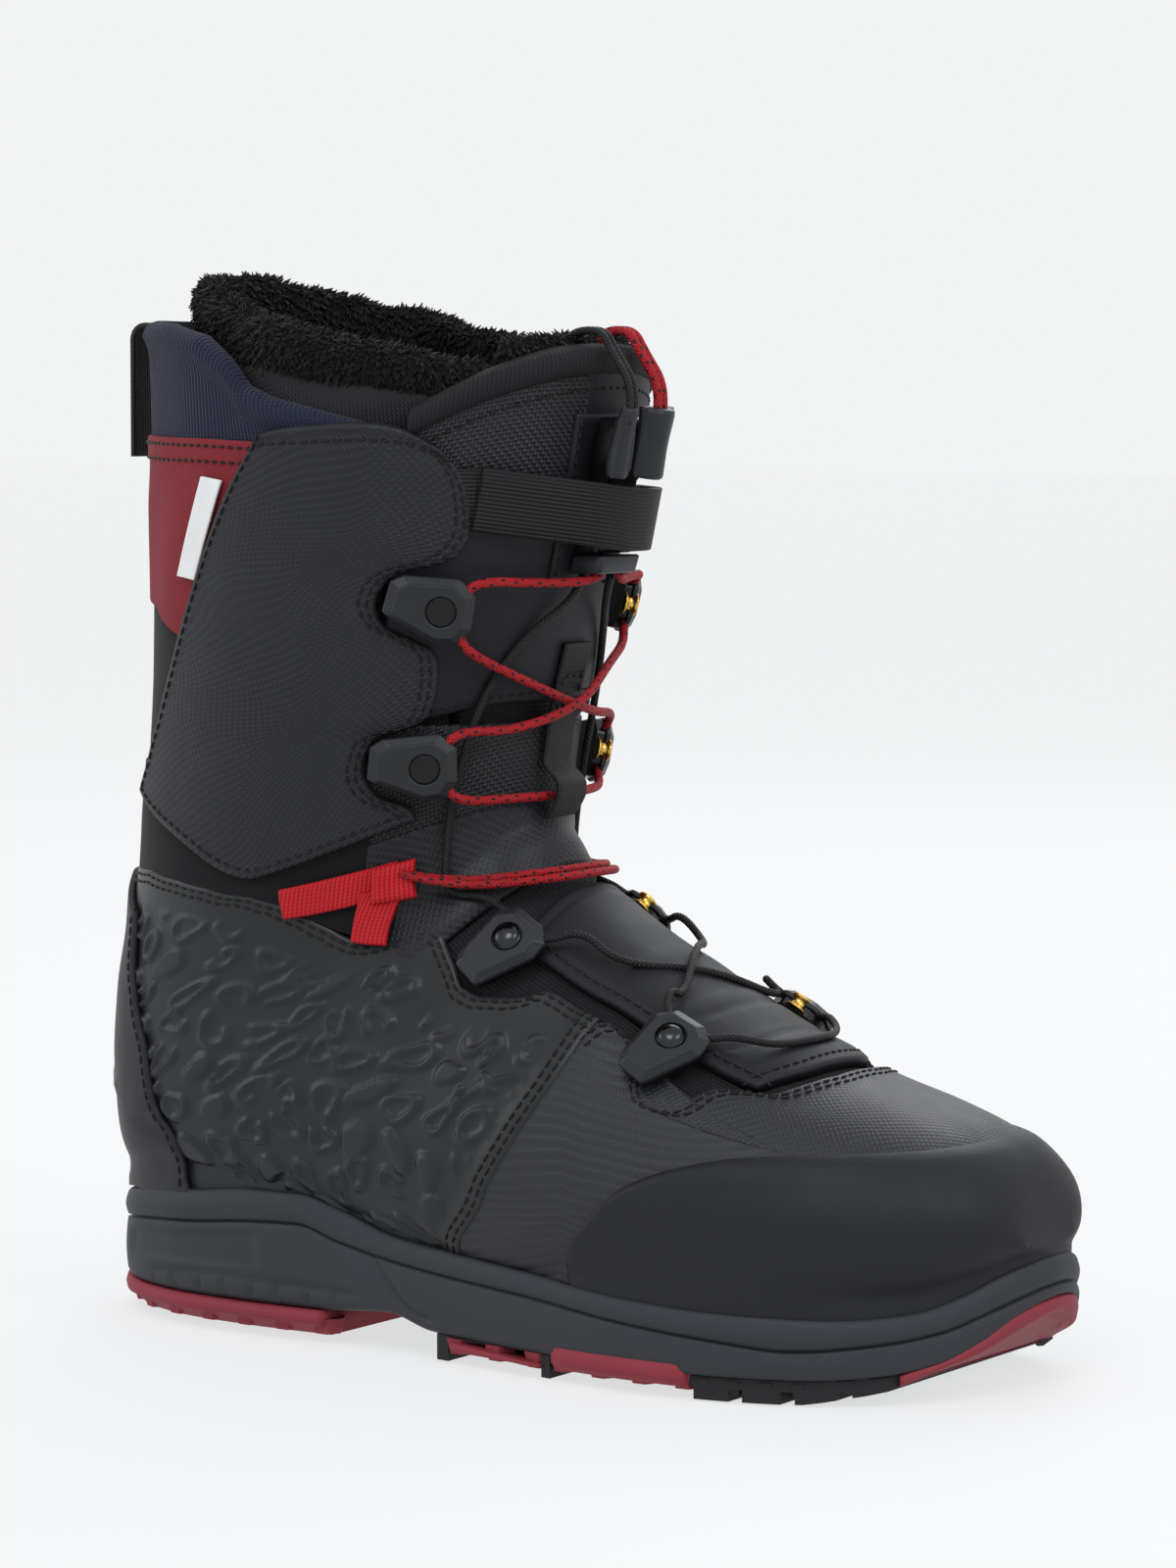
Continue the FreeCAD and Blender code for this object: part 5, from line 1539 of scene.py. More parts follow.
    def build(self) -> None:
        """Makes the pieces over the foot and their seams."""
        for name, side in (("quarter_lateral", 1), ("quarter_medial", -1)):
            piece, patch = self.quarter(name + "_skin", side)
            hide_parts(name)
            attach(piece, "foot")
            for inset in (2.2, 4.6):
                STITCHING.sew("foot", patch.lower_seam(2, inset, 0.1, 0.99))
            for inset in (2.0, 4.2):
                STITCHING.sew("foot", patch.seam(1, inset, 0.01, 0.97))
            LOG.info("piece %s", piece.name)
        vamp, patch = self.vamp()
        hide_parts("vamp")
        for inset in (2.2, 4.4):
            STITCHING.sew("foot", patch.seam(1, inset, 0.225, 0.775))
        cap = self.toe_cap()
        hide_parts("toe_cap")
        stay, patch = self.heel_stay()
        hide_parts("backstay")
        STITCHING.sew("foot", patch.lower_seam(2, 1.8, 0.1, 1.0))
        STITCHING.sew("foot", patch.lower_seam(3, 1.8, 0.1, 1.0))
        pad, patch = self.instep_pad()
        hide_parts("instep_pad")
        for side in (0, 2, 3):
            STITCHING.sew("foot", patch.seam(side, 3.4))
        under = Patch("tongue_foot_skin", [(toe(89), 0.95), (toe(89), -0.95)],
                      [(fan(58.5), 1.02), (fan(58.5), -1.02)], RIB_BLACK, (-4.4, -2.6)).build()
        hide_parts("tongue_foot")
        for piece in (vamp, cap, stay, pad, under):
            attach(piece, "foot")
            LOG.info("piece %s", piece.name)


# ------------------------------------------------------------------ ankle zone


@dataclass
class FlexZone:
    """Soft parts that bend between the foot and the shaft."""

    start: tuple[float, float, float] = (-0.060, 0.0, 0.116)
    end: tuple[float, float, float] = (-0.060, 0.0, 0.158)

    def bend(self, piece: Piece, *nodes: str) -> None:
        """Hides the nodes that a piece stands for and bakes its placement into its mesh."""
        if nodes:
            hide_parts(*nodes)
        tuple(self.start)
        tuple(self.end)
        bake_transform(piece)
        LOG.info("piece %s", piece.name)

    @staticmethod
    def folds(lay: np.ndarray, sides: np.ndarray) -> np.ndarray:
        """Soft cross folds of the tongue over the instep."""
        y = sides[0]
        wave = np.sin(y / 3.6 + 0.4 * np.sin(lay[..., 0] / 9))
        return 0.8 * wave * ease((17 - y) / 5) * ease(sides.min(0) / 3)

    def build(self) -> None:
        """Makes the gusset, the tongue's bending part and the liner behind them."""
        spots = FORM.spots
        low = spots((-37, 110), (-52, 113), (-68, 118.5), (-92, 121)) + [
            (FORM.spot(-118, 124)[0], 2.95)]
        high = [(fan(88), 1.0), (fan(88), 2.0), (fan(88), 2.95)]
        gusset = Patch("ankle_gusset_skin", round_back(low), round_back(high), SUEDE,
                       (-2.6, -0.3), pitch=2.4)
        piece = gusset.build()
        self.bend(piece, "ankle_gusset")
        dotted = Patch("tongue_folds_skin", [(fan(44), 0.98), (fan(44), -0.98)],
                       [(fan(70), 1.0), (fan(70), -1.0)], DOTTED_LEATHER, (-2.4, -0.4), pitch=1.3,
                       relief=self.folds)
        self.bend(dotted.build())
        nylon = Patch("tongue_nylon_skin", [(fan(69), 1.0), (fan(69), -1.0)],
                      [(shaft(167), 1.0), (shaft(167), -1.0)], BALLISTIC, (-2.6, -0.9), pitch=2)
        self.bend(nylon.build(), "tongue_flex")
        liner = Patch("liner_flex_skin", [(fan(56), SLIT), (fan(56), 2 * math.pi - SLIT)],
                      [(fan(81), SLIT), (fan(81), 2 * math.pi - SLIT)], INNER_FOAM, (-12.5, -5.6),
                      pitch=5)
        self.bend(liner.build(), "liner_flex")


# ------------------------------------------------------------------ shaft


@dataclass
class Cuff:
    """Panels of the shaft: flaps, gaiter, heel-side suede, lining collar and pull loop."""

    edge: float = 1.03

    def around(self, name: str, low: float, high: float, finish: Finish,
               depths: tuple[float, float], **more: object) -> Patch:
        """Band round the back of the shaft between two stations."""
        far = 2 * math.pi - self.edge
        return Patch(name, [(low, self.edge), (low, far)], [(high, self.edge), (high, far)],
                     finish, depths, **more)

    @staticmethod
    def flap_relief(lay: np.ndarray, sides: np.ndarray) -> np.ndarray:
        """Rolled edge along the top, and a soft crown between the seams."""
        roll = 0.75 * np.maximum(blob(sides[1], 1.3, 1.5), 0)
        crown = 0.35 * ease(sides.min(0) / 16)
        return roll + crown

    def flap(self, name: str, side: int) -> tuple[Piece, Patch]:
        """Cuff flap, stepped back round its two hooks; side is 1 lateral, -1 medial."""
        spots = FORM.spots
        low = spots((-117, 146), (-96, 135.5), (-76, 125.5), (-71, 124.5), (-50, 132), (-27, 142))
        high = spots((-62, 243), (-57, 246), (-34, 248), (-22, 247), (-13, 241))
        rear = spots((-117, 146), (-108, 160), (-96, 184), (-86, 205), (-73, 229), (-62, 243))
        front = spots((-27, 142), (-28, 146), (-36, 149), (-38, 156), (-34, 165), (-23, 168),
                      (-20, 176), (-18.5, 187), (-24, 191), (-30, 194), (-31, 201), (-26, 208),
                      (-13, 211), (-8.5, 219), (-8.5, 233), (-13, 241))
        edges = [soften(low), soften(high), soften(rear), soften(front, 1)]
        if side < 0:
            edges = [medial(e) for e in edges]
        patch = Patch(name, edges[0], edges[1], DOTTED_LEATHER, (0.2, 2.5), edges[2], edges[3],
                      1.6, 1.4, self.flap_relief)
        return patch.build(), patch

    def collar(self) -> Piece:
        """Ribbed elastic collar, padded, high behind and low at the sides."""
        low = round_back([(shaft(222), 1.1), (shaft(222), 2.0), (shaft(222), 3.0)])
        high = round_back([(shaft(246), 1.12), (shaft(250), 1.36), (shaft(253.5), 1.56),
                           (shaft(257), 1.7), (shaft(264), 1.8), (shaft(270.5), 1.95),
                           (shaft(274), 2.25), (shaft(275), 2.7), (shaft(275), 3.0)])

        def waves(lay: np.ndarray, sides: np.ndarray) -> np.ndarray:
            roll = 1.9 * blob(sides[1], 4.0, 4.4)
            return roll + 0.35 * np.sin(lay[..., 0] / 6.5) * ease(sides[1] / 9)

        patch = Patch("collar_rib", low, high, RIB_KNIT, (-5.4, -1.4), pitch=1.6, rounding=1.9,
                      relief=waves)
        piece = patch.build()
        return piece

    def gaiter(self) -> tuple[Piece, Patch]:
        """Red softshell gaiter with gentle vertical folds and a hemmed top."""
        low = round_back([(shaft(196), 1.05), (shaft(189), 1.5), (shaft(186), 1.9),
                          (shaft(196), 2.35), (shaft(200), 3.0)])
        high = round_back([(shaft(241), 1.1), (shaft(243), 1.9), (shaft(244), 3.0)])

        def folds(lay: np.ndarray, sides: np.ndarray) -> np.ndarray:
            wave = np.sin(lay[..., 0] / 5.2 + 0.05 * sides[0])
            fold = 0.55 * wave * ease((sides[1] - 7) / 14)
            hem = 0.45 * ease((6.5 - sides[1]) / 0.8)
            return fold + hem - 0.2

        patch = Patch("gaiter_softshell", low, high, SOFTSHELL, (-2.0, -0.2), pitch=1.5,
                      rounding=0.8, relief=folds)
        return patch.build(), patch

    def pull_loop(self) -> Piece:
        """Webbing folded into a finger loop behind the collar."""
        x0, x1, z0, z1, half = -141.2, -133.2, 237.3, 270.0, 11.0
        path = [(x1, z0)]
        path += [(x1, z) for z in np.linspace(z0 + 2, z1, 10)]
        middle, radius = (x0 + x1) / 2, (x1 - x0) / 2
        path += [(middle + radius * math.cos(t), z1 + radius * math.sin(t))
                 for t in np.linspace(0.2, math.pi - 0.2, 9)]
        path += [(x0, z) for z in np.linspace(z1, z0 + 2, 10)]
        path += [(x0, z0)]
        line = np.array(path)
        way = np.gradient(line, axis=0)
        way /= np.linalg.norm(way, axis=1, keepdims=True)
        side = np.stack([way[:, 1], -way[:, 0]], 1)
        run = lengths_along(line)
        section = [(-half, -0.6), (-half + 0.6, -0.75), (half - 0.6, -0.75), (half, -0.6),
                   (half, 0.6), (half - 0.6, 0.75), (-half + 0.6, 0.75), (-half, 0.6)]
        points, lays = [], []
        for (x, z), out, length in zip(line, side, run):
            for y, lift in section:
                points.append((x + out[0] * lift, y, z + out[1] * lift))
                lays.append((length, y))
        faces = ring_faces(len(line), len(section))
        return outward(make_piece("pull_loop_webbing", np.array(points), faces, WEBBING,
                                  np.array(lays)))

    def build(self) -> None:
        """Makes the shaft's panels and their seams."""
        made = []
        for name, side in (("cuff_flap_lateral", 1), ("cuff_flap_medial", -1)):
            piece, patch = self.flap(name + "_skin", side)
            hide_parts(name)
            made.append(piece)
            STITCHING.sew("shaft", patch.seam(0, 2.6, 0.02, 0.98))
            STITCHING.sew("shaft", patch.seam(2, 2.6, 0.02, 0.99))
            STITCHING.sew("shaft", patch.seam(1, 4.6, 0.03, 0.97))
            for inset in (2.2, 4.4):
                STITCHING.sew("shaft", patch.seam(3, inset, 0.02, 0.98))
        gaiter, patch = self.gaiter()
        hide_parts("rear_gaiter")
        STITCHING.sew("shaft", patch.seam(1, 6.0))
        STITCHING.sew("shaft", patch.seam(1, 1.8))
        collar = self.collar()
        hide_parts("collar_lining")
        suede = self.around("achilles_suede", fan(82), shaft(199), SUEDE, (-3.0, -1.35), pitch=2.6)
        suede_piece = suede.build()
        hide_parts("achilles_panel")
        lining = self.around("cuff_lining_skin", fan(84), shaft(224), INNER_FOAM, (-4.8, -2.8),
                             pitch=4).build()
        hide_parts("cuff_lining")
        spots = FORM.spots
        label = Patch("side_tag", spots((-94, 206), (-87, 205)), spots((-82.5, 233), (-75, 232)),
                      TAG, (0.4, 1.1), pitch=0.8, rounding=0.3,
                      relief=lambda lay, sides: 0.5 * ease((4 - sides[2]) / 4)).build()
        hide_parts("side_label")
        loop = self.pull_loop()
        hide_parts("rear_pull_loop")
        for piece in (*made, gaiter, collar, suede_piece, lining, label, loop):
            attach(piece, "shaft")
            LOG.info("piece %s", piece.name)


@dataclass
class Tongue:
    """Shell tongue: coated shin panel, nylon side, rolled top binding and webbing keeper."""

    cloth_edge_mm: float = -12.5
    cloth_low_mm: float = 222

    def top_edge(self, lift: float = 0.0) -> Edge:
        """The tongue's top edge, raised by a number of stations."""
        half = [(shaft(246), 1.0), (shaft(251), 0.86), (shaft(256.5), 0.66), (shaft(261), 0.4),
                (shaft(263), 0.15)]
        edge = half + medial(half)[::-1]
        return [(s + lift, a) for s, a in soften(edge)]

    def build(self) -> None:
        """Makes the tongue's pieces and seams."""
        low = [(shaft(165.5), 0.99), (shaft(172), 0.5), (shaft(173), 0.2), (shaft(173), -0.2),
               (shaft(172), -0.5), (shaft(165.5), -0.99)]

        def shin(lay: np.ndarray, sides: np.ndarray) -> np.ndarray:
            past = lay[..., 0] - self.cloth_edge_mm
            seam = np.exp(-(past / 0.8) ** 2) * ease((sides[0] - 55) / 3)
            step = 0.5 * ease(past / 0.6) * ease((sides[0] - 55) / 2)
            return 0.3 * ease(sides.min(0) / 8) - 0.6 * seam + step

        patch = Patch("tongue_shin_skin", soften(low), self.top_edge(), SMOOTH_LEATHER,
                      (-2.4, -0.1), pitch=1.4, relief=shin)
        piece = patch.build()
        self.side_cloth(piece)
        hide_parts("tongue_shin")
        STITCHING.sew("shaft", patch.seam(0, 2.2))
        STITCHING.sew("shaft", patch.seam(1, 6.5))

        def bead(lay: np.ndarray, sides: np.ndarray) -> np.ndarray:
            return 2.2 * blob(sides[0], 4.0, 5.4)

        binding = Patch("tongue_binding_skin", self.top_edge(-0.03), self.top_edge(0.045),
                        RIB_BLACK, (-5.2, -0.2), pitch=1.2, rounding=1.8, relief=bead).build()
        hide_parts("tongue_binding")
        keeper = self.keeper()
        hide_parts("tongue_keeper")
        for made in (piece, binding, keeper):
            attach(made, "shaft")
            LOG.info("piece %s", made.name)

    def side_cloth(self, piece: Piece) -> None:
        """Gives the tongue's lateral upper side its nylon cloth."""
        mesh = piece.data
        mesh.materials.append(BALLISTIC.material())
        layer = mesh.uv_layers["lay"].data
        for face in mesh.polygons:
            u = sum(layer[k].uv[0] for k in face.loop_indices) / face.loop_total / MM
            if u < self.cloth_edge_mm and face.center.z > self.cloth_low_mm * MM:
                face.material_index = 1

    def keeper(self) -> Piece:
        """Webbing strip sewn down the middle of the tongue, lifted over the laces."""
        count = 44
        shares = np.linspace(0, 1, count)
        s = np.interp(shares, [0, 1], [shaft(188.5), fan(62)])
        middle = np.interp(shares, [0, 1], [-0.06, 0.03])
        lift = 0.5 + 5.8 * np.clip(1.8 * np.maximum(0, 1 - np.abs(1 - shares - 0.2) / 0.2), 0, 1)
        lift = np.convolve(np.pad(lift, 2, mode="edge"), np.ones(5) / 5, "valid")
        half_mm = 6.6
        points, lays = [], []
        base = FORM.bare(s, middle)

        def ways(k: int) -> tuple[np.ndarray, np.ndarray]:
            """Directions out of the tongue and across the strip at one of its rows."""
            across = FORM.bare(s[k], middle[k] + 0.02) - FORM.bare(s[k], middle[k] - 0.02)
            return FORM.normal(s[k], middle[k]), across / np.linalg.norm(across)

        run = lengths_along(base)
        section = [(-1.0, 0.0), (-0.93, 0.0), (0.93, 0.0), (1.0, 0.0), (1.0, 1.0), (0.93, 1.25),
                   (-0.93, 1.25), (-1.0, 1.0)]
        for k in range(count):
            out, across = ways(k)
            for share, height in section:
                points.append(base[k] + across * share * half_mm + out * (lift[k] + height))
                lays.append((run[k], share * half_mm))
        faces = ring_faces(count, len(section))
        keeper = outward(make_piece("tongue_keeper_webbing", np.array(points), faces, WEBBING,
                                    np.array(lays)))
        ring = []
        for k, share in ((6, -0.7), (6, 0.7), (12, 0.7), (12, -0.7), (6, -0.7)):
            out, across = ways(k)
            ring.append(base[k] + across * share * half_mm + out * (lift[k] + 1.5))
        STITCHING.sew("shaft", np.array(ring))
        return keeper


# ------------------------------------------------------------------ liner


def inflate(piece: Piece, voxel: float, pressure: float, cap_mm: float, frames: int = 20) -> Piece:
    """Swells a closed soft piece with a cloth simulation, and keeps the result.

    Args:
        piece: the soft piece.
        voxel: remesh size in metres.
        pressure: inside pressure.
        cap_mm: the most that a point may move.
        frames: simulated frames.

    Returns:
        The same piece with its swollen mesh.
    """
    remesh = piece.modifiers.new("remesh", "REMESH")
    remesh.mode = "VOXEL"
    remesh.voxel_size = voxel
    bpy.context.view_layer.update()
    graph = bpy.context.evaluated_depsgraph_get()
    finish = piece.data.materials[0]
    piece.data = bpy.data.meshes.new_from_object(piece.evaluated_get(graph))
    piece.modifiers.remove(remesh)
    rest = np.array([v.co for v in piece.data.vertices], float)
    cloth = piece.modifiers.new("cloth", "CLOTH")
    cloth.settings.use_pressure = True
    cloth.settings.uniform_pressure_force = pressure
    cloth.settings.quality = 4
    cloth.settings.tension_stiffness = 12
    cloth.settings.compression_stiffness = 12
    cloth.settings.effector_weights.gravity = 0
    cloth.collision_settings.use_collision = False
    cloth.point_cache.frame_start, cloth.point_cache.frame_end = 1, frames
    for k in range(1, frames + 1):
        bpy.context.scene.frame_set(k)
    graph = bpy.context.evaluated_depsgraph_get()
    swollen = bpy.data.meshes.new_from_object(piece.evaluated_get(graph))
    piece.modifiers.remove(cloth)
    bpy.context.scene.frame_set(1)
    moved = np.array([v.co for v in swollen.vertices], float) - rest
    length = np.linalg.norm(moved, axis=1, keepdims=True)
    moved *= np.minimum(1, cap_mm * MM / np.maximum(length, 1e-9))
    swollen.vertices.foreach_set("co", (rest + moved).astype(np.float32).ravel())
    swollen.materials.clear()
    swollen.materials.append(finish)
    piece.data = swollen
    subdivide = piece.modifiers.new("subdivide", "SUBSURF")
    subdivide.levels = subdivide.render_levels = 1
    bpy.context.view_layer.update()
    graph = bpy.context.evaluated_depsgraph_get()
    piece.data = bpy.data.meshes.new_from_object(piece.evaluated_get(graph))
    piece.modifiers.remove(subdivide)
    piece.data.polygons.foreach_set("use_smooth", [True] * len(piece.data.polygons))
    return piece


@dataclass
class Liner:
    """Inner boot: knit cuff, padded tongue, plush collar and footbed."""

    pile_spacing_mm: float = 1.05
    pile_mm: float = 2.1
    lean_mm: float = 7.0
    seed: int = 5

    def plush(self) -> Piece:
        """Thick soft roll round the liner's opening."""
        low = round_back([(shaft(251), 0.62), (shaft(256), 1.6), (shaft(262), 3.0)])
        high = round_back([(shaft(262), 0.62), (shaft(265), 0.9), (shaft(268), 1.2),
                           (shaft(272), 1.55), (shaft(279), 2.0), (shaft(285), 2.5),
                           (shaft(287), 3.0)])

        def roll(lay: np.ndarray, sides: np.ndarray) -> np.ndarray:
            lump = np.sin(lay[..., 0] / 11) + 0.6 * np.sin(lay[..., 0] / 6.1 + 1)
            return 1.6 * blob(sides[1], 6, 9) + 0.5 * lump * ease(sides[1] / 6)

        piece = Patch("plush_collar", low, high, PLUSH, (-16.5, -7.0), pitch=2.4, rounding=4.4,
                      relief=roll).build()
        return self.lean_in(inflate(piece, 3.6 * MM, 4.0, 2.6))

    def lean_in(self, piece: Piece) -> Piece:
        """Lets the soft roll lean in over the opening, with slow waves along it."""
        points = np.empty(len(piece.data.vertices) * 3, np.float32)
        piece.data.vertices.foreach_get("co", points)
        points = points.reshape(-1, 3).astype(float) / MM
        level = points[:, :2] - np.array([-63.0, 0.0])
        turn = np.arctan2(level[:, 1], level[:, 0])
        reach = np.linalg.norm(level, axis=1, keepdims=True)
        share = ease((points[:, 2] - 246) / 26)
        rear = 0.55 - 0.75 * np.cos(turn)
        lean = self.lean_mm * share * (rear + 0.2 * np.sin(5 * turn + 0.6) + 0.1 * np.sin(9 * turn))
        points[:, :2] -= level / reach * lean[:, None]
        points[:, 2] += share * (0.9 * np.sin(4 * turn + 1.0) + 0.6 * np.sin(11 * turn))
        piece.data.vertices.foreach_set("co", (points * MM).astype(np.float32).ravel())
        piece.data.update()
        return piece

    def plush_tongue(self) -> Piece:
        """Plush-faced top of the liner's tongue."""
        low = [(shaft(254), 0.6), (shaft(254), -0.6)]
        high = [(shaft(269), 0.6), (shaft(272), 0.3), (shaft(272), -0.3), (shaft(269), -0.6)]
        piece = Patch("plush_tongue_top", low, soften(high), PLUSH, (-13.5, -6.3), pitch=2.4,
                      rounding=3.2).build()
        return inflate(piece, 4.2 * MM, 4.0, 2.0)

    @staticmethod
    def pile_tree() -> bpy.types.GeometryNodeTree:
        """Short tufts of pile spread over a surface."""
        tree, start, end = new_tree("Pile", [
            ("Density", "NodeSocketFloat", 400000.0), ("Length", "NodeSocketFloat", 0.003),
            ("Seed", "NodeSocketInt", 1), ("Pile", "NodeSocketMaterial", None)])
        spread = add(tree, "GeometryNodeDistributePointsOnFaces", inputs={
            "Mesh": start.outputs["Geometry"], "Density": start.outputs["Density"],
            "Seed": start.outputs["Seed"]})
        tuft = add(tree, "GeometryNodeMeshCone", {"fill_type": "NONE"}, {
            "Vertices": 3, "Side Segments": 2, "Radius Top": 0.05, "Radius Bottom": 0.3,
            "Depth": 1.0})
        wobble = add(tree, "FunctionNodeRandomValue", {"data_type": "FLOAT_VECTOR"}, {
            0: (0.35, -0.5, -0.9), 1: (1.15, 0.5, 0.9), "Seed": start.outputs["Seed"]})
        turned = add(tree, "FunctionNodeRotateRotation", {"rotation_space": "LOCAL"}, {
            "Rotation": spread.outputs["Rotation"], "Rotate By": wobble.outputs[0]})
        long = add(tree, "FunctionNodeRandomValue", {"data_type": "FLOAT"}, {
            2: 0.6, 3: 1.25, "Seed": start.outputs["Seed"]})
        size = add(tree, "ShaderNodeMath", {"operation": "MULTIPLY"}, {
            0: long.outputs[1], 1: start.outputs["Length"]})
        placed = add(tree, "GeometryNodeInstanceOnPoints", inputs={
            "Points": spread.outputs["Points"], "Instance": tuft.outputs["Mesh"],
            "Rotation": turned.outputs["Rotation"], "Scale": size.outputs[0]})
        real = add(tree, "GeometryNodeRealizeInstances", inputs={
            "Geometry": placed.outputs["Instances"]})
        shade = add(tree, "GeometryNodeSetShadeSmooth", inputs={"Geometry": real.outputs[0]})
        dressed = add(tree, "GeometryNodeSetMaterial", inputs={
            "Geometry": shade.outputs[0], "Material": start.outputs["Pile"]})
        tree.links.new(dressed.outputs["Geometry"], end.inputs["Geometry"])
        return tree

    def pile(self, ground: Piece, name: str) -> Piece:
        """Tufts that stand on a soft piece."""
        piece = bpy.data.objects.new(name, ground.data.copy())
        bpy.context.scene.collection.objects.link(piece)
        bake(piece, self.pile_tree(), {
            "Density": 1 / (self.pile_spacing_mm * MM) ** 2, "Length": self.pile_mm * MM,
            "Seed": self.seed, "Pile": PLUSH.material()})
        return piece

    def build(self) -> None:
        """Makes the liner."""

        def quilting(lay: np.ndarray, sides: np.ndarray) -> np.ndarray:
            return 0.35 * np.sin(sides[0] / 4) * ease((26 - sides[1]) / 8)

        plush, top = self.plush(), self.plush_tongue()
        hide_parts("fleece_collar")
        piles = [self.pile(plush, "plush_collar_pile"), self.pile(top, "plush_tongue_pile")]
        cuff = Patch("liner_cuff_skin", [(fan(79.5), 0.6), (fan(79.5), 2 * math.pi - 0.6)],
                     round_back([(shaft(252), 0.6), (shaft(257), 1.2), (shaft(264), 1.9),
                                 (shaft(268), 3.0)]), MESH_KNIT,
                     (-12.8, -5.8), pitch=2.6, rounding=2.0, relief=quilting).build()
        cuff = self.lean_in(cuff)
        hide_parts("liner_cuff")
        tongue = Patch("liner_tongue_skin", [(fan(79.5), 0.57), (fan(79.5), -0.57)],
                       [(shaft(258), 0.57), (shaft(258), -0.57)], MESH_KNIT, (-12.8, -5.8),
                       pitch=2.6, rounding=2.0).build()
        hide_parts("liner_tongue")
        for piece in (plush, top, *piles, cuff, tongue):
            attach(piece, "shaft")
            LOG.info("piece %s", piece.name)
        for name in ("liner_toe", "liner_foot", "footbed"):
            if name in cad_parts:
                keep_node(name, INNER_FOAM)


# ------------------------------------------------------------------ hooks, lock and handles


class Side(Enum):
    """Side of the boot, with the sign of its section angles."""

    LATERAL = 1
    MEDIAL = -1


@dataclass
class Seat:
    """A flat place on the skin for a rigid fitting: x to the lacing, y up it, z outwards."""

    x: float
    z: float
    depth: float
    side: Side
    tilt: float = 0.0

    def __post_init__(self) -> None:
        """Works out the seat's origin and directions."""
        s, a = FORM.spot(self.x, self.z)
        a *= self.side.value
        out = Vector(FORM.normal(np.array(s), np.array(a)))
        along = Vector(FORM.bare(np.array(s + 0.02), np.array(a))
                       - FORM.bare(np.array(s - 0.02), np.array(a))).normalized()
        lean = math.radians(self.tilt) * self.side.value
        y_way = (along * math.cos(lean) + out.cross(along) * math.sin(lean)).normalized()
        x_way = y_way.cross(out) * self.side.value
        self.origin = skin_point(s, a, self.depth)
        self.ways = (x_way, y_way, out)

    def point(self, x: float, y: float, z: float) -> Vector:
        """Row-frame position of a local point, in millimetres."""
        return self.origin + self.ways[0] * x + self.ways[1] * y + self.ways[2] * z

    def points(self, local: Sequence[tuple[float, float, float]]) -> np.ndarray:
        """Row-frame positions of several local points."""
        return np.array([self.point(*p) for p in local])


@dataclass
class LaceHook:
    """A six-sided lace hook with bevelled edges, its rivet and its brass tube."""

    name: str
    seat: Seat
    domed: bool
    body: str
    tunnel_x: float = 8.8
    tunnel_z: float = 2.9
    rivet_x: float = 3.4

    PLAN = [(-11.6, -2.8), (3.6, -9), (9, -8.4), (11.9, -4), (11.9, 4.9), (7.4, 8.9), (-7.4, 7.8),
            (-10.6, 5.8)]

    def plate(self) -> Piece:
        """The plate: stepped, bevelled rings with a dished rivet seat, and black lower walls as
        painted shade.
        """
        profile = [(0.94, 0.0), (0.94, 2.3), (1.0, 2.45), (1.015, 2.7), (1.015, 3.5), (1.0, 3.8),
                   (0.83, 5.3), (0.8, 5.65), (0.76, 5.8)]
        rings = []
        for share, z in profile:
            ring = []
            for (x0, y0), (x1, y1) in zip(self.PLAN, self.PLAN[1:] + self.PLAN[:1]):
                for t in (0.06, 0.25, 0.5, 0.75, 0.94):
                    ring.append(((x0 + (x1 - x0) * t) * share, (y0 + (y1 - y0) * t) * share, z))
            rings.append(ring)
        count = len(rings[0])
        for radius, z in ((4.5, 5.8), (4.25, 5.65), (4.1, 4.9), (0.8, 4.85)):
            ring = []
            for x, y, _ in rings[len(profile) - 1]:
                way = math.atan2(y, x - self.rivet_x)
                ring.append((self.rivet_x + radius * math.cos(way), radius * math.sin(way), z))
            rings.append(ring)
        local = [p for ring in rings for p in ring]
        points = self.seat.points(local)
        faces = ring_faces(len(rings), count)
        piece = make_piece(self.name, points, faces, GREY_NYLON, smooth=False)
        # The lower side walls take black nylon as painted shade: they stand for the grey plate's
        # walls seen in shadow.
        piece.data.materials.append(BLACK_NYLON.material())
        for number in range(2 * count):
            piece.data.polygons[number].material_index = 1
        return outward(piece)

    def rivet(self) -> Piece:
        """Rivet head with a rolled rim, flat or domed."""
        base = 4.9
        if self.domed:
            profile = [(3.9, base), (3.85, base + 0.5), (3.5, base + 0.7), (3.4, base + 0.8),
                       (3.2, base + 1.35), (2.5, base + 1.95), (1.4, base + 2.3), (0.4, base + 2.4)]
        else:
            profile = [(3.95, base), (3.9, base + 0.45), (3.6, base + 0.6), (3.2, base + 0.45),
                       (2.9, base + 0.3), (2.0, base + 0.3), (1.7, base + 0.1), (0.4, base + 0.1)]
        return self.turned("rivet_" + self.name, profile,
                           DARK_NICKEL if self.domed else BLACK_NYLON, self.rivet_x)

    def turned(self, name: str, profile: Sequence[tuple[float, float]], finish: Finish,
               centre: float) -> Piece:
        """A round part about a line through the plate at a distance along it."""
        sides = 36
        local = []
        for radius, z in profile:
            local += [(centre + radius * math.cos(2 * math.pi * k / sides),
                       radius * math.sin(2 * math.pi * k / sides), z) for k in range(sides)]
        faces = ring_faces(len(profile), sides)
        return outward(make_piece(name, self.seat.points(local), faces, finish))

    def spool(self) -> Piece:
        """Flared brass pulley that the lace runs round, open to the tongue on the far side."""
        centre = self.tunnel_x + (1.9 if self.seat.side is Side.MEDIAL else -2.6)
        profile = [(1.1, 0.3), (3.2, 0.3), (3.3, 0.7), (2.5, 1.3), (2.2, 2.2), (2.5, 3.1),
                   (3.3, 3.7), (3.2, 4.1), (1.1, 4.1)]
        return self.turned("brass_" + self.name, profile, BRASS, centre)

    def build(self) -> list[Piece]:
        """Makes the hook's three parts on their body."""
        return [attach(p, self.body) for p in (self.plate(), self.rivet(), self.spool())]


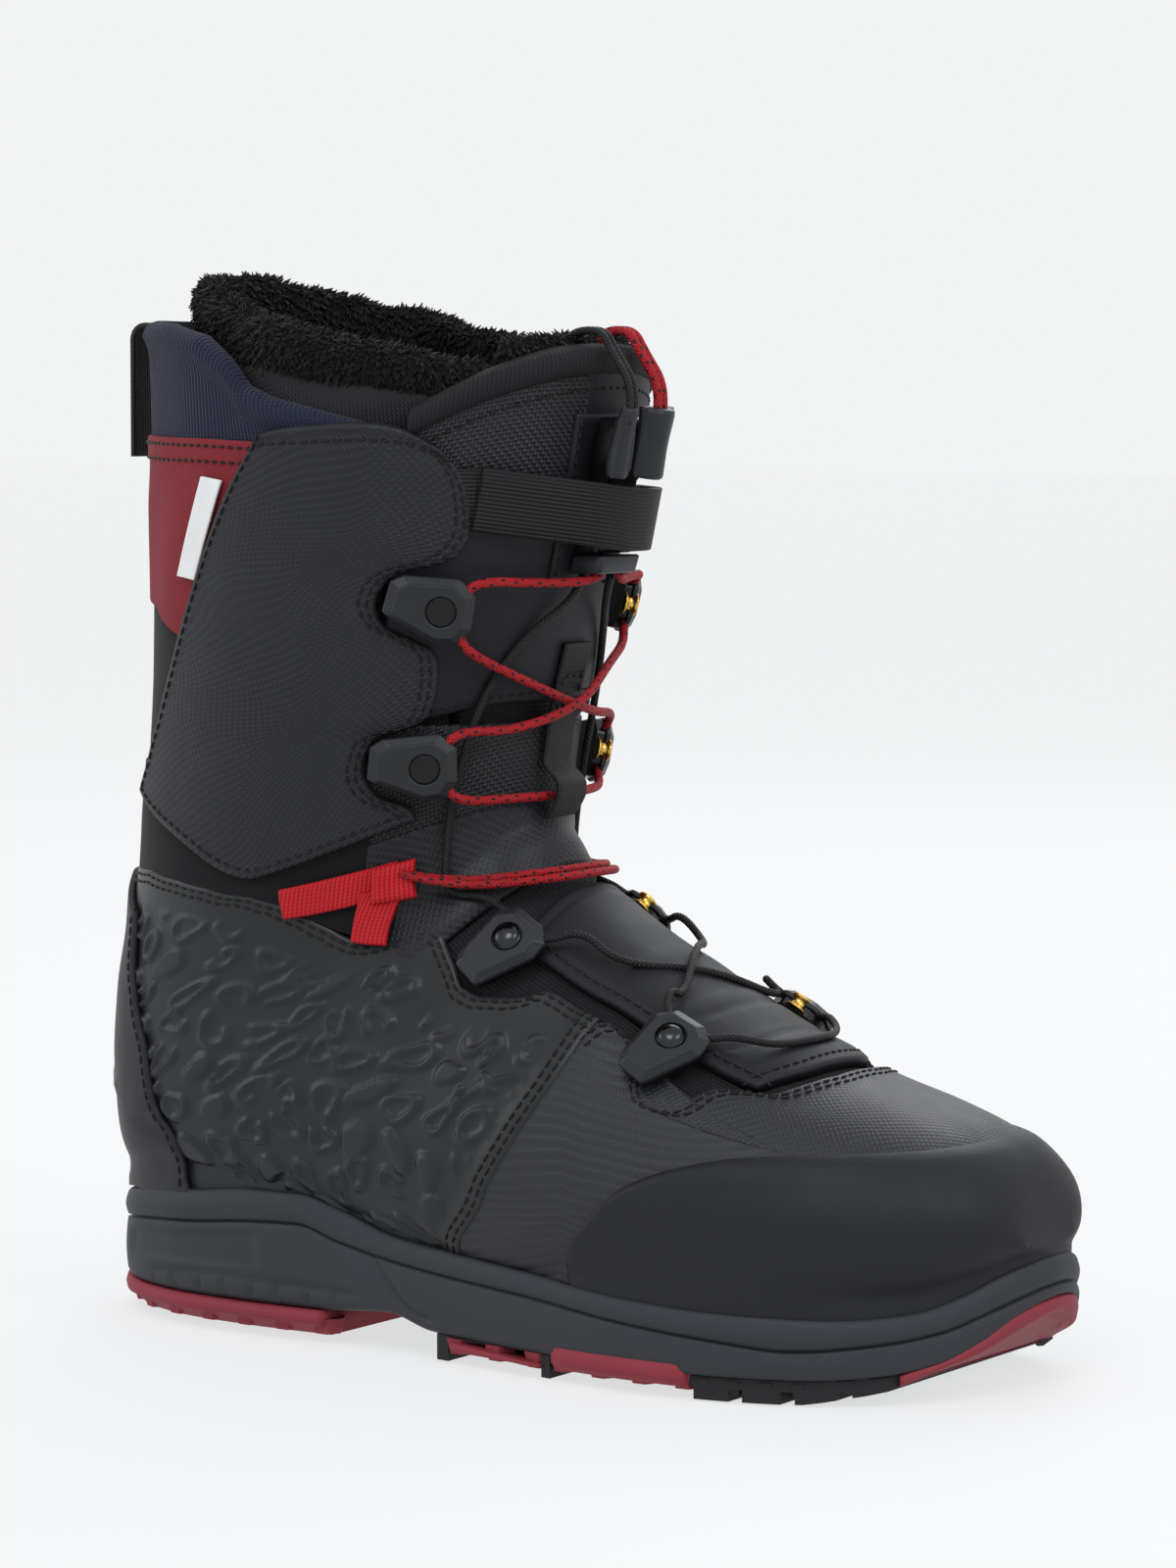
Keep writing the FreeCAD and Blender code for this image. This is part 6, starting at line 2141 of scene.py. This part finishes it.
# Each row of hooks: x, z, depth of its seat, tilt, whether its rivet is domed, and its body.
HOOK_ROWS = {
    "cuff_hooks_upper": (-19.5, 200, 2.9, 0.0, False, "shaft"),
    "cuff_hooks_lower": (-27, 157.5, 3.1, 4.0, False, "shaft"),
    "mid_hooks": (-1, 106.5, 1.2, 0.0, True, "foot"),
    "low_hooks": (50, 83, 1.2, 0.0, True, "foot"),
}


@dataclass
class Hardware:
    """All lace hooks, the lace lock on the tongue and its gate."""

    hooks: dict[tuple[str, Side], LaceHook] = field(default_factory=dict)

    def __post_init__(self) -> None:
        """Sets out the eight hooks."""
        for row, (x, z, depth, tilt, domed, body) in HOOK_ROWS.items():
            for side in Side:
                name = f"{row}_{side.name.lower()}"
                seat = Seat(x, z, depth, side, tilt)
                self.hooks[row, side] = LaceHook(name, seat, domed, body)

    @staticmethod
    def leaning(name: str, sections: Sequence[tuple[float, float, float, float, float]],
                finish: Finish) -> Piece:
        """A block that leans with the tongue, given as level sections from low to high.

        Args:
            name: the piece's name.
            sections: (z, low depth, high depth, half width, rounding of the corners).
            finish: the surface finish.

        Returns:
            The piece.
        """
        points = []
        steps = 6
        for z, back, face, half, round_mm in sections:
            corners = [(back, -half, 0), (face, -half, 1), (face, half, 1), (back, half, 0)]
            for depth, y, soft in corners:
                radius = round_mm if soft else 0.3
                cd = depth + (radius if depth == back else -radius)
                cy = y + (radius if y < 0 else -radius)
                first = {(0, -1): math.pi, (1, -1): 1.5 * math.pi, (1, 1): 0.0,
                         (0, 1): 0.5 * math.pi}[(soft, -1 if y < 0 else 1)]
                for k in range(steps):
                    t = first + 0.5 * math.pi * k / (steps - 1)
                    points.append(on_tongue(cd + radius * math.cos(t),
                                            LOCK_Y + cy + radius * math.sin(t), z))
        faces = ring_faces(len(sections), 4 * steps)
        return outward(make_piece(name, np.array(points), faces, finish))

    def lock(self) -> list[Piece]:
        """Lace lock: base plate, necked glossy housing and the grey gate under it."""
        housing = self.leaning("lace_lock_housing", [
            (212.6, 1.7, 8.6, 8.2, 1.0), (213.2, 1.7, 9.3, 9.0, 1.4), (226.0, 1.7, 9.4, 9.0, 1.6),
            (228.0, 1.7, 8.0, 7.4, 1.6), (231.5, 1.7, 7.6, 6.8, 1.6), (234.0, 1.7, 8.6, 8.2, 1.6),
            (236.0, 1.7, 9.2, 8.8, 1.8), (245.0, 1.7, 9.2, 8.8, 2.2), (247.8, 1.7, 8.4, 8.2, 2.4),
            (248.9, 1.7, 7.0, 7.0, 2.4)], BLACK_NYLON)
        gate = self.leaning("lace_lock_gate_plate", [
            (207.2, 1.9, 10.4, 9.0, 1.6), (207.6, 1.9, 11.0, 9.6, 1.9),
            (211.6, 1.9, 11.3, 9.9, 2.0), (212.1, 1.9, 10.8, 9.4, 1.8)], GREY_NYLON)
        base = Patch("lace_lock_seat", [(shaft(205), 0.22), (shaft(205), -0.24)],
                     [(shaft(250), 0.22), (shaft(250), -0.24)], SMOOTH_LEATHER, (0.1, 1.6),
                     pitch=1.5)
        seat = base.build()
        for side in (2, 3):
            STITCHING.sew("shaft", base.seam(side, 1.4))
        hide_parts("lace_lock_body")
        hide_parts("lace_lock_gate")
        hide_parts("lace_lock_base")
        return [housing, gate, seat]

    def build(self) -> None:
        """Makes every hook and the lock."""
        for (row, side), hook in self.hooks.items():
            parts = hook.build()
            if side is Side.LATERAL:
                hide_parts(row)
                if row == "cuff_hooks_upper":
                    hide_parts("cuff_rivets")
                    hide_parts("cuff_eyelets")
                if row == "mid_hooks":
                    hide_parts("lower_rivets")
                    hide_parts("lower_eyelets")
            LOG.info("piece %s", hook.name)
        for piece in self.lock():
            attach(piece, "shaft")
            LOG.info("piece %s", piece.name)


HANDLE_TOP, HANDLE_LOW = 252.0, 233.0


@dataclass(frozen=True)
class Grip:
    """Sizes of one pull handle: its place, its barrel and its wings by height."""

    y_middle: float
    lift: float
    barrel: float
    wings: tuple[tuple[float, float], ...]
    tail_x: float
    cord_r: float
    spread: float
    cord: Finish


GRIPS = {
    "red": Grip(4.2, 10.6, 5.7, ((-0.5, 5.9), (-0.2, 6.1), (0.1, 6.0), (0.3, 6.6), (0.5, 7.4)),
                4.8, 1.25, 1.3, RED_CORD),
    "black": Grip(-9.6, 10.6, 3.4, ((-0.5, 3.9), (-0.3, 5.0), (-0.1, 4.9), (0.2, 3.9), (0.5, 3.2)),
                  3.8, 1.0, 1.15, BLACK_CORD),
}
APEX = (11.5, 271.8)


@dataclass
class PullHandles:
    """The two pull handles with their doubled cords over the tongue's top edge."""

    wall: float = 1.7

    def handle(self, colour: str, grip: Grip) -> Piece:
        """A barrel with two flat wings, hollow from below."""
        height = HANDLE_TOP - HANDLE_LOW
        middle = on_tongue(grip.lift, grip.y_middle, (HANDLE_TOP + HANDLE_LOW) / 2)
        lean = Vector((LOCK_LEAN, 0, 1)).normalized()
        out = Vector((1, 0, -LOCK_LEAN)).normalized()
        steps = 33
        wing = Monotone(grip.wings)
        outer = [(-0.5, 0.9), (-0.48, 0.97), (-0.44, 1.0), (-0.3, 0.98), (-0.1, 0.95), (0.1, 0.96),
                 (0.3, 1.0), (0.42, 1.02), (0.48, 0.98), (0.5, 0.88)]
        inner = [(0.5, 0.3), (0.3, 0.35), (0.2, 0.6), (-0.3, 0.7), (-0.5, 0.72)]
        points = []
        for number, (share, size) in enumerate(outer + inner):
            wide = float(wing(share)) * min(1.0, size + 0.04)
            hollow = number >= len(outer)
            reach = grip.barrel * size
            for k in range(steps):
                turn = -math.pi / 2 + math.pi * k / (steps - 1)
                y = (reach if hollow else wide) * math.sin(turn)
                x = math.sqrt(max(reach * reach - y * y, 0.0))
                if not hollow and 0 < k < steps - 1:
                    x = max(x, self.wall)
                points.append(middle + lean * (share * height) + out * x + Vector((0, y, 0)))
        rows = len(outer) + len(inner)
        faces = grid_faces(rows, steps)
        last = (rows - 1) * steps
        faces += [(last + k, last + k + 1, k + 1, k) for k in range(steps - 1)]
        faces.append(tuple(k * steps for k in range(rows)))
        faces.append(tuple(k * steps + steps - 1 for k in reversed(range(rows))))
        return outward(make_piece(colour + "_grip", np.array(points), faces, GREY_NYLON))

    def build(self) -> None:
        """Makes the handles, their cords and the cord tails behind the tongue."""
        for colour, grip in GRIPS.items():
            handle = self.handle(colour, grip)
            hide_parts(colour + "_pull_handle")
            rises, falls = [], []
            for y in (grip.y_middle - grip.spread, grip.y_middle + grip.spread):
                rises.append(spline_points([
                    on_tongue(grip.lift + 2.2, y, 247.0), on_tongue(grip.lift + 2.3, y, 256),
                    Vector((18.2, y, 266.5)), Vector((15.2, y, 271.8)),
                    Vector((APEX[0], y, APEX[1]))]))
                falls.append(spline_points([
                    Vector((APEX[0], y, APEX[1])), Vector((grip.tail_x + 3.2, y, APEX[1])),
                    Vector((grip.tail_x + 0.2, y, 268.5)), Vector((grip.tail_x, y, 261.0))]))
            cords = tube(colour + "_handle_cord", rises, grip.cord_r, grip.cord)
            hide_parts(colour + "_pull_cord")
            tails = tube(colour + "_cord_tails", falls, grip.cord_r, grip.cord)
            if colour == "red":
                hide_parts("pull_cord_tails")
            for piece, body in ((handle, colour + "_handle"), (cords, colour + "_handle"),
                                (tails, "shaft")):
                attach(piece, body)
                LOG.info("piece %s", piece.name)


@dataclass
class PowerStrap:
    """Coarse webbing strap across the top of the tongue, over the lace lock."""

    half: float = 8.4
    thick: float = 1.7
    height: float = 221.5
    rise: float = 6.0
    rise_share: float = 0.45

    PLAN = [(-7.0, -38.6), (4.0, -27.0), (13.5, -16.0), (17.0, -8.5), (18.2, 1.0), (17.0, 11.0),
            (10.5, 21.0), (0.0, 33.0), (-12.0, 46.0)]

    def build(self) -> None:
        """Sweeps the webbing's section along its plan."""
        line = spline_points([Vector((x, y, 0)) for x, y in self.PLAN], 10)
        steps = np.linalg.norm(np.diff(line, axis=0), axis=1)
        line = line[np.concatenate([[True], steps > 1e-4])]
        run = lengths_along(line)
        way = np.gradient(line, axis=0)
        way /= np.linalg.norm(way, axis=1, keepdims=True)
        section = [(-1.0, 0.2), (-0.97, 0.0), (-0.5, 0.0), (0.5, 0.0), (0.97, 0.0), (1.0, 0.2),
                   (1.0, 0.8), (0.97, 1.0), (0.5, 1.0), (0.0, 1.0), (-0.5, 1.0), (-0.97, 1.0),
                   (-1.0, 0.8)]
        points, lays = [], []
        for centre, along, length in zip(line, way, run):
            out = np.array([along[1], -along[0], 0])
            middle = self.height + self.rise * max(0.0, 1 - length / run[-1] / self.rise_share)
            for share, height in section:
                z = middle + self.half * share
                points.append(centre + out * (height * self.thick)
                              + np.array([LOCK_LEAN * (z - 222), 0, z]))
                lays.append((length, self.half * share))
        faces = ring_faces(len(line), len(section))
        strap = outward(make_piece("power_strap_webbing", np.array(points), faces, WEBBING,
                                   np.array(lays)))
        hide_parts("power_strap")
        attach(strap, "strap")
        spots = FORM.spots
        root = Patch("power_strap_root", spots((-17, 219.6), (-4.6, 219.4)),
                     spots((-17, 235.6), (-1.8, 235.8)), WEBBING, (0.6, 2.3), pitch=1.2,
                     rounding=0.5).build()
        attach(root, "shaft")
        for piece in (strap, root):
            LOG.info("piece %s", piece.name)


# ------------------------------------------------------------------ laces


@dataclass
class Lacing:
    """Red upper lace, black lower lace with its risers, and the doubled ankle cord."""

    hardware: Hardware
    inside: float = 6.4
    red_r: float = 1.25
    black_r: float = 1.05

    def near(self, row: str, side: Side, x: float, y: float, z: float) -> Vector:
        """A point close to a hook, from the middle of its lace tunnel."""
        hook = self.hardware.hooks[row, side]
        return hook.seat.point(hook.tunnel_x + x, y, z)

    def through(self, row: str, side: Side, upwards: bool) -> list[Vector]:
        """Both ends of the lace's run round a hook's pulley."""
        height = self.hardware.hooks[row, side].tunnel_z
        run = [self.near(row, side, 0, -self.inside, height),
               self.near(row, side, 0, self.inside, height)]
        return run if upwards else run[::-1]

    def red_route(self) -> list[Vector]:
        """Route of the red lace from the lock, through four hooks and back."""
        lateral, medial_side = Side.LATERAL, Side.MEDIAL
        upper, lower = "cuff_hooks_upper", "cuff_hooks_lower"
        return ([on_tongue(8.5, LOCK_Y - 4, 207.4), on_tongue(8.2, LOCK_Y - 6.5, 205.0),
                 skin_point(shaft(206), 0.36, 4.0), self.near(upper, lateral, 6, 9.4, 2.4)]
                + self.through(upper, lateral, False)
                + [self.near(upper, lateral, 5, -11, 2.4), skin_point(shaft(181), 0.36, 3.8),
                   skin_point(shaft(173), 0.0, 5.0), skin_point(shaft(169), -0.34, 4.0),
                   self.near(lower, medial_side, 5, 10.5, 2.4)]
                + self.through(lower, medial_side, False)
                + [self.near(lower, medial_side, 5, -10, 2.4), skin_point(fan(73), -0.38, 4.0),
                   skin_point(fan(70), 0.0, 3.0), skin_point(fan(73), 0.38, 4.0),
                   self.near(lower, lateral, 5, -10, 2.4)]
                + self.through(lower, lateral, True)
                + [self.near(lower, lateral, 6, 9.4, 2.4), skin_point(shaft(166), 0.34, 4.2),
                   skin_point(shaft(173), 0.0, 8.2), skin_point(shaft(183), -0.36, 4.6),
                   self.near(upper, medial_side, 5, -11, 2.4)]
                + self.through(upper, medial_side, True)
                + [self.near(upper, medial_side, 6, 9.4, 2.4), skin_point(shaft(206), -0.36, 4.0),
                   on_tongue(8.2, LOCK_Y + 6.5, 205.0), on_tongue(8.5, LOCK_Y + 4, 207.4)])

    def black_route(self) -> list[Vector]:
        """Route of the black lace through the mid and the low hooks."""
        lateral, medial_side = Side.LATERAL, Side.MEDIAL
        mid, low = "mid_hooks", "low_hooks"
        return ([self.near(mid, lateral, 0, 10.5, 2.9), self.near(mid, lateral, 0, 2, 2.9),
                 self.near(mid, lateral, 0, -7.6, 2.9), self.near(mid, lateral, 10, -12.5, 2.4),
                 skin_point(fan(2), 0.42, 3.4), skin_point(toe(42), 0.0, 3.2),
                 skin_point(toe(52), -0.42, 3.4), self.near(low, medial_side, 8, 12, 2.4)]
                + self.through(low, medial_side, False)
                + [self.near(low, medial_side, 6, -11, 2.4), skin_point(toe(72), -0.28, 3.4),
                   skin_point(toe(75), 0.0, 3.2), skin_point(toe(72), 0.28, 3.4),
                   self.near(low, lateral, 6, -11, 2.4)]
                + self.through(low, lateral, True)
                + [self.near(low, lateral, 8, 12, 2.4), skin_point(toe(46), 0.36, 3.8),
                   skin_point(toe(36), 0.0, 6.4), skin_point(fan(3), -0.42, 3.8),
                   self.near(mid, medial_side, 10, -12.5, 2.4),
                   self.near(mid, medial_side, 0, -7.6, 2.9),
                   self.near(mid, medial_side, 0, 2, 2.9),
                   self.near(mid, medial_side, 0, 10.5, 2.9)])

    def riser_routes(self) -> list[list[Vector]]:
        """Routes of the thin cords from the mid hooks up to the lock."""
        routes = []
        for side in Side:
            way = side.value
            routes.append([
                self.near("mid_hooks", side, 0, 10.6, 2.9),
                self.near("mid_hooks", side, 0.4, 15.5, 2),
                skin_point(fan(53), 0.70 * way, 1.4), skin_point(fan(62), 0.66 * way, 1.5),
                skin_point(fan(79), 0.62 * way, 1.6), skin_point(shaft(176), 0.50 * way, 1.7),
                skin_point(shaft(192), 0.30 * way, 1.8), on_tongue(4.0, LOCK_Y - 7.0 * way, 201),
                on_tongue(4.2, LOCK_Y - 7.0 * way, 207)])
        return routes

    def build(self, flex: FlexZone) -> None:
        """Makes the laces."""
        red = tube("red_lace_cord", [spline_points(self.red_route())], self.red_r, RED_CORD)
        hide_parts("red_lace")
        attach(red, "shaft")
        black = tube("black_lace_cord", [spline_points(self.black_route())], self.black_r,
                     BLACK_CORD)
        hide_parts("black_lace")
        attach(black, "foot")
        risers = tube("black_lace_riser_cords", [spline_points(r) for r in self.riser_routes()],
                      self.black_r, BLACK_CORD)
        flex.bend(risers, "black_lace_risers")
        strands = []
        for shift in (0.0, 4.0):
            half = [(*FORM.spot(-31, 128), 3.6), (fan(54 - shift / 2), 0.66, 5.0),
                    (fan(43 - shift), 0.36, 4.2)]
            other = [(s, -a, depth) for s, a, depth in half[::-1]]
            places = half + [(fan(38 - shift), 0.0, 3.4)] + other
            strands.append(spline_points([skin_point(s, a, depth + 0.2 * shift)
                                          for s, a, depth in places]))
        ankle = tube("ankle_cord_strands", strands, 1.15, RED_CORD)
        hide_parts("ankle_cord")
        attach(ankle, "foot")
        for piece in self.webbing():
            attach(piece, "foot")
            LOG.info("piece %s", piece.name)
        for piece in (red, black, ankle):
            LOG.info("piece %s", piece.name)

    def webbing(self) -> list[Piece]:
        """Red webbing loops at the ankle, with a leg folded down in front of each."""
        made = []
        spots = FORM.spots
        for side in Side:
            low, high = spots((-62, 114.5), (-35, 121)), spots((-63, 122.5), (-32, 131))
            leg_low, leg_high = spots((-43, 109), (-33, 108)), spots((-41, 122), (-29, 126))
            knot_low, knot_high = spots((-38, 119), (-27, 121)), spots((-38, 129), (-28, 132))
            edges = [low, high, leg_low, leg_high, knot_low, knot_high]
            if side is Side.MEDIAL:
                edges = [medial(e) for e in edges]
            word = side.name.lower()
            band = Patch("ankle_band_" + word, edges[0], edges[1], RED_WEBBING, (0.3, 1.9),
                         pitch=1.0, rounding=0.8)
            leg = Patch("ankle_leg_" + word, edges[2], edges[3], RED_WEBBING, (1.4, 3.0),
                        pitch=1.0, rounding=0.8)
            knot = Patch("ankle_fold_" + word, edges[4], edges[5], RED_WEBBING, (2.2, 4.4),
                         pitch=1.0, rounding=1.6)
            pieces = [band.build(), leg.build(), knot.build()]
            if side is Side.LATERAL:
                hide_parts("ankle_webbing")
            made += pieces
        return made


# ------------------------------------------------------------------ studio


@dataclass
class Studio:
    """Camera, soft lights and a flat pale floor."""

    azimuth: float = 33.0
    elevation: float = 4.4
    distance: float = 1.4
    target: tuple[float, float, float] = (0.004, 0.0, 0.1505)
    lens: float = 119.7

    def camera(self) -> None:
        """Places the camera on the boot's lateral front quarter."""
        a, e = math.radians(self.azimuth), math.radians(self.elevation)
        back = Vector((math.sin(a) * math.cos(e), -math.cos(a) * math.cos(e), math.sin(e)))
        data = bpy.data.cameras.new("camera")
        data.lens, data.sensor_width = self.lens, 36.0
        data.clip_start, data.clip_end = 0.05, 30.0
        made = bpy.data.objects.new("camera", data)
        made.rotation_mode = "QUATERNION"
        made.location = Vector(self.target) + back * self.distance
        made.rotation_quaternion = (-back).to_track_quat("-Z", "Y")
        bpy.context.scene.collection.objects.link(made)
        bpy.context.scene.camera = made

    @staticmethod
    def light(name: str, place: tuple[float, float, float], size: float, power: float) -> None:
        """A square soft light that faces the boot."""
        data = bpy.data.lights.new(name, "AREA")
        data.energy, data.size, data.shape = power, size, "SQUARE"
        data.color = (0.92, 0.95, 1.0)
        made = bpy.data.objects.new(name, data)
        made.location = place
        made.rotation_mode = "QUATERNION"
        made.rotation_quaternion = (Vector((0, 0, 0.14)) - Vector(place)).to_track_quat("-Z", "Y")
        bpy.context.scene.collection.objects.link(made)

    @staticmethod
    def floor() -> None:
        """Matt floor sheet."""
        work = bmesh.new()
        bmesh.ops.create_grid(work, x_segments=2, y_segments=2, size=12.0)
        mesh = bpy.data.meshes.new("floor")
        work.to_mesh(mesh)
        work.free()
        made = bpy.data.objects.new("floor", mesh)
        made.location = (0, 0, -0.0005)
        bpy.context.scene.collection.objects.link(made)
        paint = bpy.data.materials.new("Studio_floor")
        paint.use_nodes = True
        shader = paint.node_tree.nodes["Principled BSDF"]
        shader.inputs["Base Color"].default_value = (0.16, 0.16, 0.16, 1.0)
        shader.inputs["Roughness"].default_value = 0.8
        shader.inputs["Specular IOR Level"].default_value = 0.1
        shader.inputs["Emission Color"].default_value = linear("F4F5F6")
        shader.inputs["Emission Strength"].default_value = 0.76
        mesh.materials.append(paint)

    def build(self) -> None:
        """Sets up the camera, the lights, the world and the floor."""
        self.camera()
        self.light("key", (0.5, -1.4, 1.7), 0.9, 16.0)
        self.light("fill", (-1.7, -0.9, 0.8), 1.0, 7.0)
        self.light("front", (1.6, -0.2, 1.2), 0.9, 10.5)
        self.light("rim", (-0.4, 1.5, 1.3), 1.0, 9.0)
        world = bpy.data.worlds.new("studio")
        world.use_nodes = True
        back = world.node_tree.nodes["Background"]
        back.inputs["Color"].default_value = linear("F5F6F7")
        back.inputs["Strength"].default_value = 0.97
        scene = bpy.context.scene
        scene.world = world
        scene.view_settings.view_transform = "Standard"
        self.floor()


def main() -> None:
    """Builds every sub-assembly in order."""
    logging.basicConfig(level=logging.INFO, format="%(message)s")
    Studio().build()
    flex = FlexZone()
    hardware = Hardware()
    for piece in SOLE.build():
        LOG.info("piece %s", piece.name)
    Liner().build()
    LowerUpper().build()
    flex.build()
    Cuff().build()
    Tongue().build()
    hardware.build()
    PullHandles().build()
    PowerStrap().build()
    Lacing(hardware).build(flex)
    for piece in STITCHING.build():
        LOG.info("piece %s", piece.name)


if __name__ == "__main__":
    main()
